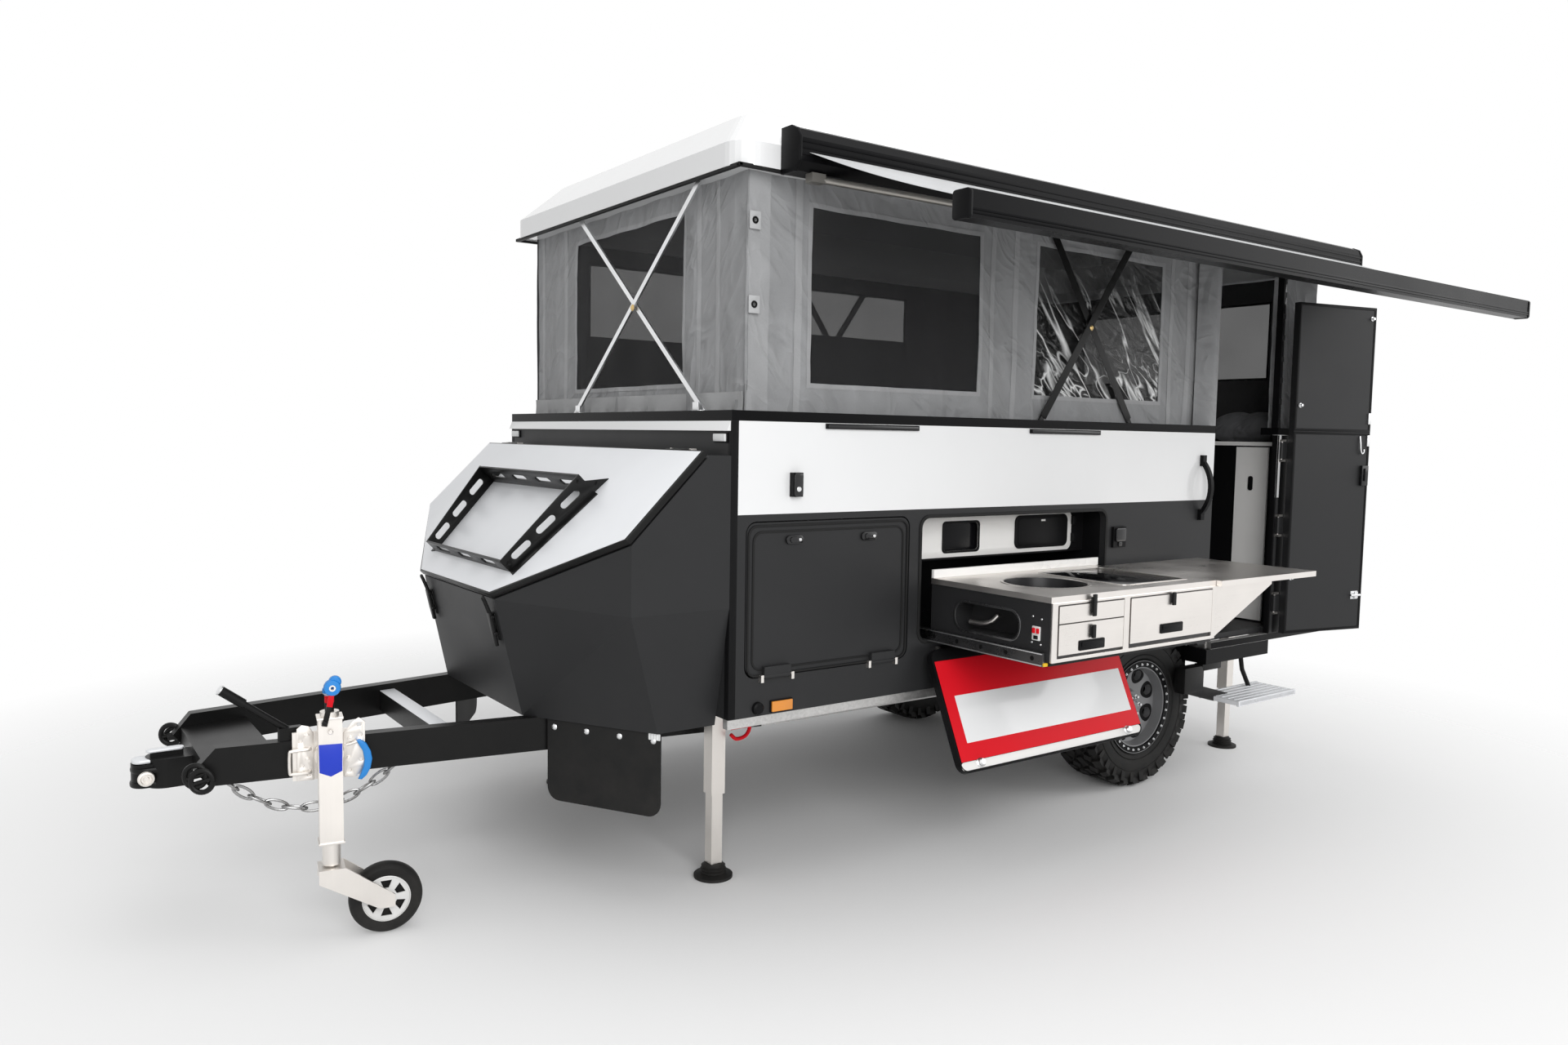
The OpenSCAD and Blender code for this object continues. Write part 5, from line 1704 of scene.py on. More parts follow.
    def _fittings(self) -> None:
        """Adds the front strip, corner trims and the latches below the lid."""
        strip = Form()
        half = LAYOUT.half - 0.004
        wedge = [(LAYOUT.front - 0.016, LAYOUT.rail - 0.036),
                 (LAYOUT.front + 0.001, LAYOUT.rail - 0.036),
                 (LAYOUT.front + 0.001, LAYOUT.rail - 0.001),
                 (LAYOUT.front - 0.002, LAYOUT.rail - 0.001)]
        strip.plate(wedge, plane((0, half, 0), X, Z), 2 * half, 0.001)
        strip.piece("front_strip", BODY_WHITE)
        trims = Form()
        for side in Side:
            low, high = side.span(LAYOUT.half + 0.0015, LAYOUT.half - 0.028)
            trims.block((LAYOUT.front - 0.0015, low, LAYOUT.floor + 0.002),
                        (LAYOUT.front + 0.0295, high, LAYOUT.rail), 0.004)
        trims.piece("corner_trims", BLACK_PLASTIC)
        self._latches()

    def _latches(self) -> None:
        """Adds the long over-centre latches that hold the lid's lower corners down."""
        lower = self.place @ Vector((-self.slope, 0, 0))
        lean = Vector((-0.100, 0.0, 0.440)).normalized()
        form = Form()
        for y in (-0.352, 0.352):
            face = plane((lower.x, y, lower.z), -Y, lean)
            form.plate(rounded(-0.020, -0.162, 0.020, -0.056, 0.006), face, 0.005, 0.001)
            form.plate(mm((-9, -182), (9, -182), (15, -120), (15, -52), (-15, -52), (-15, -120)),
                       face @ shift(0, 0, 0.008), 0.014, 0.004)
            hook = mm((-9, -70, 12), (-9, -10, 22), (-8, 8, 26), (0, 13, 26), (8, 8, 26),
                      (9, -10, 22), (9, -70, 12))
            form.wire(hook, face, 0.0050)
            for v in (-0.068, -0.132):
                form.rod(
                    face @ Vector((-0.023, v, 0.013)), face @ Vector((0.023, v, 0.013)), 0.0065)
        form.piece("nose_latches", BLACK_STEEL)


@dataclass
class BodySides:
    """The side walls' hatches with their seals and latches, the lamps and the small fittings."""

    seal: float = 0.008
    latch: float = 0.078

    def build(self) -> None:
        """Dresses both sides."""
        for side in Side:
            self._boot_hatch(side)
        self._lamps()
        self._locks()
        dress(BODY_GREY, "wall_left", "wall_right", "wall_rear", "boot_hatch_left",
              "boot_hatch_right")
        dress(BODY_WHITE, "side_bands")
        dress(BLACK_PLASTIC, "body_fittings", "door_posts", "sill_box")
        dress(AWNING_BLACK, "top_rail")
        dress(STEEL, "hinge_pins")

    def _boot_hatch(self, side: Side) -> None:
        """Adds a boot hatch's double seal, hinge strip and paddle latches.

        Args:
            side: Which side of the trailer.
        """
        name = f"boot_hatch_{side.word}"
        low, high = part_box(name)
        flip = -side.value
        face = LAYOUT.face((low.x + high.x) / 2, (low.z + high.z) / 2, side, -0.002)
        half = (high.x - low.x) / 2
        tall = (high.z - low.z) / 2 - 0.004
        form = Form()
        for inset, proud in ((0.004, 0.0055), (0.026, 0.0035)):
            outer = rounded(-half + inset, -tall + inset, half - inset, tall - inset, 0.040)
            inner = rounded(-half + inset + self.seal, -tall + inset + self.seal,
                            half - inset - self.seal, tall - inset - self.seal, 0.033)
            form.plate(outer, face, proud, 0.0015, (inner,))
        form.piece(f"boot_seal_{side.word}", RUBBER, name)
        latches = Form()
        dots = Form()
        for share in (-0.46, 0.46):
            spot = face @ shift(flip * share * half, tall - 0.062, 0.0)
            wide = self.latch / 2
            latches.plate(centred(wide, 0.016, 0.0155), spot, 0.010, 0.003)
            latches.plate(
                rounded(-wide + 0.014, -0.011, wide - 0.006, 0.011, 0.0105), spot, 0.016, 0.003)
            dots.lathe(
                mm((0, 18), (5, 17.5), (7, 15.5), (7, 10)), spot @ shift(wide - 0.020, 0, 0), 20)
        latches.piece(f"boot_latches_{side.word}", BLACK_GLOSS, name)
        dots.piece(f"boot_keyholes_{side.word}", ALUMINIUM, name)

    def _lamps(self) -> None:
        """Replaces the lamps with lenses in their housings."""
        x0, half, rail = LAYOUT.front, LAYOUT.half, LAYOUT.rail
        white, amber, red, housing = Form(), Form(), Form(), Form()
        for side in Side:
            low, high = side.span(half - 0.020, half - 0.110)
            housing.block((x0 - 0.006, low, rail - 0.078), (x0, high, rail - 0.042), 0.002)
            white.block((x0 - 0.014, low + 0.006, rail - 0.074),
                        (x0 - 0.004, high - 0.006, rail - 0.046), 0.004)
            face = LAYOUT.face(x0 + 0.230, LAYOUT.floor + 0.029, side)
            housing.plate(centred(0.050, 0.023, 0.004), face, 0.006, 0.001)
            amber.plate(centred(0.046, 0.019, 0.003), face @ shift(0, 0, 0.004), 0.008)
            housing.lathe(mm((0, 16), (16, 16), (22, 12), (24, 0)),
                          LAYOUT.face(x0 + 0.125, LAYOUT.floor + 0.030, side), 32)
            low, high = side.span(half - 0.060, half - 0.190)
            back = LAYOUT.rear
            housing.block((back, low, LAYOUT.floor + 0.090),
                          (back + 0.018, high, LAYOUT.floor + 0.420), 0.004)
            for k, form in enumerate((amber, red, white)):
                z = LAYOUT.floor + 0.098 + 0.106 * k
                form.block(
                    (back + 0.012, low + 0.008, z), (back + 0.034, high - 0.008, z + 0.100), 0.006)
        housing.piece("lamp_housings", BLACK_PLASTIC, "trailer", ("lamps",))
        white.piece("white_lenses", WHITE_LENS, "trailer", ("lamps",))
        amber.piece("amber_lenses", AMBER, "trailer", ("lamps",))
        red.piece("red_lenses", RED_LENS, "trailer", ("lamps",))

    def _locks(self) -> None:
        """Adds the key locks and the socket's cover on the left side."""
        form = Form()
        dots = Form()
        band = LAYOUT.face(LAYOUT.front + 0.276, LAYOUT.band + 0.106, Side.LEFT, 0.024)
        form.plate(centred(0.020, 0.042, 0.010), band, 0.005, 0.002)
        dots.lathe(mm((0, 8), (8, 8), (10, 6), (10, 0)), band @ shift(0, -0.016, 0), 24)
        socket = LAYOUT.face(
            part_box("kitchen_bay")[1].x + 0.070, LAYOUT.band - 0.159, Side.LEFT, 0.014)
        form.plate(rounded(-0.036, -0.020, 0.036, 0.042, 0.010), socket, 0.010, 0.003)
        form.plate(rounded(-0.012, -0.042, 0.012, -0.022, 0.006), socket, 0.006, 0.002)
        form.piece("side_locks", BLACK_GLOSS)
        dots.piece("side_keyholes", ALUMINIUM)
        strips = Form()
        run = LAYOUT.door - LAYOUT.front
        long = 0.16 * run
        for share in (0.1435, 0.528):
            face = LAYOUT.face(LAYOUT.front + share * run, LAYOUT.rail - 0.012, Side.LEFT, 0.010)
            strips.plate(rounded(0.004, -0.006, long - 0.004, 0.006, 0.0055), face, 0.003, 0.001)
        strips.piece("strip_lights", BLACK_GLOSS)


@dataclass
class ClothWall:
    """A hanging cloth wall with window openings and gentle folds."""

    name: str
    place: Matrix
    length: float
    height: float
    windows: Sequence[tuple[float, float, float, float]] = ()
    step: float = 0.020
    depth: float = 0.011
    seed: float = 0.0
    pleat: float = 0.31
    pucker: float = 0.085

    def ticks(self, total: float, marks: Sequence[float]) -> list[float]:
        """Grid lines that pass through every mark.

        Args:
            total: The sheet's size along the axis.
            marks: Window edges along the axis.

        Returns:
            The grid lines' places.
        """
        stops = sorted({0.0, total, *marks})
        lines = [0.0]
        for a, b in zip(stops, stops[1:]):
            count = max(1, round((b - a) / self.step))
            lines += [a + (b - a) * (i + 1) / count for i in range(count)]
        return lines

    def fold(self, u: float, v: float) -> float:
        """How far a point of the cloth stands out.

        Args:
            u: Its place along the sheet.
            v: Its height on the sheet.

        Returns:
            The distance out of the sheet's plane.
        """
        low = (1 - v / self.height) ** 2
        high = (v / self.height) ** 2
        pleat = math.sin(2 * math.pi * (u / self.pleat + self.seed + 0.12 * math.sin(4.0 * v)))
        drift = noise.noise(Vector((u * 2.6 + 13.0 * self.seed, v * 1.9, self.seed)))
        sharp = noise.noise(Vector((u * 7.0 + v * 3.0, v * 2.4 - u * 1.5, 4.0 + self.seed)))
        fine = noise.noise(Vector((u * 15.0 - v * 6.0, v * 5.0 + u * 4.0, 9.0 + self.seed)))
        gather = low ** 3 * math.sin(2 * math.pi * (u / self.pucker + 0.4 * drift))
        return self.depth * ((0.2 + 0.5 * low + 0.3 * high) * pleat + 0.5 * drift
                             + 0.55 * abs(sharp) + 0.3 * abs(fine) + 0.35 * gather - 0.7)

    def grid(self, ulines: Sequence[float], vlines: Sequence[float],
             keep: Callable[[float, float], bool], lift: float) -> bpy.types.Mesh:
        """Makes a gridded sheet with a map in metres.

        Args:
            ulines: Grid lines along the sheet.
            vlines: Grid lines up the sheet.
            keep: Whether the cell about a point is cloth.
            lift: How far the sheet stands out from the plane.

        Returns:
            The sheet's mesh.
        """
        made = bmesh.new()
        layer = made.loops.layers.uv.new("map")
        rows = [[made.verts.new(self.place @ Vector((u, v, lift + self.fold(u, v))))
                 for u in ulines] for v in vlines]
        for j, (v0, v1) in enumerate(zip(vlines, vlines[1:])):
            for i, (u0, u1) in enumerate(zip(ulines, ulines[1:])):
                if keep((u0 + u1) / 2, (v0 + v1) / 2):
                    face = made.faces.new(
                        (rows[j][i], rows[j][i + 1], rows[j + 1][i + 1], rows[j + 1][i]))
                    for loop, (u, v) in zip(face.loops, ((u0, v0), (u1, v0), (u1, v1), (u0, v1))):
                        loop[layer].uv = (u, v)
        bmesh.ops.delete(made, geom=[v for v in made.verts if not v.link_faces], context="VERTS")
        mesh = bpy.data.meshes.new("sheet")
        made.to_mesh(mesh)
        made.free()
        return mesh

    @staticmethod
    def thicken(mesh: bpy.types.Mesh, thick: float) -> bpy.types.Mesh:
        """Gives a sheet its thickness, inwards from its face.

        Args:
            mesh: The sheet, which is deleted.
            thick: The thickness.

        Returns:
            The closed mesh.
        """
        carrier = bpy.data.objects.new("sheet", mesh)
        bpy.context.scene.collection.objects.link(carrier)
        solid = carrier.modifiers.new("thick", "SOLIDIFY")
        solid.thickness = thick
        solid.offset = -1.0
        made = evaluated(carrier)
        bpy.data.objects.remove(carrier)
        bpy.data.meshes.remove(mesh)
        return made

    def patch(self, u0: float, u1: float, v0: float, v1: float, lift: float,
              thick: float) -> bpy.types.Mesh:
        """Makes a closed patch that follows the sheet's folds, without openings.

        Args:
            u0: Its start along the sheet.
            u1: Its end along the sheet.
            v0: Its foot.
            v1: Its head.
            lift: How far it stands out from the sheet.
            thick: Its thickness.

        Returns:
            The patch's mesh.
        """
        ulines = [u0 + t for t in self.ticks(u1 - u0, ())]
        vlines = [v0 + t for t in self.ticks(v1 - v0, ())]
        return self.thicken(self.grid(ulines, vlines, lambda u, v: True, lift), thick)

    def _holds(self, u: float, v: float) -> bool:
        """Whether a point lies in a window."""
        return any(u0 < u < u1 and v0 < v < v1 for u0, u1, v0, v1 in self.windows)

    def build(self, finish: Finish, stands_for: Sequence[str]) -> bpy.types.Object:
        """Builds the wall as a thickened sheet.

        Args:
            finish: The cloth's finish.
            stands_for: Solids that it replaces.

        Returns:
            The wall's object.
        """
        ulines = self.ticks(self.length, [w for window in self.windows for w in window[:2]])
        vlines = self.ticks(self.height, [w for window in self.windows for w in window[2:]])
        mesh = self.grid(ulines, vlines, lambda u, v: not self._holds(u, v), 0.0)
        closed = self.thicken(mesh, CLOTH_THICK)
        made = as_piece(closed, self.name, finish, "trailer", stands_for, 50)
        # Inner faces get the near-black cloth: painted shade inside the tent.
        made.data.materials.append(INNER_SHADE_CLOTH.material())
        out = self.place.col[2].to_3d()
        for face in made.data.polygons:
            face.material_index = int(face.normal.dot(out) < -0.2)
        return made

    def pane(self, index: int, finish: Finish, stands_for: Sequence[str],
             border: float = 0.012) -> bpy.types.Object:
        """Builds one window's sheet, which reaches behind the cloth round it.

        Args:
            index: The window's number.
            finish: The pane's finish.
            stands_for: Solids that it replaces.
            border: How far it reaches behind the cloth.

        Returns:
            The pane's object.
        """
        u0, u1, v0, v1 = self.windows[index]
        a, b, c, d = u0 - border, u1 + border, v0 - border, v1 + border
        mesh = self.patch(a, b, c, d, -0.0032, PANE_THICK)
        made = as_piece(mesh, f"{self.name}_pane_{index + 1}", finish, "trailer", stands_for, 60)
        return made

    def binding(self, wide: float = 0.018) -> None:
        """Sews a raised binding round each window, where the wall has one.

        Args:
            wide: The binding's width.
        """
        if not self.windows:
            return
        form = Form()
        for u0, u1, v0, v1 in self.windows:
            strips = ((u0 - wide, u0, v0 - wide, v1 + wide), (u1, u1 + wide, v0 - wide, v1 + wide),
                      (u0, u1, v0 - wide, v0), (u0, u1, v1, v1 + wide))
            for strip in strips:
                form.take(self.patch(*strip, TAPE_LIFT, TAPE_THICK))
        made = form.piece(f"{self.name}_binding", HEM, "trailer", (), 50)


class AwningSheet(ClothWall):
    """The awning's stretched cloth, which sags a little between its ends."""

    sag: float = 0.010

    def fold(self, u: float, v: float) -> float:
        """How far a point of the cloth stands out, as it hangs below the straight line.

        Args:
            u: Its place along the sheet.
            v: Its distance from the case.

        Returns:
            The distance out of the sheet's plane.
        """
        drift = noise.noise(Vector((u * 1.3, v * 2.0, 7.0)))
        arc = math.sin(math.pi * v / self.height)
        return -self.sag * arc + 0.0015 * drift * arc


class DoorHanging(ClothWall):
    """The strip of cloth that wraps from the tent's wall over the doorway's front post."""

    def fold(self, u: float, v: float) -> float:
        """How far a point of the strip stands out.

        Args:
            u: Its place across the strip.
            v: Its height on the strip.

        Returns:
            The distance out of the strip's plane.
        """
        share = min(1.0, u / (0.72 * self.length))
        drift = noise.noise(Vector((u * 14.0 + v * 3.0, v * 3.5, self.seed)))
        slack = math.sin(math.pi * share) * (0.25 + 0.5 * drift)
        return 0.5 * self.depth * slack - self.depth * (1 - share * share * (3 - 2 * share))


@dataclass
class RaisedRoof:
    """The roof shell with its tent walls, windows, flaps and struts."""

    window: float = 0.305
    window_starts: tuple[float, float] = (0.135, 0.563)

    def build(self) -> None:
        """Builds the tent and dresses the roof."""
        low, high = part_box("tent_walls")
        posts_low, posts_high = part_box("door_posts")
        tall = LAYOUT.tent
        run = LAYOUT.door - LAYOUT.front
        spans = [(LAYOUT.front + k * run, LAYOUT.front + (k + self.window) * run)
                 for k in self.window_starts]
        v0, v1 = 0.13 * tall, 0.888 * tall
        stands = ("tent_walls",)
        corner = Vector((low.x, low.y, LAYOUT.deck))
        left = ClothWall("tent_left", plane(corner, X, Z), posts_low.x - low.x, tall,
                         [(a - low.x, b - low.x, v0, v1) for a, b in spans], seed=0.3)
        back = ClothWall("tent_left_rear", plane((posts_high.x, low.y, LAYOUT.deck), X, Z),
                         high.x - posts_high.x, tall, (), seed=0.9)
        right = ClothWall("tent_right", plane((high.x, high.y, LAYOUT.deck), -X, Z), high.x - low.x,
                          tall, [(high.x - b, high.x - a, v0, v1) for a, b in spans], seed=1.7)
        half = 0.52 * high.y
        front = ClothWall("tent_front", plane((low.x, high.y, LAYOUT.deck), -Y, Z), high.y - low.y,
                          tall, [(high.y - half, high.y + half, 0.13 * tall, 0.9 * tall)], seed=2.4)
        half = 0.705 * high.y
        rear = ClothWall(
            "tent_rear", plane((high.x, low.y, LAYOUT.deck), Y, Z), high.y - low.y, tall,
            [(high.y - half, high.y + half, 0.347 * tall, 0.841 * tall)], seed=3.1)
        for wall in (left, back, right, front, rear):
            wall.build(CANVAS, stands)
            wall.binding()
        edge = Vector((posts_low.x - 0.077, posts_low.y - 0.0040, LAYOUT.deck))
        strip = DoorHanging(
            "tent_post_strip", plane(edge, X, Z), 0.105, tall, (), 0.010, 0.060, 6.1)
        strip.build(CANVAS, ())
        for wall, index, finish in ((left, 0, NETTING), (left, 1, VINYL), (right, 0, NETTING),
                                    (right, 1, NETTING), (front, 0, NETTING), (rear, 0, DARK_NET)):
            wall.pane(index, finish, ("tent_windows",))
        self._blinds(right)
        self._flaps(left, front)
        self._struts()
        self._seal()
        dress(BODY_WHITE, "roof_shell")

    @staticmethod
    def _blinds(wall: ClothWall) -> None:
        """Hangs a half-raised blind behind each window of the far wall.

        Args:
            wall: The far wall.
        """
        for k, share in enumerate((0.45, 0.61)):
            u0, u1, v0, v1 = wall.windows[k]
            a, b, c, d = u0 - 0.02, u1 + 0.02, v0 - 0.02, v0 + share * (v1 - v0)
            mesh = wall.patch(a, b, c, d, -0.010, 0.0016)
            made = as_piece(mesh, f"window_blind_{k + 1}", UPHOLSTERY, "trailer", (), 50)

    def _flaps(self, left: ClothWall, front: ClothWall) -> None:
        """Sews the corner flap with its eyelet tabs, the upright seams and the gathered hem.

        Args:
            left: The left wall.
            front: The front wall.
        """
        tall = left.height
        strips = Form()
        bands = (
            (left, 0.004, 0.105), (left, 0.215, 0.245), (left, 1.235, 1.262), (left, 1.380, 1.408),
            (left, 2.470, 2.500), (left, 2.620, 2.650), (front, 0.05, 0.075), (front, 0.315, 0.345),
            (front, 1.520, 1.545), (front, 1.640, 1.665))
        for wall, a, b in bands:
            strips.take(wall.patch(a, b, 0.0, tall, TAPE_LIFT, TAPE_THICK))
        made = strips.piece("tent_seams", HEM, "trailer", (), 50)
        foot = front.place @ shift(0.01, 0.0, 0.009)
        hem = ClothWall("tent_hem", foot, front.length - 0.02, 0.070, (), 0.012, 0.009, 5.2)
        hem.build(WEBBING, ())
        tabs = Form()
        eyes = Form()
        for v in (0.447 * tall, 0.796 * tall):
            spot = left.place @ shift(0.0285, v, 0.006)
            tabs.plate(centred(0.024, 0.032, 0.003), spot, 0.003, 0.0008, (ring(0.005, 20),))
            eyes.lathe(mm((5, 2), (6.5, 5.6), (12, 5.6), (13.5, 3)), spot, 28)
        tabs.piece("tent_tabs", WEBBING)
        eyes.piece("tent_eyelets", BLACK_STEEL)

    def _struts(self) -> None:
        """Adds the struts' pivots and foot brackets."""
        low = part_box("roof_struts")[0]
        side_low, side_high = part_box("side_struts")
        dress(ALUMINIUM_UP, "roof_struts")
        dress(BLACK_STEEL, "side_struts")
        tall = LAYOUT.tent
        pivots = Form()
        dome = mm((0, 6), (7, 6), (11, 3), (14, 0))
        for side in Side:
            out = side_low.y if side is Side.LEFT else side_high.y
            spot = Vector(((side_low.x + side_high.x) / 2, out, LAYOUT.deck + tall / 2))
            pivots.lathe(dome, plane(spot, X * -side.value, Z), 24)
        face = plane((low.x - 0.001, -0.175 * LAYOUT.half, LAYOUT.deck + tall / 2), -Y, Z)
        pivots.lathe(dome, face, 24)
        pivots.piece("strut_pivots", BRASS)
        feet = Form()
        for y in (0.335 * LAYOUT.half, -0.685 * LAYOUT.half):
            feet.block((low.x - 0.006, y - 0.024, LAYOUT.deck),
                       (low.x + 0.022, y + 0.024, LAYOUT.deck + 0.004), 0.001)
            feet.block((low.x - 0.006, y - 0.020, LAYOUT.deck),
                       (low.x - 0.001, y + 0.020, LAYOUT.deck + 0.034), 0.002)
        feet.piece("strut_feet", ALUMINIUM)
        self._sleeves(side_low, side_high)

    @staticmethod
    def _sleeves(low: Vector, high: Vector) -> None:
        """Faces the crossed side struts with wider flat bars.

        Args:
            low: The side struts' low corner.
            high: The side struts' high corner.
        """
        tall = LAYOUT.tent
        run = 0.2115 * (LAYOUT.door - LAYOUT.front)
        middle = (low.x + high.x) / 2
        lean = Vector((run - 0.030, 0.0, tall - 0.030))
        form = Form()
        for side in Side:
            for k, (turn, thick) in enumerate(((1, 0.0022), (-1, 0.0008))):
                out = (low.y if side is Side.LEFT else high.y) - side.value * 0.009 * k
                way = turn if side is Side.LEFT else -turn
                along = Vector((way * lean.x, 0.0, lean.z)).normalized()
                foot = Vector((middle - way * run / 2, out, LAYOUT.deck + 0.015))
                bar = plane(foot, along, Vector((-along.z, 0.0, along.x)))
                if side is Side.RIGHT:
                    bar = plane(foot, along, Vector((along.z, 0.0, -along.x)))
                form.plate(rounded(0.0, -0.020, lean.length, 0.020, 0.004), bar, thick, 0.0003)
        form.piece("strut_sleeves", BLACK_STEEL)

    def _seal(self) -> None:
        """Adds the dark seal under the roof's edge."""
        low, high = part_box("roof_shell")
        seal = Form()
        for side in Side:
            a, b = side.span(LAYOUT.half - 0.004, LAYOUT.half - 0.022)
            seal.block((low.x + 0.004, a, low.z - 0.010), (high.x - 0.004, b, low.z + 0.004), 0.003)
        for a, b in ((low.x + 0.004, low.x + 0.022), (high.x - 0.022, high.x - 0.004)):
            seal.block((a, low.y + 0.004, low.z - 0.010), (b, high.y - 0.004, low.z + 0.004), 0.003)
        seal.piece("roof_seal", RUBBER)


@dataclass
class Awning:
    """The roll-out awning's cloth, ribbed case, lead rail and end caps."""

    rib: float = 0.003
    cap: float = 0.016

    def build(self) -> None:
        """Builds the cloth and dresses the case."""
        case_low, case_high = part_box("awning_case")
        rail_low, rail_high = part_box("awning_rail")
        cloth_low, cloth_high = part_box("awning_cloth")
        start = Vector((cloth_high.x, cloth_high.y, cloth_high.z - 0.0012))
        end = Vector((cloth_high.x, cloth_low.y, cloth_low.z + 0.0018))
        reach = (end - start).length
        place = plane(start, -X, (end - start).normalized())
        wall = AwningSheet("awning_sheet", place, cloth_high.x - cloth_low.x, reach, (), 0.06)
        mesh = wall.patch(0.0, wall.length, 0.0, reach, 0.0, 0.0012)
        made = as_piece(mesh, wall.name, AWNING_CLOTH, "trailer", ("awning_cloth",), 50)
        ribs = Form()
        for z in (0.050, 0.072, 0.094):
            ribs.block((case_low.x + 0.003, case_low.y - self.rib, case_low.z + z),
                       (case_high.x - 0.003, case_low.y + 0.002, case_low.z + z + 0.008), 0.0014)
        for z in (0.012, 0.022):
            ribs.block((rail_low.x + 0.003, rail_low.y - self.rib, rail_low.z + z),
                       (rail_high.x - 0.003, rail_low.y + 0.002, rail_low.z + z + 0.007), 0.0014)
        ribs.piece("awning_ribs", AWNING_BLACK)
        caps = Form()
        for x in (case_low.x - 0.010, case_high.x - 0.006):
            end = plane((x, 0, 0), Y, Z)
            outline = [(case_high.y - 0.001, case_low.z - 0.003),
                       (case_high.y - 0.001, case_high.z + 0.003),
                       (case_low.y + 0.044, case_high.z + 0.003),
                       (case_low.y + 0.012, case_high.z - 0.012),
                       (case_low.y - 0.004, case_high.z - 0.044),
                       (case_low.y - 0.004, case_low.z + 0.028),
                       (case_low.y + 0.024, case_low.z - 0.003)]
            caps.plate(outline, end, self.cap, 0.003)
            edge = rounded(rail_low.y - 0.004, rail_low.z - 0.003, rail_high.y + 0.002,
                           rail_high.z + 0.002, 0.012)
            caps.plate(edge, end, self.cap, 0.003)
        caps.piece("awning_caps", AWNING_BLACK)
        dress(AWNING_BLACK, "awning_case", "awning_rail")
        dress(ARM_METAL, "awning_arms")


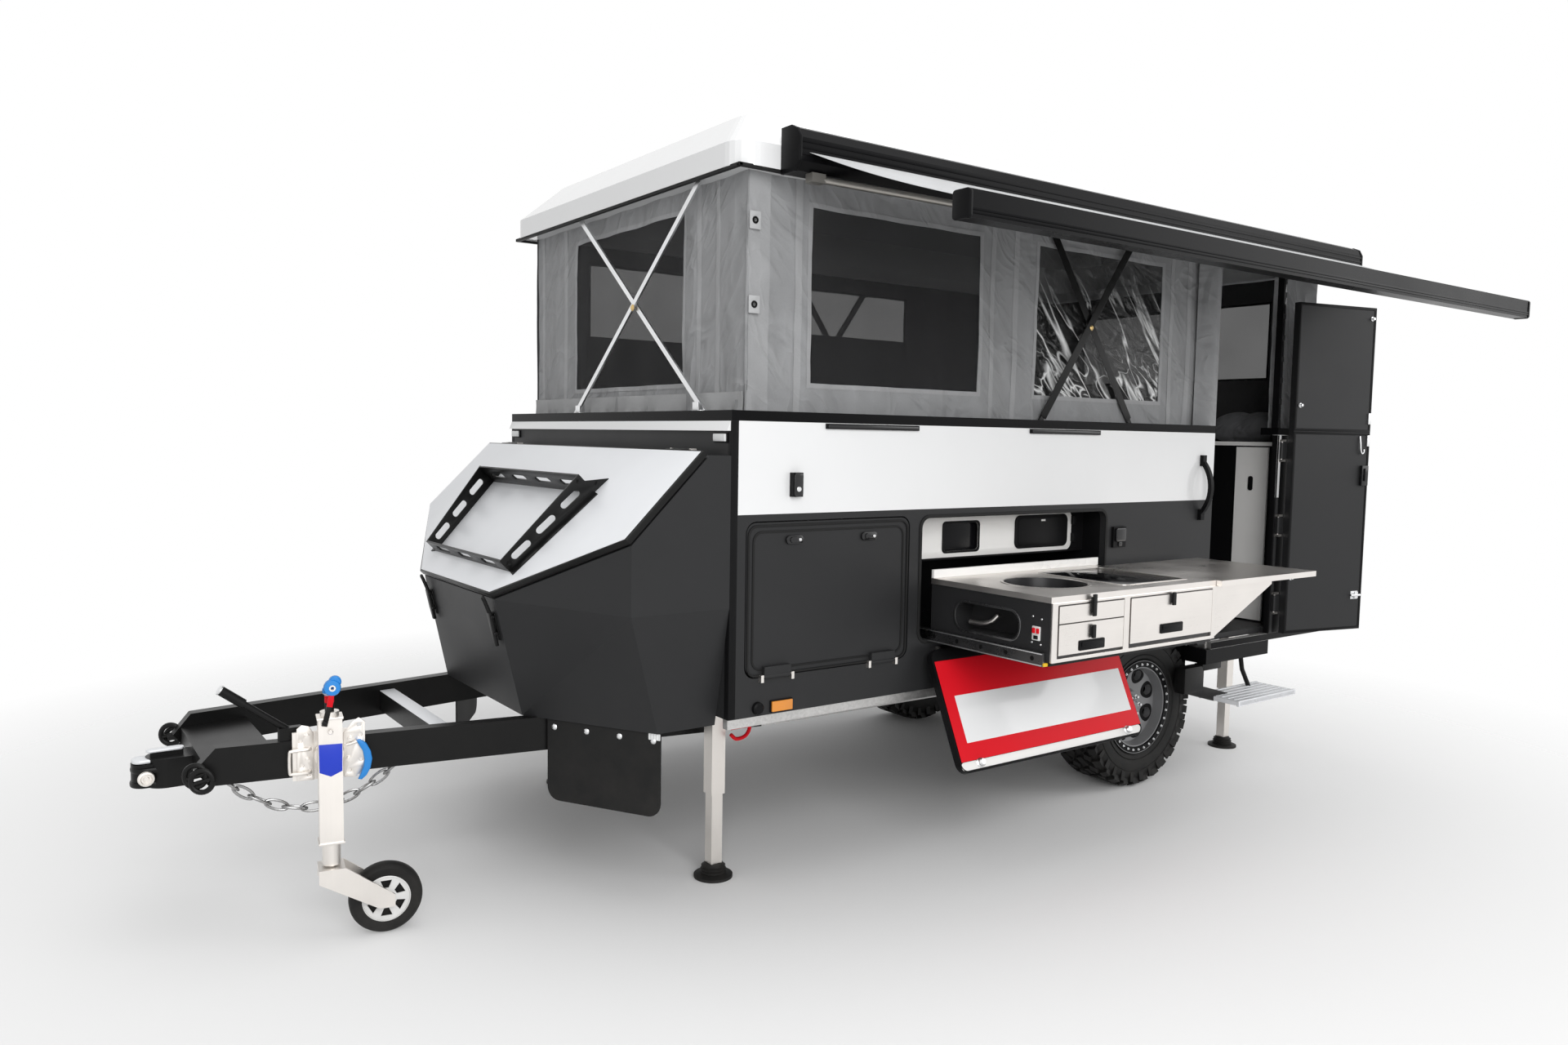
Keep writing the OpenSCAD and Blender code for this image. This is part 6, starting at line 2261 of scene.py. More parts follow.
@dataclass
class Kitchen:
    """The slide-out kitchen with its sink, hob, drawers, flap and hatch."""

    sink: float = 0.165
    sink_at: tuple[float, float] = (0.3, 0.468)
    hob_low: tuple[float, float] = (0.53, 0.145)
    hob_high: tuple[float, float] = (0.94, 0.855)
    board_low: float = 0.12
    slide_marks: int = 9
    lip_x: float = 0.020
    lip_z: float = 0.025
    open_angle: float = 155.5

    def build(self) -> None:
        """Builds the kitchen's fittings."""
        self.low, self.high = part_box("kitchen_box")
        self.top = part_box("kitchen_top")[1].z
        self._worktop()
        self._fronts()
        self._end()
        self._bay()
        self._hatch()
        dress(STEEL, "kitchen_top", "kitchen_flap", "kitchen_drawers")
        dress(BOX_STEEL, "kitchen_box")
        dress(SLIDE_DARK, "kitchen_slides")
        dress(BLACK_PLASTIC, "kitchen_bay")

    def _worktop(self) -> None:
        """Adds the sink's bowl and rim, and the hob in its recess."""
        size = self.high - self.low
        u, v = self.sink_at
        centre = Vector((self.low.x + u * size.x, self.low.y + v * size.y, self.top))
        place = plane(centre, X, Y)
        r = self.sink
        bowl = Form()
        bowl.lathe([(r - 0.001, 0.0), (r - 0.004, -0.010), (r - 0.010, -0.090), (r - 0.040, -0.118),
                    (0.030, -0.124), (0.028, -0.127), (0.0, -0.127)], place, 64)
        Form().lathe([(r - 0.003, 0.0), (r, 0.0022), (r + 0.010, 0.0020), (r + 0.013, 0.0)], place,
                     64).piece("sink_rim", STEEL)
        bowl.piece("sink_bowl", SINK_DARK)
        glass = Form()
        low, high = (Vector((self.low.x + u * size.x, self.low.y + v * size.y))
                     for u, v in (self.hob_low, self.hob_high))
        flat = plane((0, 0, self.top - 0.008), X, Y)
        glass.plate(rounded(low.x + 0.004, low.y + 0.004, high.x - 0.004, high.y - 0.004, 0.03),
                    flat, 0.007, 0.002)
        for y in (0.34, 0.66):
            spot = Vector(
                ((low.x + high.x) / 2 - 0.03, low.y + y * (high.y - low.y), self.top - 0.001))
            glass.lathe(mm((62, 0), (62, 0.8), (66, 0.8), (66, 0)), plane(spot, X, Y), 48)
        glass.piece("hob_glass", HOB_GLASS)
        Form().plate(rounded(low.x - 0.012, low.y - 0.012, high.x + 0.012, high.y + 0.012, 0.04),
                     plane((0, 0, self.top), X, Y), 0.0014, 0.0004,
                     (rounded(low.x + 0.003, low.y + 0.003, high.x - 0.003, high.y - 0.003,
                              0.03),)).piece("hob_trim", STEEL)
        Form().block((self.low.x - 0.004, self.high.y - 0.015, self.top),
                     (self.high.x + 0.018, self.high.y, self.top + 0.035), 0.003).piece(
            "worktop_upstand", WHITE_BOARD)

    def _fronts(self) -> None:
        """Adds the drawer fronts' frames, latches and slot pulls."""
        size = self.high - self.low
        face = plane((self.low.x, self.low.y - 0.012, self.low.z), X, Z)
        pulls, latches, frames = Form(), Form(), Form()
        frame_face = plane((self.low.x, self.low.y, self.low.z), X, Z)
        holes = [rounded(0.028, 0.06 * size.z, 0.405 * size.x, 0.96 * size.z, 0.004),
                 rounded(0.439 * size.x, 0.06 * size.z, 0.975 * size.x, 0.96 * size.z, 0.004)]
        frames.plate(rounded(0.0, 0.0, size.x, size.z, 0.003), frame_face, 0.010, 0.001, holes)
        frames.piece("drawer_frame", STEEL)
        for u, v in ((0.216, 0.24), (0.700, 0.33)):
            spot = face @ shift(u * size.x, v * size.z, 0)
            pulls.plate(centred(0.072, 0.019, 0.006), spot, 0.004, 0.001)
            pulls.plate(rounded(-0.062, -0.005, 0.062, 0.013, 0.004), spot, 0.008, 0.001)
        pulls.piece("drawer_pulls", BLACK_PLASTIC)
        for u, v, k in ((0.216, 0.97, 1.0), (0.216, 0.50, 0.62), (0.700, 0.90, 0.64)):
            spot = face @ shift(u * size.x, v * size.z, 0)
            latches.block((-0.013, -0.040 * k, 0.0), (0.013, 0.018 * k, 0.008), 0.003, spot)
            latches.block((-0.009, -0.054 * k, 0.004), (0.009, 0.028 * k, 0.014), 0.003, spot)
        latches.piece("drawer_latches", BLACK_STEEL)
        Form().block((self.low.x - 0.017, self.low.y + 0.010, self.low.z - 0.014),
                     (self.low.x + 0.020, self.low.y + 0.040, self.low.z - 0.001), 0.003).piece(
            "slide_tab", YELLOW)

    def _end(self) -> None:
        """Adds the end panel's pipe, sockets and switch, and the slide's tray and holes."""
        size = self.high - self.low
        face = plane((self.low.x, self.high.y, self.low.z), -Y, Z)
        rim = Form()
        wide, tall = 0.532 * size.y, 0.48 * size.z
        start = size.y - 0.242 * size.y - wide
        outer = rounded(start - 0.010, 0.275 * size.z - 0.010, start + wide + 0.010,
                        0.275 * size.z + tall + 0.010, 0.055)
        inner = rounded(start, 0.275 * size.z, start + wide, 0.275 * size.z + tall, 0.049)
        rim.plate(outer, face, 0.003, 0.001, (inner,))
        rim.piece("recess_rim", SLIDE_DARK)
        pipe = Form()
        bend = [(start + 0.05, 0.40 * size.z, -0.03), (start + 0.12, 0.42 * size.z, -0.028),
                (start + 0.17, 0.50 * size.z, -0.028), (start + 0.20, 0.62 * size.z, -0.03)]
        pipe.wire(bend, face, 0.009, 8)
        pipe.piece("recess_pipe", STEEL)
        panel = face @ shift(size.y - 0.064, 0.46 * size.z, 0)
        screws = Form()
        for u, v in ((-0.020, 0.060), (0.022, 0.054), (-0.022, -0.036), (0.020, -0.040)):
            screws.lathe(mm((0, 3), (3, 2.8), (4.5, 0)), panel @ shift(u, v, 0), 16)
        screws.piece("end_screws", ALUMINIUM)
        Form().plate(centred(0.019, 0.026, 0.003), panel, 0.004).piece(
            "end_switch_plate", HUB_WHITE)
        switch, keyhole = Form(), Form()
        for u in (-0.0095, 0.0095):
            switch.block((u - 0.006, 0.000, 0.003), (u + 0.006, 0.019, 0.009), 0.002, panel)
        switch.piece("end_switch", RED)
        keyhole.block((-0.010, -0.022, 0.003), (0.010, -0.008, 0.007), 0.002, panel)
        keyhole.piece("end_socket", BLACK_GLOSS)
        low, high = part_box("kitchen_slides")
        holes = Form()
        count = self.slide_marks
        step = (high.y - low.y - 0.10) / (count - 1)
        face = plane((low.x - 0.0002, high.y, (low.z + high.z) / 2), -Y, Z)
        holes.bolts(BLACK_STEEL, face, (0.05, 0.0, 0.0), 0.009, 0.002, count, step)
        holes.piece("slide_holes", BLACK_STEEL)
        lips = Form()
        for z in (low.z + 0.002, high.z - 0.006):
            lips.block(
                (low.x - 0.0025, low.y + 0.004, z), (low.x + 0.001, high.y, z + 0.004), 0.0008)
        lips.piece("slide_lips", ALUMINIUM)
        Form().block((self.low.x + 0.004, self.low.y + 0.004, self.low.z - 0.014),
                     (self.high.x - 0.004, self.high.y, self.low.z - 0.0005), 0.002).piece(
            "slide_tray", BLACK_STEEL)

    def _bay(self) -> None:
        """Adds the panel's framed window and locker door, and the bay's dark reveal."""
        low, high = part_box("kitchen_bay")
        x0, x1 = low.x + self.lip_x, high.x - self.lip_x
        z0, z1 = low.z + self.lip_z, high.z - self.lip_z
        wide, tall = x1 - x0, z1 - z0
        panel = plane((x0, -0.872 * LAYOUT.half, z0), X, Z)
        a, b = 0.213 * wide, 0.391 * wide
        c, d = 0.684 * tall, 0.920 * tall
        hole = rounded(a, c, b, d, 0.018)
        Form().plate(rounded(0.004, 0.628 * tall, 0.925 * wide, 0.996 * tall, 0.036), panel, 0.0016,
                     0.0005, (hole,)).piece("bay_board", WHITE_BOARD)
        frames = Form()
        frames.plate(rounded(a - 0.009, c - 0.009, b + 0.009, d + 0.009, 0.020), panel, 0.006,
                     0.002, (hole,))
        frames.plate(rounded(0.591 * wide, 0.666 * tall, 0.898 * wide, 0.964 * tall, 0.030), panel,
                     0.007, 0.003)
        frames.plate(rounded(0.606 * wide, 0.690 * tall, 0.883 * wide, 0.944 * tall, 0.022), panel,
                     0.0095, 0.003)
        frames.plate(
            rounded(0.006, 0.614 * tall, wide - 0.006, 0.632 * tall, 0.003), panel, 0.006, 0.002)
        for v in (0.70, 0.86):
            frames.plate(rounded(0.922 * wide, v * tall, 0.945 * wide, (v + 0.085) * tall, 0.004),
                         panel, 0.014, 0.003)
        frames.piece("bay_frames", BLACK_PLASTIC)
        Form().plate(rounded(a - 0.004, c - 0.004, b + 0.004, d + 0.004, 0.018),
                     panel @ shift(0, 0, -0.016), 0.003, 0.0006).piece("bay_pane", HOB_GLASS)
        Form().plate(rounded(0.736 * wide, 0.905 * tall, 0.760 * wide, 0.922 * tall, 0.001), panel,
                     0.0102, 0.0003).piece("locker_mark", WHITE_BOARD)
        reveal = Form()
        outer = rounded(-0.012, -0.012, wide + 0.012, tall + 0.012, 0.052)
        inner = rounded(0.002, 0.002, wide - 0.002, tall - 0.002, 0.040)
        reveal.plate(outer, plane((x0, -LAYOUT.half, z0), X, Z), 0.004, 0.0015, (inner,))
        reveal.piece("bay_reveal", RUBBER)

    def _hatch(self) -> None:
        """Adds the open hatch's rim, knobs and blank board."""
        swing = swung("kitchen_hatch_swing", X, self.open_angle)
        low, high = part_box("kitchen_bay")
        x0, x1 = low.x + self.lip_x, high.x - self.lip_x
        wide, tall = x1 - x0, (high.z - low.z) - 2 * self.lip_z
        hinge = joint_place("kitchen_hatch_swing")
        inner = swing @ plane((x1, -LAYOUT.half + 0.030, hinge.z), -X, Z)
        Form().plate(rounded(0.010, 0.010, wide - 0.010, tall + 0.010, 0.045), inner, 0.004, 0.0015,
                     (rounded(0.015, self.board_low * tall - 0.002, wide - 0.015, tall,
                              0.030),)).piece("hatch_rim", BLACK_PLASTIC, "kitchen_hatch")
        Form().plate(rounded(0.0155, 0.932 * tall, wide - 0.0155, tall - 0.0005, 0.016), inner,
                     0.0016, 0.0005).piece("hatch_lining", WHITE_BOARD, "kitchen_hatch")
        outer = swing @ plane((x0, -LAYOUT.half + 0.002, hinge.z), X, Z)
        Form().plate(rounded(0.0105, 0.0105, wide - 0.0105, tall + 0.0095, 0.045), outer, 0.0012,
                     0.0004).piece("hatch_skin", BODY_GREY, "kitchen_hatch")
        board = swing @ plane(
            (x1 - 0.016, -LAYOUT.half + 0.036, hinge.z + self.board_low * tall), -X, Z)
        size = (wide - 0.032, 0.81 * tall)
        Form().plate(rounded(0.0, 0.0, *size, 0.002), board, 0.0012, 0.0004).piece(
            "sign_board", RED, "kitchen_hatch")
        Form().plate(rounded(0.03 * size[0], 0.36 * size[1], 0.95 * size[0], 0.83 * size[1], 0.002),
                     board @ shift(0, 0, 0.0012), 0.0006, 0.0002).piece(
            "sign_panel", BODY_WHITE, "kitchen_hatch")
        knobs = Form()
        for share in (0.10, 0.90):
            spot = inner @ shift(share * wide, tall - 0.022, 0.0016)
            knobs.lathe(mm((0, 24), (12, 23), (16, 18), (14, 8), (20, 4), (20, 0)), spot, 28)
        knobs.piece("hatch_knobs", ALUMINIUM, "kitchen_hatch")
        dress(BLACK_PLASTIC, "kitchen_hatch")


@dataclass
class EntryDoor:
    """The open entry door, its posts, the doorway's cabin fittings and the step."""

    open_angle: float = 167.0
    leaf: float = 0.035
    margin: float = 0.033
    hinges: int = 7
    ridges: int = 5

    def build(self) -> None:
        """Dresses the door, the doorway and the step."""
        self._leaf()
        self._posts()
        self._cabin()
        self._step()
        dress(BODY_GREY, "door_lower", "door_upper")

    def _leaf(self) -> None:
        """Adds the leaf's edge frame, split line, latches and knobs on its inner face."""
        swing = swung("entry_door_swing", Z, self.open_angle)
        posts_low, posts_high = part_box("door_posts")
        x0, x1 = posts_low.x + self.margin, posts_high.x - self.margin
        lower_low, lower_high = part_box("door_lower")
        upper_low, upper_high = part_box("door_upper")
        face = swing @ plane((x1, -LAYOUT.half + 0.002 + self.leaf, 0), -X, Z)
        wide = x1 - x0
        edges = Form()
        for low, high in ((lower_low.z, lower_high.z), (upper_low.z, upper_high.z)):
            edges.plate(
                rounded(0.001, low + 0.001, wide - 0.001, high - 0.001, 0.004), face, 0.0016,
                0.0006, (rounded(0.016, low + 0.016, wide - 0.016, high - 0.016, 0.004),))
        edges.piece("door_edges", BLACK_PLASTIC, "entry_door")
        metal = Form()
        for u, v in ((0.036, upper_low.z + 0.136), (wide - 0.030, upper_high.z - 0.060),
                     (0.030, lower_low.z + 0.30)):
            spot = face @ shift(u, v, 0)
            metal.lathe(mm((0, 16), (7, 15), (9, 10), (6, 4), (12, 2), (12, 0)), spot, 24)
        for v in (lower_high.z - 0.045, upper_low.z + 0.075):
            spot = face @ shift(wide - 0.016, v, 0)
            metal.block((-0.010, -0.030, 0.0), (0.010, 0.030, 0.008), 0.002, spot)
        bolt = face @ shift(wide - 0.056, lower_low.z + 0.190, 0)
        metal.block((-0.026, -0.022, 0.0), (0.026, 0.022, 0.003), 0.001, bolt)
        metal.block((-0.008, -0.018, 0.002), (0.018, 0.018, 0.014), 0.003, bolt)
        metal.rod(bolt @ Vector((-0.034, 0.0, 0.011)), bolt @ Vector((0.036, 0.0, 0.011)), 0.006)
        hook = face @ shift(wide - 0.080, lower_high.z - 0.030, 0.006)
        curl = mm((0, 10, 0), (2, -30, 4), (4, -66, 6), (14, -84, 6), (26, -78, 6), (28, -62, 6))
        metal.wire(curl, hook, 0.0040)
        metal.piece("door_knobs", ALUMINIUM, "entry_door")
        latch = Form()
        spot = face @ shift(wide - 0.040, lower_high.z - 0.235, 0)
        latch.block((-0.024, -0.055, 0.0), (0.024, 0.055, 0.018), 0.004, spot)
        latch.block((-0.012, -0.030, 0.012), (0.012, 0.040, 0.028), 0.004, spot)
        latch.piece("door_latch", BLACK_GLOSS, "entry_door")

    def _posts(self) -> None:
        """Adds the piano hinge's leaves along the rear post."""
        low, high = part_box("door_posts")
        strip = Form()
        for k in range(self.hinges):
            z = low.z + 0.04 + 0.112 * k
            strip.block((high.x - 0.020, low.y - 0.0015, z),
                        (high.x - 0.004, low.y + 0.002, z + 0.085), 0.001)
        strip.piece("post_hinge", BLACK_GLOSS)
        jamb = Form()
        edge = high.x - POST_LAP
        for a, b in ((0.0005, 0.0145), (0.0355, 0.115)):
            face = LAYOUT.face(edge, 0.0, Side.LEFT)
            jamb.plate(rounded(a, LAYOUT.floor + 0.004, b, LAYOUT.rail - 0.002, 0.002), face,
                       0.0008, 0.0002)
        jamb.block((edge - 0.0006, -LAYOUT.half + 0.0003, LAYOUT.floor + 0.002),
                   (edge + 0.0004, -LAYOUT.half + 0.0308, LAYOUT.rail - 0.001), 0.0001)
        jamb.piece("door_jamb", BLACK_PLASTIC)
        sill = Form()
        face = LAYOUT.face(0.0, 0.0, Side.LEFT, -0.005)
        start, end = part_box("tyre_left")[1].x + 0.03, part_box("chassis")[1].x - 0.001
        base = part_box("sill_box")[1].z + 0.001
        sill.plate(rounded(start, base, end, LAYOUT.floor - 0.001, 0.002), face, 0.0012, 0.0003)
        sill.piece("rear_sill", BLACK_PLASTIC)

    def _cabin(self) -> None:
        """Dresses the cupboard that shows through the doorway, and lays the pillow on it."""
        low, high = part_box("cabin_panel")
        pull = Form()
        face = plane((low.x, (low.y + high.y) / 2, high.z - 0.200), -Y, Z)
        pull.plate(centred(0.014, 0.040, 0.012), face, 0.006, 0.002)
        pull.piece("panel_pull", BLACK_PLASTIC)
        shelf_low, shelf_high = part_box("cabin_cabinet")
        Form().block((shelf_low.x - 0.010, shelf_low.y, shelf_high.z - 0.022),
                     (shelf_low.x, shelf_high.y, shelf_high.z), 0.002).piece(
            "shelf_edge", WHITE_BOARD)
        dress(BLACK_PLASTIC, "cabin_cabinet")
        dress(WHITE_BOARD, "cabin_panel")
        self._pillow()

    def _pillow(self) -> None:
        """Builds the pillow as a crowned, swollen form with a waist between its two lobes."""
        low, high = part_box("cabin_cushion")
        size, centre = high - low, (high + low) / 2
        made = bmesh.new()
        bmesh.ops.create_cube(made, size=1.0)
        bmesh.ops.subdivide_edges(made, edges=made.edges[:], cuts=15, use_grid_fill=True)
        for vert in made.verts:
            u, v, w = vert.co * 2
            crown = (1 - 0.55 * u ** 4) * (1 - 0.45 * v ** 4)
            waist = 1 - 0.22 * math.exp(-(v / 0.22) ** 2)
            pull = 1 - 0.08 * (1 - abs(u)) * abs(v) ** 3
            tall = w * crown * waist if w > 0 else w * (0.7 + 0.3 * crown)
            vert.co = (u * (1 - 0.10 * v ** 4) * 0.47 * size.x, v * pull * 0.47 * size.y,
                       tall * 0.46 * size.z)
            vert.co += centre
        mesh = bpy.data.meshes.new("pillow")
        made.to_mesh(mesh)
        made.free()
        pillow = self._swell(mesh)
        piece = as_piece(pillow, "cabin_pillow", PILLOW, "trailer", ("cabin_cushion",), 70)

    @staticmethod
    def _swell(mesh: bpy.types.Mesh, reach: float = 0.010, cell: float = 0.007,
               pressure: float = 4.0, frames: int = 20) -> bpy.types.Mesh:
        """Swells a pad by cloth simulation, with a cap on how far a point may move.

        Args:
            mesh: The pad's start, which is deleted.
            reach: The cap.
            cell: Size of the even mesh's faces.
            pressure: The air's push from inside.
            frames: How long the air pushes.

        Returns:
            The swollen mesh.
        """
        pad = bpy.data.objects.new("pad", mesh)
        bpy.context.scene.collection.objects.link(pad)
        remesh = pad.modifiers.new("even", "REMESH")
        remesh.mode = "VOXEL"
        remesh.voxel_size = cell
        even = evaluated(pad)
        pad.modifiers.clear()
        pad.data = even
        bpy.data.meshes.remove(mesh)
        start = [vert.co.copy() for vert in even.vertices]
        cloth = pad.modifiers.new("swell", "CLOTH")
        cloth.settings.use_pressure = True
        cloth.settings.uniform_pressure_force = pressure
        cloth.settings.effector_weights.gravity = 0.0
        scene = bpy.context.scene
        for step in range(1, frames + 1):
            scene.frame_set(step)
        swollen = evaluated(pad)
        scene.frame_set(1)
        for vert, before in zip(swollen.vertices, start):
            move = vert.co - before
            if move.length > reach:
                vert.co = before + move * (reach / move.length)
        pad.modifiers.clear()
        pad.data = swollen
        bpy.data.meshes.remove(even)
        smooth = pad.modifiers.new("smooth", "SUBSURF")
        smooth.levels = smooth.render_levels = 1
        made = evaluated(pad)
        used = pad.data
        bpy.data.objects.remove(pad)
        bpy.data.meshes.remove(used)
        return made

    def _step(self) -> None:
        """Builds the step's tread with its raised lips, its arms and its pivot housing."""
        low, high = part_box("entry_step")
        posts = LAYOUT.door
        xa = posts + 0.115
        xb, ya, yb = high.x, low.y, -LAYOUT.half + 0.100
        tread = Form()
        flat = plane((0, 0, low.z + 0.004), X, Y)
        tread.plate(rounded(xa, ya, xb, yb, 0.012), flat, 0.022, 0.002)
        for a, b in ((ya, ya + 0.014), (yb - 0.014, yb)):
            tread.block((xa, a, low.z), (xb, b, low.z + 0.030), 0.003)
        for k in range(self.ridges):
            y = ya + 0.036 + 0.036 * k
            tread.block(
                (xa + 0.020, y, low.z + 0.025), (xb - 0.020, y + 0.010, low.z + 0.029), 0.0015)
        tread.piece("step_tread", LID_SILVER, "trailer", ("entry_step",))
        arms = Form()
        half = LAYOUT.half
        base = LAYOUT.ground
        arms.block((posts - 0.145, -half + 0.010, base + 0.450),
                   (posts + 0.020, -half + 0.075, base + 0.585), 0.012)
        arms.block((posts, -half + 0.010, base + 0.556),
                   (posts + 0.165, -half + 0.060, base + 0.590), 0.004)
        outline = [(posts - 0.120, base + 0.452), (posts, base + 0.480), (xa + 0.130, base + 0.414),
                   (xa + 0.130, base + 0.386), (xa + 0.004, base + 0.386)]
        arms.plate([(u, v) for u, v in reversed(outline)], plane((0, -half + 0.044, 0), X, Z),
                   0.030, 0.003)
        arms.piece("step_arms", BLACK_STEEL, "trailer", ("entry_step",))
        brace = Form()
        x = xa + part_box("door_posts")[1].x - posts - 0.056 - 0.150
        brace.tube([(x, -half + 0.060, base + 0.410), (x - 0.02, -half + 0.090, base + 0.500),
                    (x - 0.03, -half + 0.100, base + 0.595)], 0.012)
        brace.piece("step_brace", BLACK_STEEL, "trailer", ("entry_step",))


@dataclass
class Underbody:
    """What carries the body: legs, flaps, arms, springs and the chassis."""

    handle: float = 0.0075
    foot: float = 0.075
    flap_bolts: int = 4

    def build(self) -> None:
        """Dresses the solids and adds the flaps' bolts and the legs' handles."""
        dress(ZINC, "chassis")
        dress(PLATED, "stabiliser_legs")
        dress(BLACK_STEEL, "trailing_arms")
        dress(SPRING, "coil_springs")
        dress(RUBBER, "stone_flaps", "wheel_guards")
        self._feet()
        dress(BODY_GREY, "body_floor")
        self._flap_bolts()
        self._leg_handles()

    def _flap_bolts(self) -> None:
        """Adds a row of dome bolts with dark washers along the top of each front flap."""
        start = Vector((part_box("stone_flaps")[0].x + 0.005, 0.4943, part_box("drawbar")[1].z - 0.030))
        bolts, washers, marks = Form(), Form(), Form()
        for side in Side:
            run = Vector((0.506, side.value * 0.8625, 0.0))
            first = Vector((start.x, side.value * start.y, start.z)) + run * 0.030
            face = plane(Vector((start.x, side.value * start.y, start.z + 0.016)) + run * 0.455,
                         run * -side.value, Z)
            marks.plate(centred(0.024, 0.012, 0.003), face, 0.008, 0.002)
            for k in range(self.flap_bolts):
                spot = first + run * 0.140 * k
                face = plane(spot, run * -side.value, Z)
                washers.lathe(mm((0, 1.8), (17, 1.8), (19, 0)), face, 24)
                bolts.lathe(mm((0, 11), (6, 10.2), (11, 7), (13.5, 1.8)), face, 24)
        washers.piece("flap_washers", BLACK_PLASTIC)
        bolts.piece("flap_bolts", ALUMINIUM)
        marks.piece("flap_markers", WHITE_LENS)

    def _feet(self) -> None:
        """Covers each leg's foot with a ribbed black boot."""
        low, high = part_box("stabiliser_legs")
        radius = self.foot
        form = Form()
        for x in (low.x + radius, high.x - radius):
            for side in Side:
                base = plane((x, side.value * (high.y - radius + 0.0002), low.z), X, Y)
                rows = [(radius + 0.001, 0.0005), (radius + 0.001, 0.011), (0.060, 0.014)]
                for k in range(3):
                    z = 0.016 + 0.012 * k
                    rows += [(0.050 - 0.003 * k, z), (0.053 - 0.003 * k, z + 0.006),
                             (0.046 - 0.003 * k, z + 0.010)]
                form.lathe([*rows, (0.036, 0.056), (0.026, 0.058)], base, 40)
        form.piece("leg_feet", RUBBER)

    def _leg_handles(self) -> None:
        """Bends a red lock handle on each leg."""
        form = Form()
        low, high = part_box("stabiliser_legs")
        for x in (low.x + self.foot, high.x - self.foot):
            for side in Side:
                y = side.value * 0.760
                loop = [(x + 0.035, y, LAYOUT.floor - 0.105), (x + 0.110, y, LAYOUT.floor - 0.105),
                        (x + 0.120, y, LAYOUT.floor - 0.120), (x + 0.100, y, LAYOUT.floor - 0.145),
                        (x + 0.060, y, LAYOUT.floor - 0.150), (x + 0.035, y, LAYOUT.floor - 0.130)]
                form.tube(smooth_line([Vector(p) for p in loop], 4), self.handle)
        form.piece("leg_handles", RED)


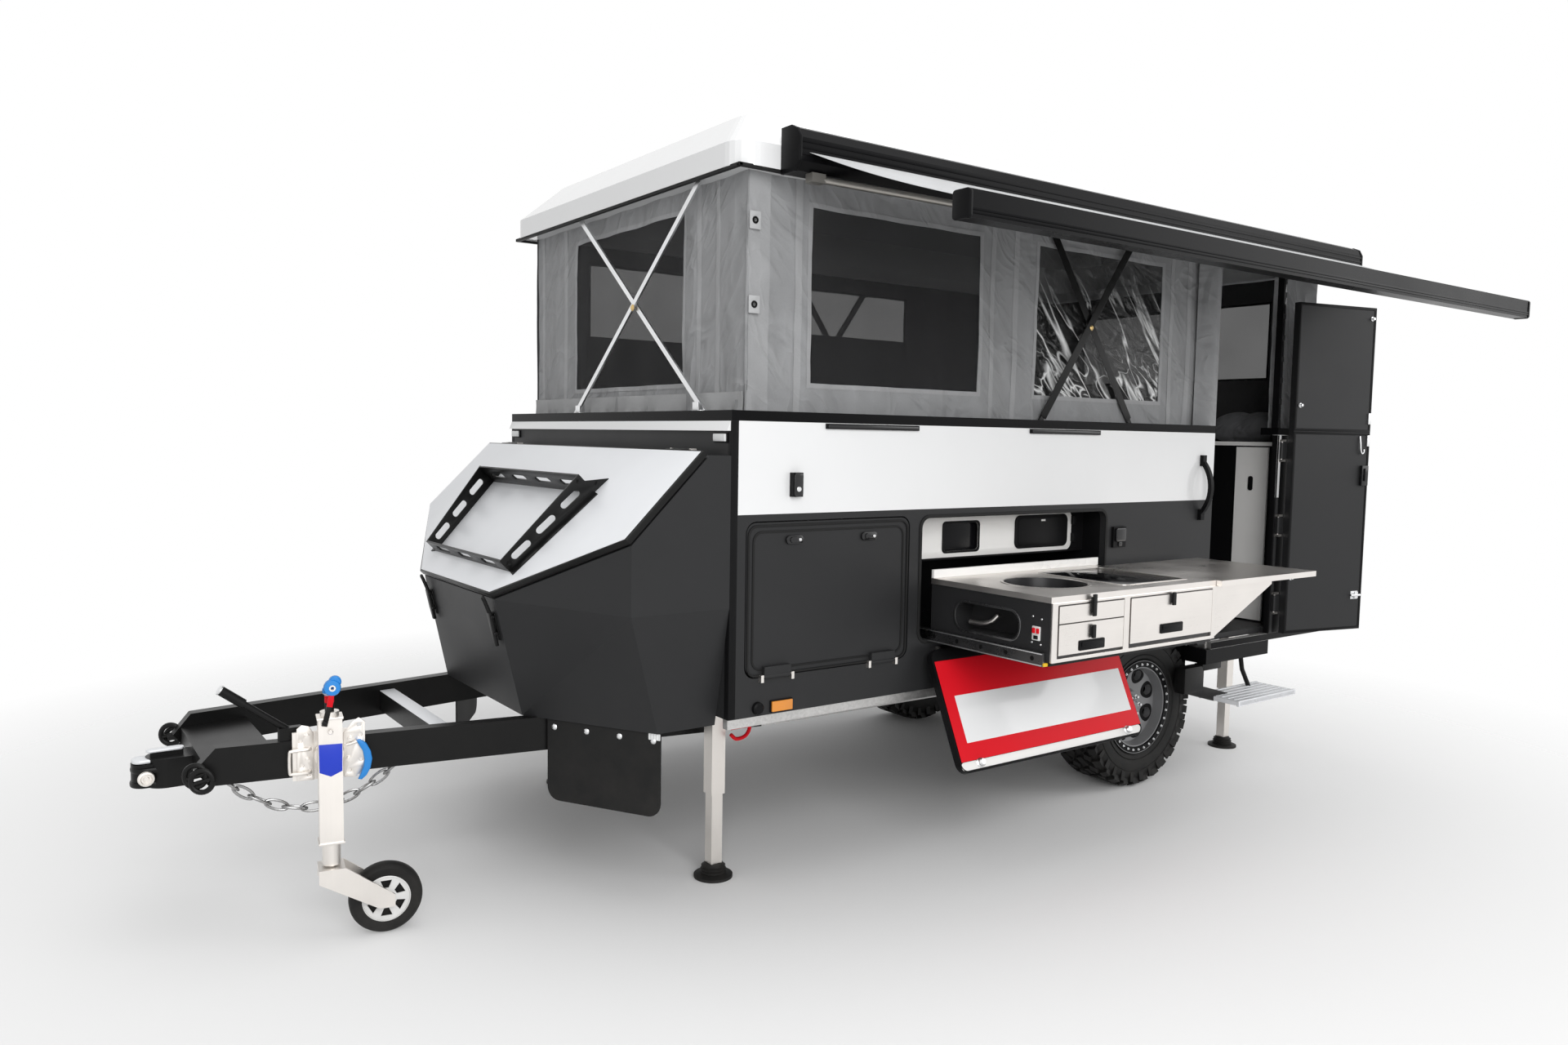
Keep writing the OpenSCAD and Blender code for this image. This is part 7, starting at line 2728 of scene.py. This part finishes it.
@dataclass
class Studio:
    """The pale floor, the soft light and the camera."""

    eye: tuple[float, float, float] = (-0.4622, -4.2556, 1.2228)
    yaw: float = 35.747
    pitch: float = -4.415
    roll: float = 0.95
    lens: float = 25.38
    ambient: float = 0.50
    floor: float = 11.0
    floor_tone: float = 0.93
    fade: tuple[float, float] = (1.6, 5.2)
    lamps: tuple[tuple[str, tuple[float, float, float], float, float], ...] = (
        ("overhead", (0.0, -0.6, 5.2), 6.0, 104.0),
        ("front_left", (-3.2, -6.3, 2.4), 4.0, 226.0),
        ("rear_left", (4.6, -4.4, 2.8), 4.0, 80.0),
    )

    def build(self) -> None:
        """Sets up the camera, the floor and the light."""
        self._camera()
        self._floor()
        self._world()
        middle = Vector(((LAYOUT.front + LAYOUT.rear) / 2 - 0.6, 0, 0.6))
        for name, away, size, watts in self.lamps:
            self._lamp(name, middle + Vector(away), middle, size, watts)

    def _camera(self) -> None:
        """Places the camera at the photograph's view."""
        yaw, pitch, roll = (math.radians(a) for a in (self.yaw, self.pitch, self.roll))
        ahead = Vector(
            (math.sin(yaw) * math.cos(pitch), math.cos(yaw) * math.cos(pitch), math.sin(pitch)))
        right = Vector((math.cos(yaw), -math.sin(yaw), 0))
        up = right.cross(ahead)
        across = math.cos(roll) * right + math.sin(roll) * up
        above = -math.sin(roll) * right + math.cos(roll) * up
        data = bpy.data.cameras.new("camera")
        data.lens = self.lens
        data.sensor_fit = "HORIZONTAL"
        data.sensor_width = 36.0
        camera = bpy.data.objects.new("camera", data)
        bpy.context.scene.collection.objects.link(camera)
        turned = Matrix((across, above, -ahead)).transposed().to_4x4()
        turned.translation = Vector(self.eye)
        camera.matrix_world = turned
        bpy.context.scene.camera = camera

    def _floor(self) -> None:
        """Lays a pale floor that fades out away from the trailer."""
        middle = Vector(((LAYOUT.front + LAYOUT.rear) / 2 - 0.8, 0, LAYOUT.ground - 0.0005))
        form = bmesh.new()
        bmesh.ops.create_circle(
            form, cap_ends=True, segments=96, radius=self.floor, matrix=Matrix.Translation(middle))
        mesh = bpy.data.meshes.new("floor")
        form.to_mesh(mesh)
        form.free()
        floor = bpy.data.objects.new("floor", mesh)
        bpy.context.scene.collection.objects.link(floor)
        shader = Shader("pale_floor")
        away = shader.node("ShaderNodeVectorMath", {0: shader.place, 1: tuple(middle)},
                           operation="DISTANCE").outputs["Value"]
        shader.set(Base_Color=rgba((self.floor_tone,) * 3), Roughness=0.85)
        shader.set(Alpha=shader.less(1.0, shader.ramp(away, *self.fade)))
        mesh.materials.append(shader.material)

    def _world(self) -> None:
        """Lights the studio evenly, and shows white behind the trailer."""
        world = bpy.data.worlds.new("studio")
        world.use_nodes = True
        bpy.context.scene.world = world
        graph = Graph(world.node_tree)
        back = world.node_tree.nodes["Background"]
        path = graph.node("ShaderNodeLightPath").outputs
        seen = graph.math("MAXIMUM", path["Is Camera Ray"], path["Is Transmission Ray"])
        seen = graph.math("MAXIMUM", seen, path["Is Glossy Ray"])
        strength = graph.add(graph.mul(seen, 1.0 - self.ambient), self.ambient)
        back.inputs["Color"].default_value = (1.0, 1.0, 1.0, 1.0)
        graph.feed(back.inputs["Strength"], strength)

    @staticmethod
    def _lamp(name: str, place: Vector, target: Vector, size: float, watts: float) -> None:
        """Hangs a soft lamp that faces a point.

        Args:
            name: The lamp's name.
            place: Where it hangs.
            target: What it faces.
            size: Width of its square face.
            watts: Its power.
        """
        data = bpy.data.lights.new(name, "AREA")
        data.energy = watts
        data.size = size
        lamp = bpy.data.objects.new(name, data)
        bpy.context.scene.collection.objects.link(lamp)
        turned = (target - place).to_track_quat("-Z", "Y").to_matrix().to_4x4()
        turned.translation = place
        lamp.matrix_world = turned


def main() -> None:
    """Builds the sub-assemblies in order."""
    logging.basicConfig(level=logging.INFO, format="%(message)s")
    bpy.context.scene.view_settings.view_transform = "Standard"
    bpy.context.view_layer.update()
    Studio().build()
    for side in Side:
        RoadWheel(side).build()
    for part in (JockeyStand(), Drawbar(), NoseBox(), BodySides(), RaisedRoof(), Awning(),
                 Kitchen(), EntryDoor(), Underbody()):
        part.build()


if __name__ == "__main__":
    main()
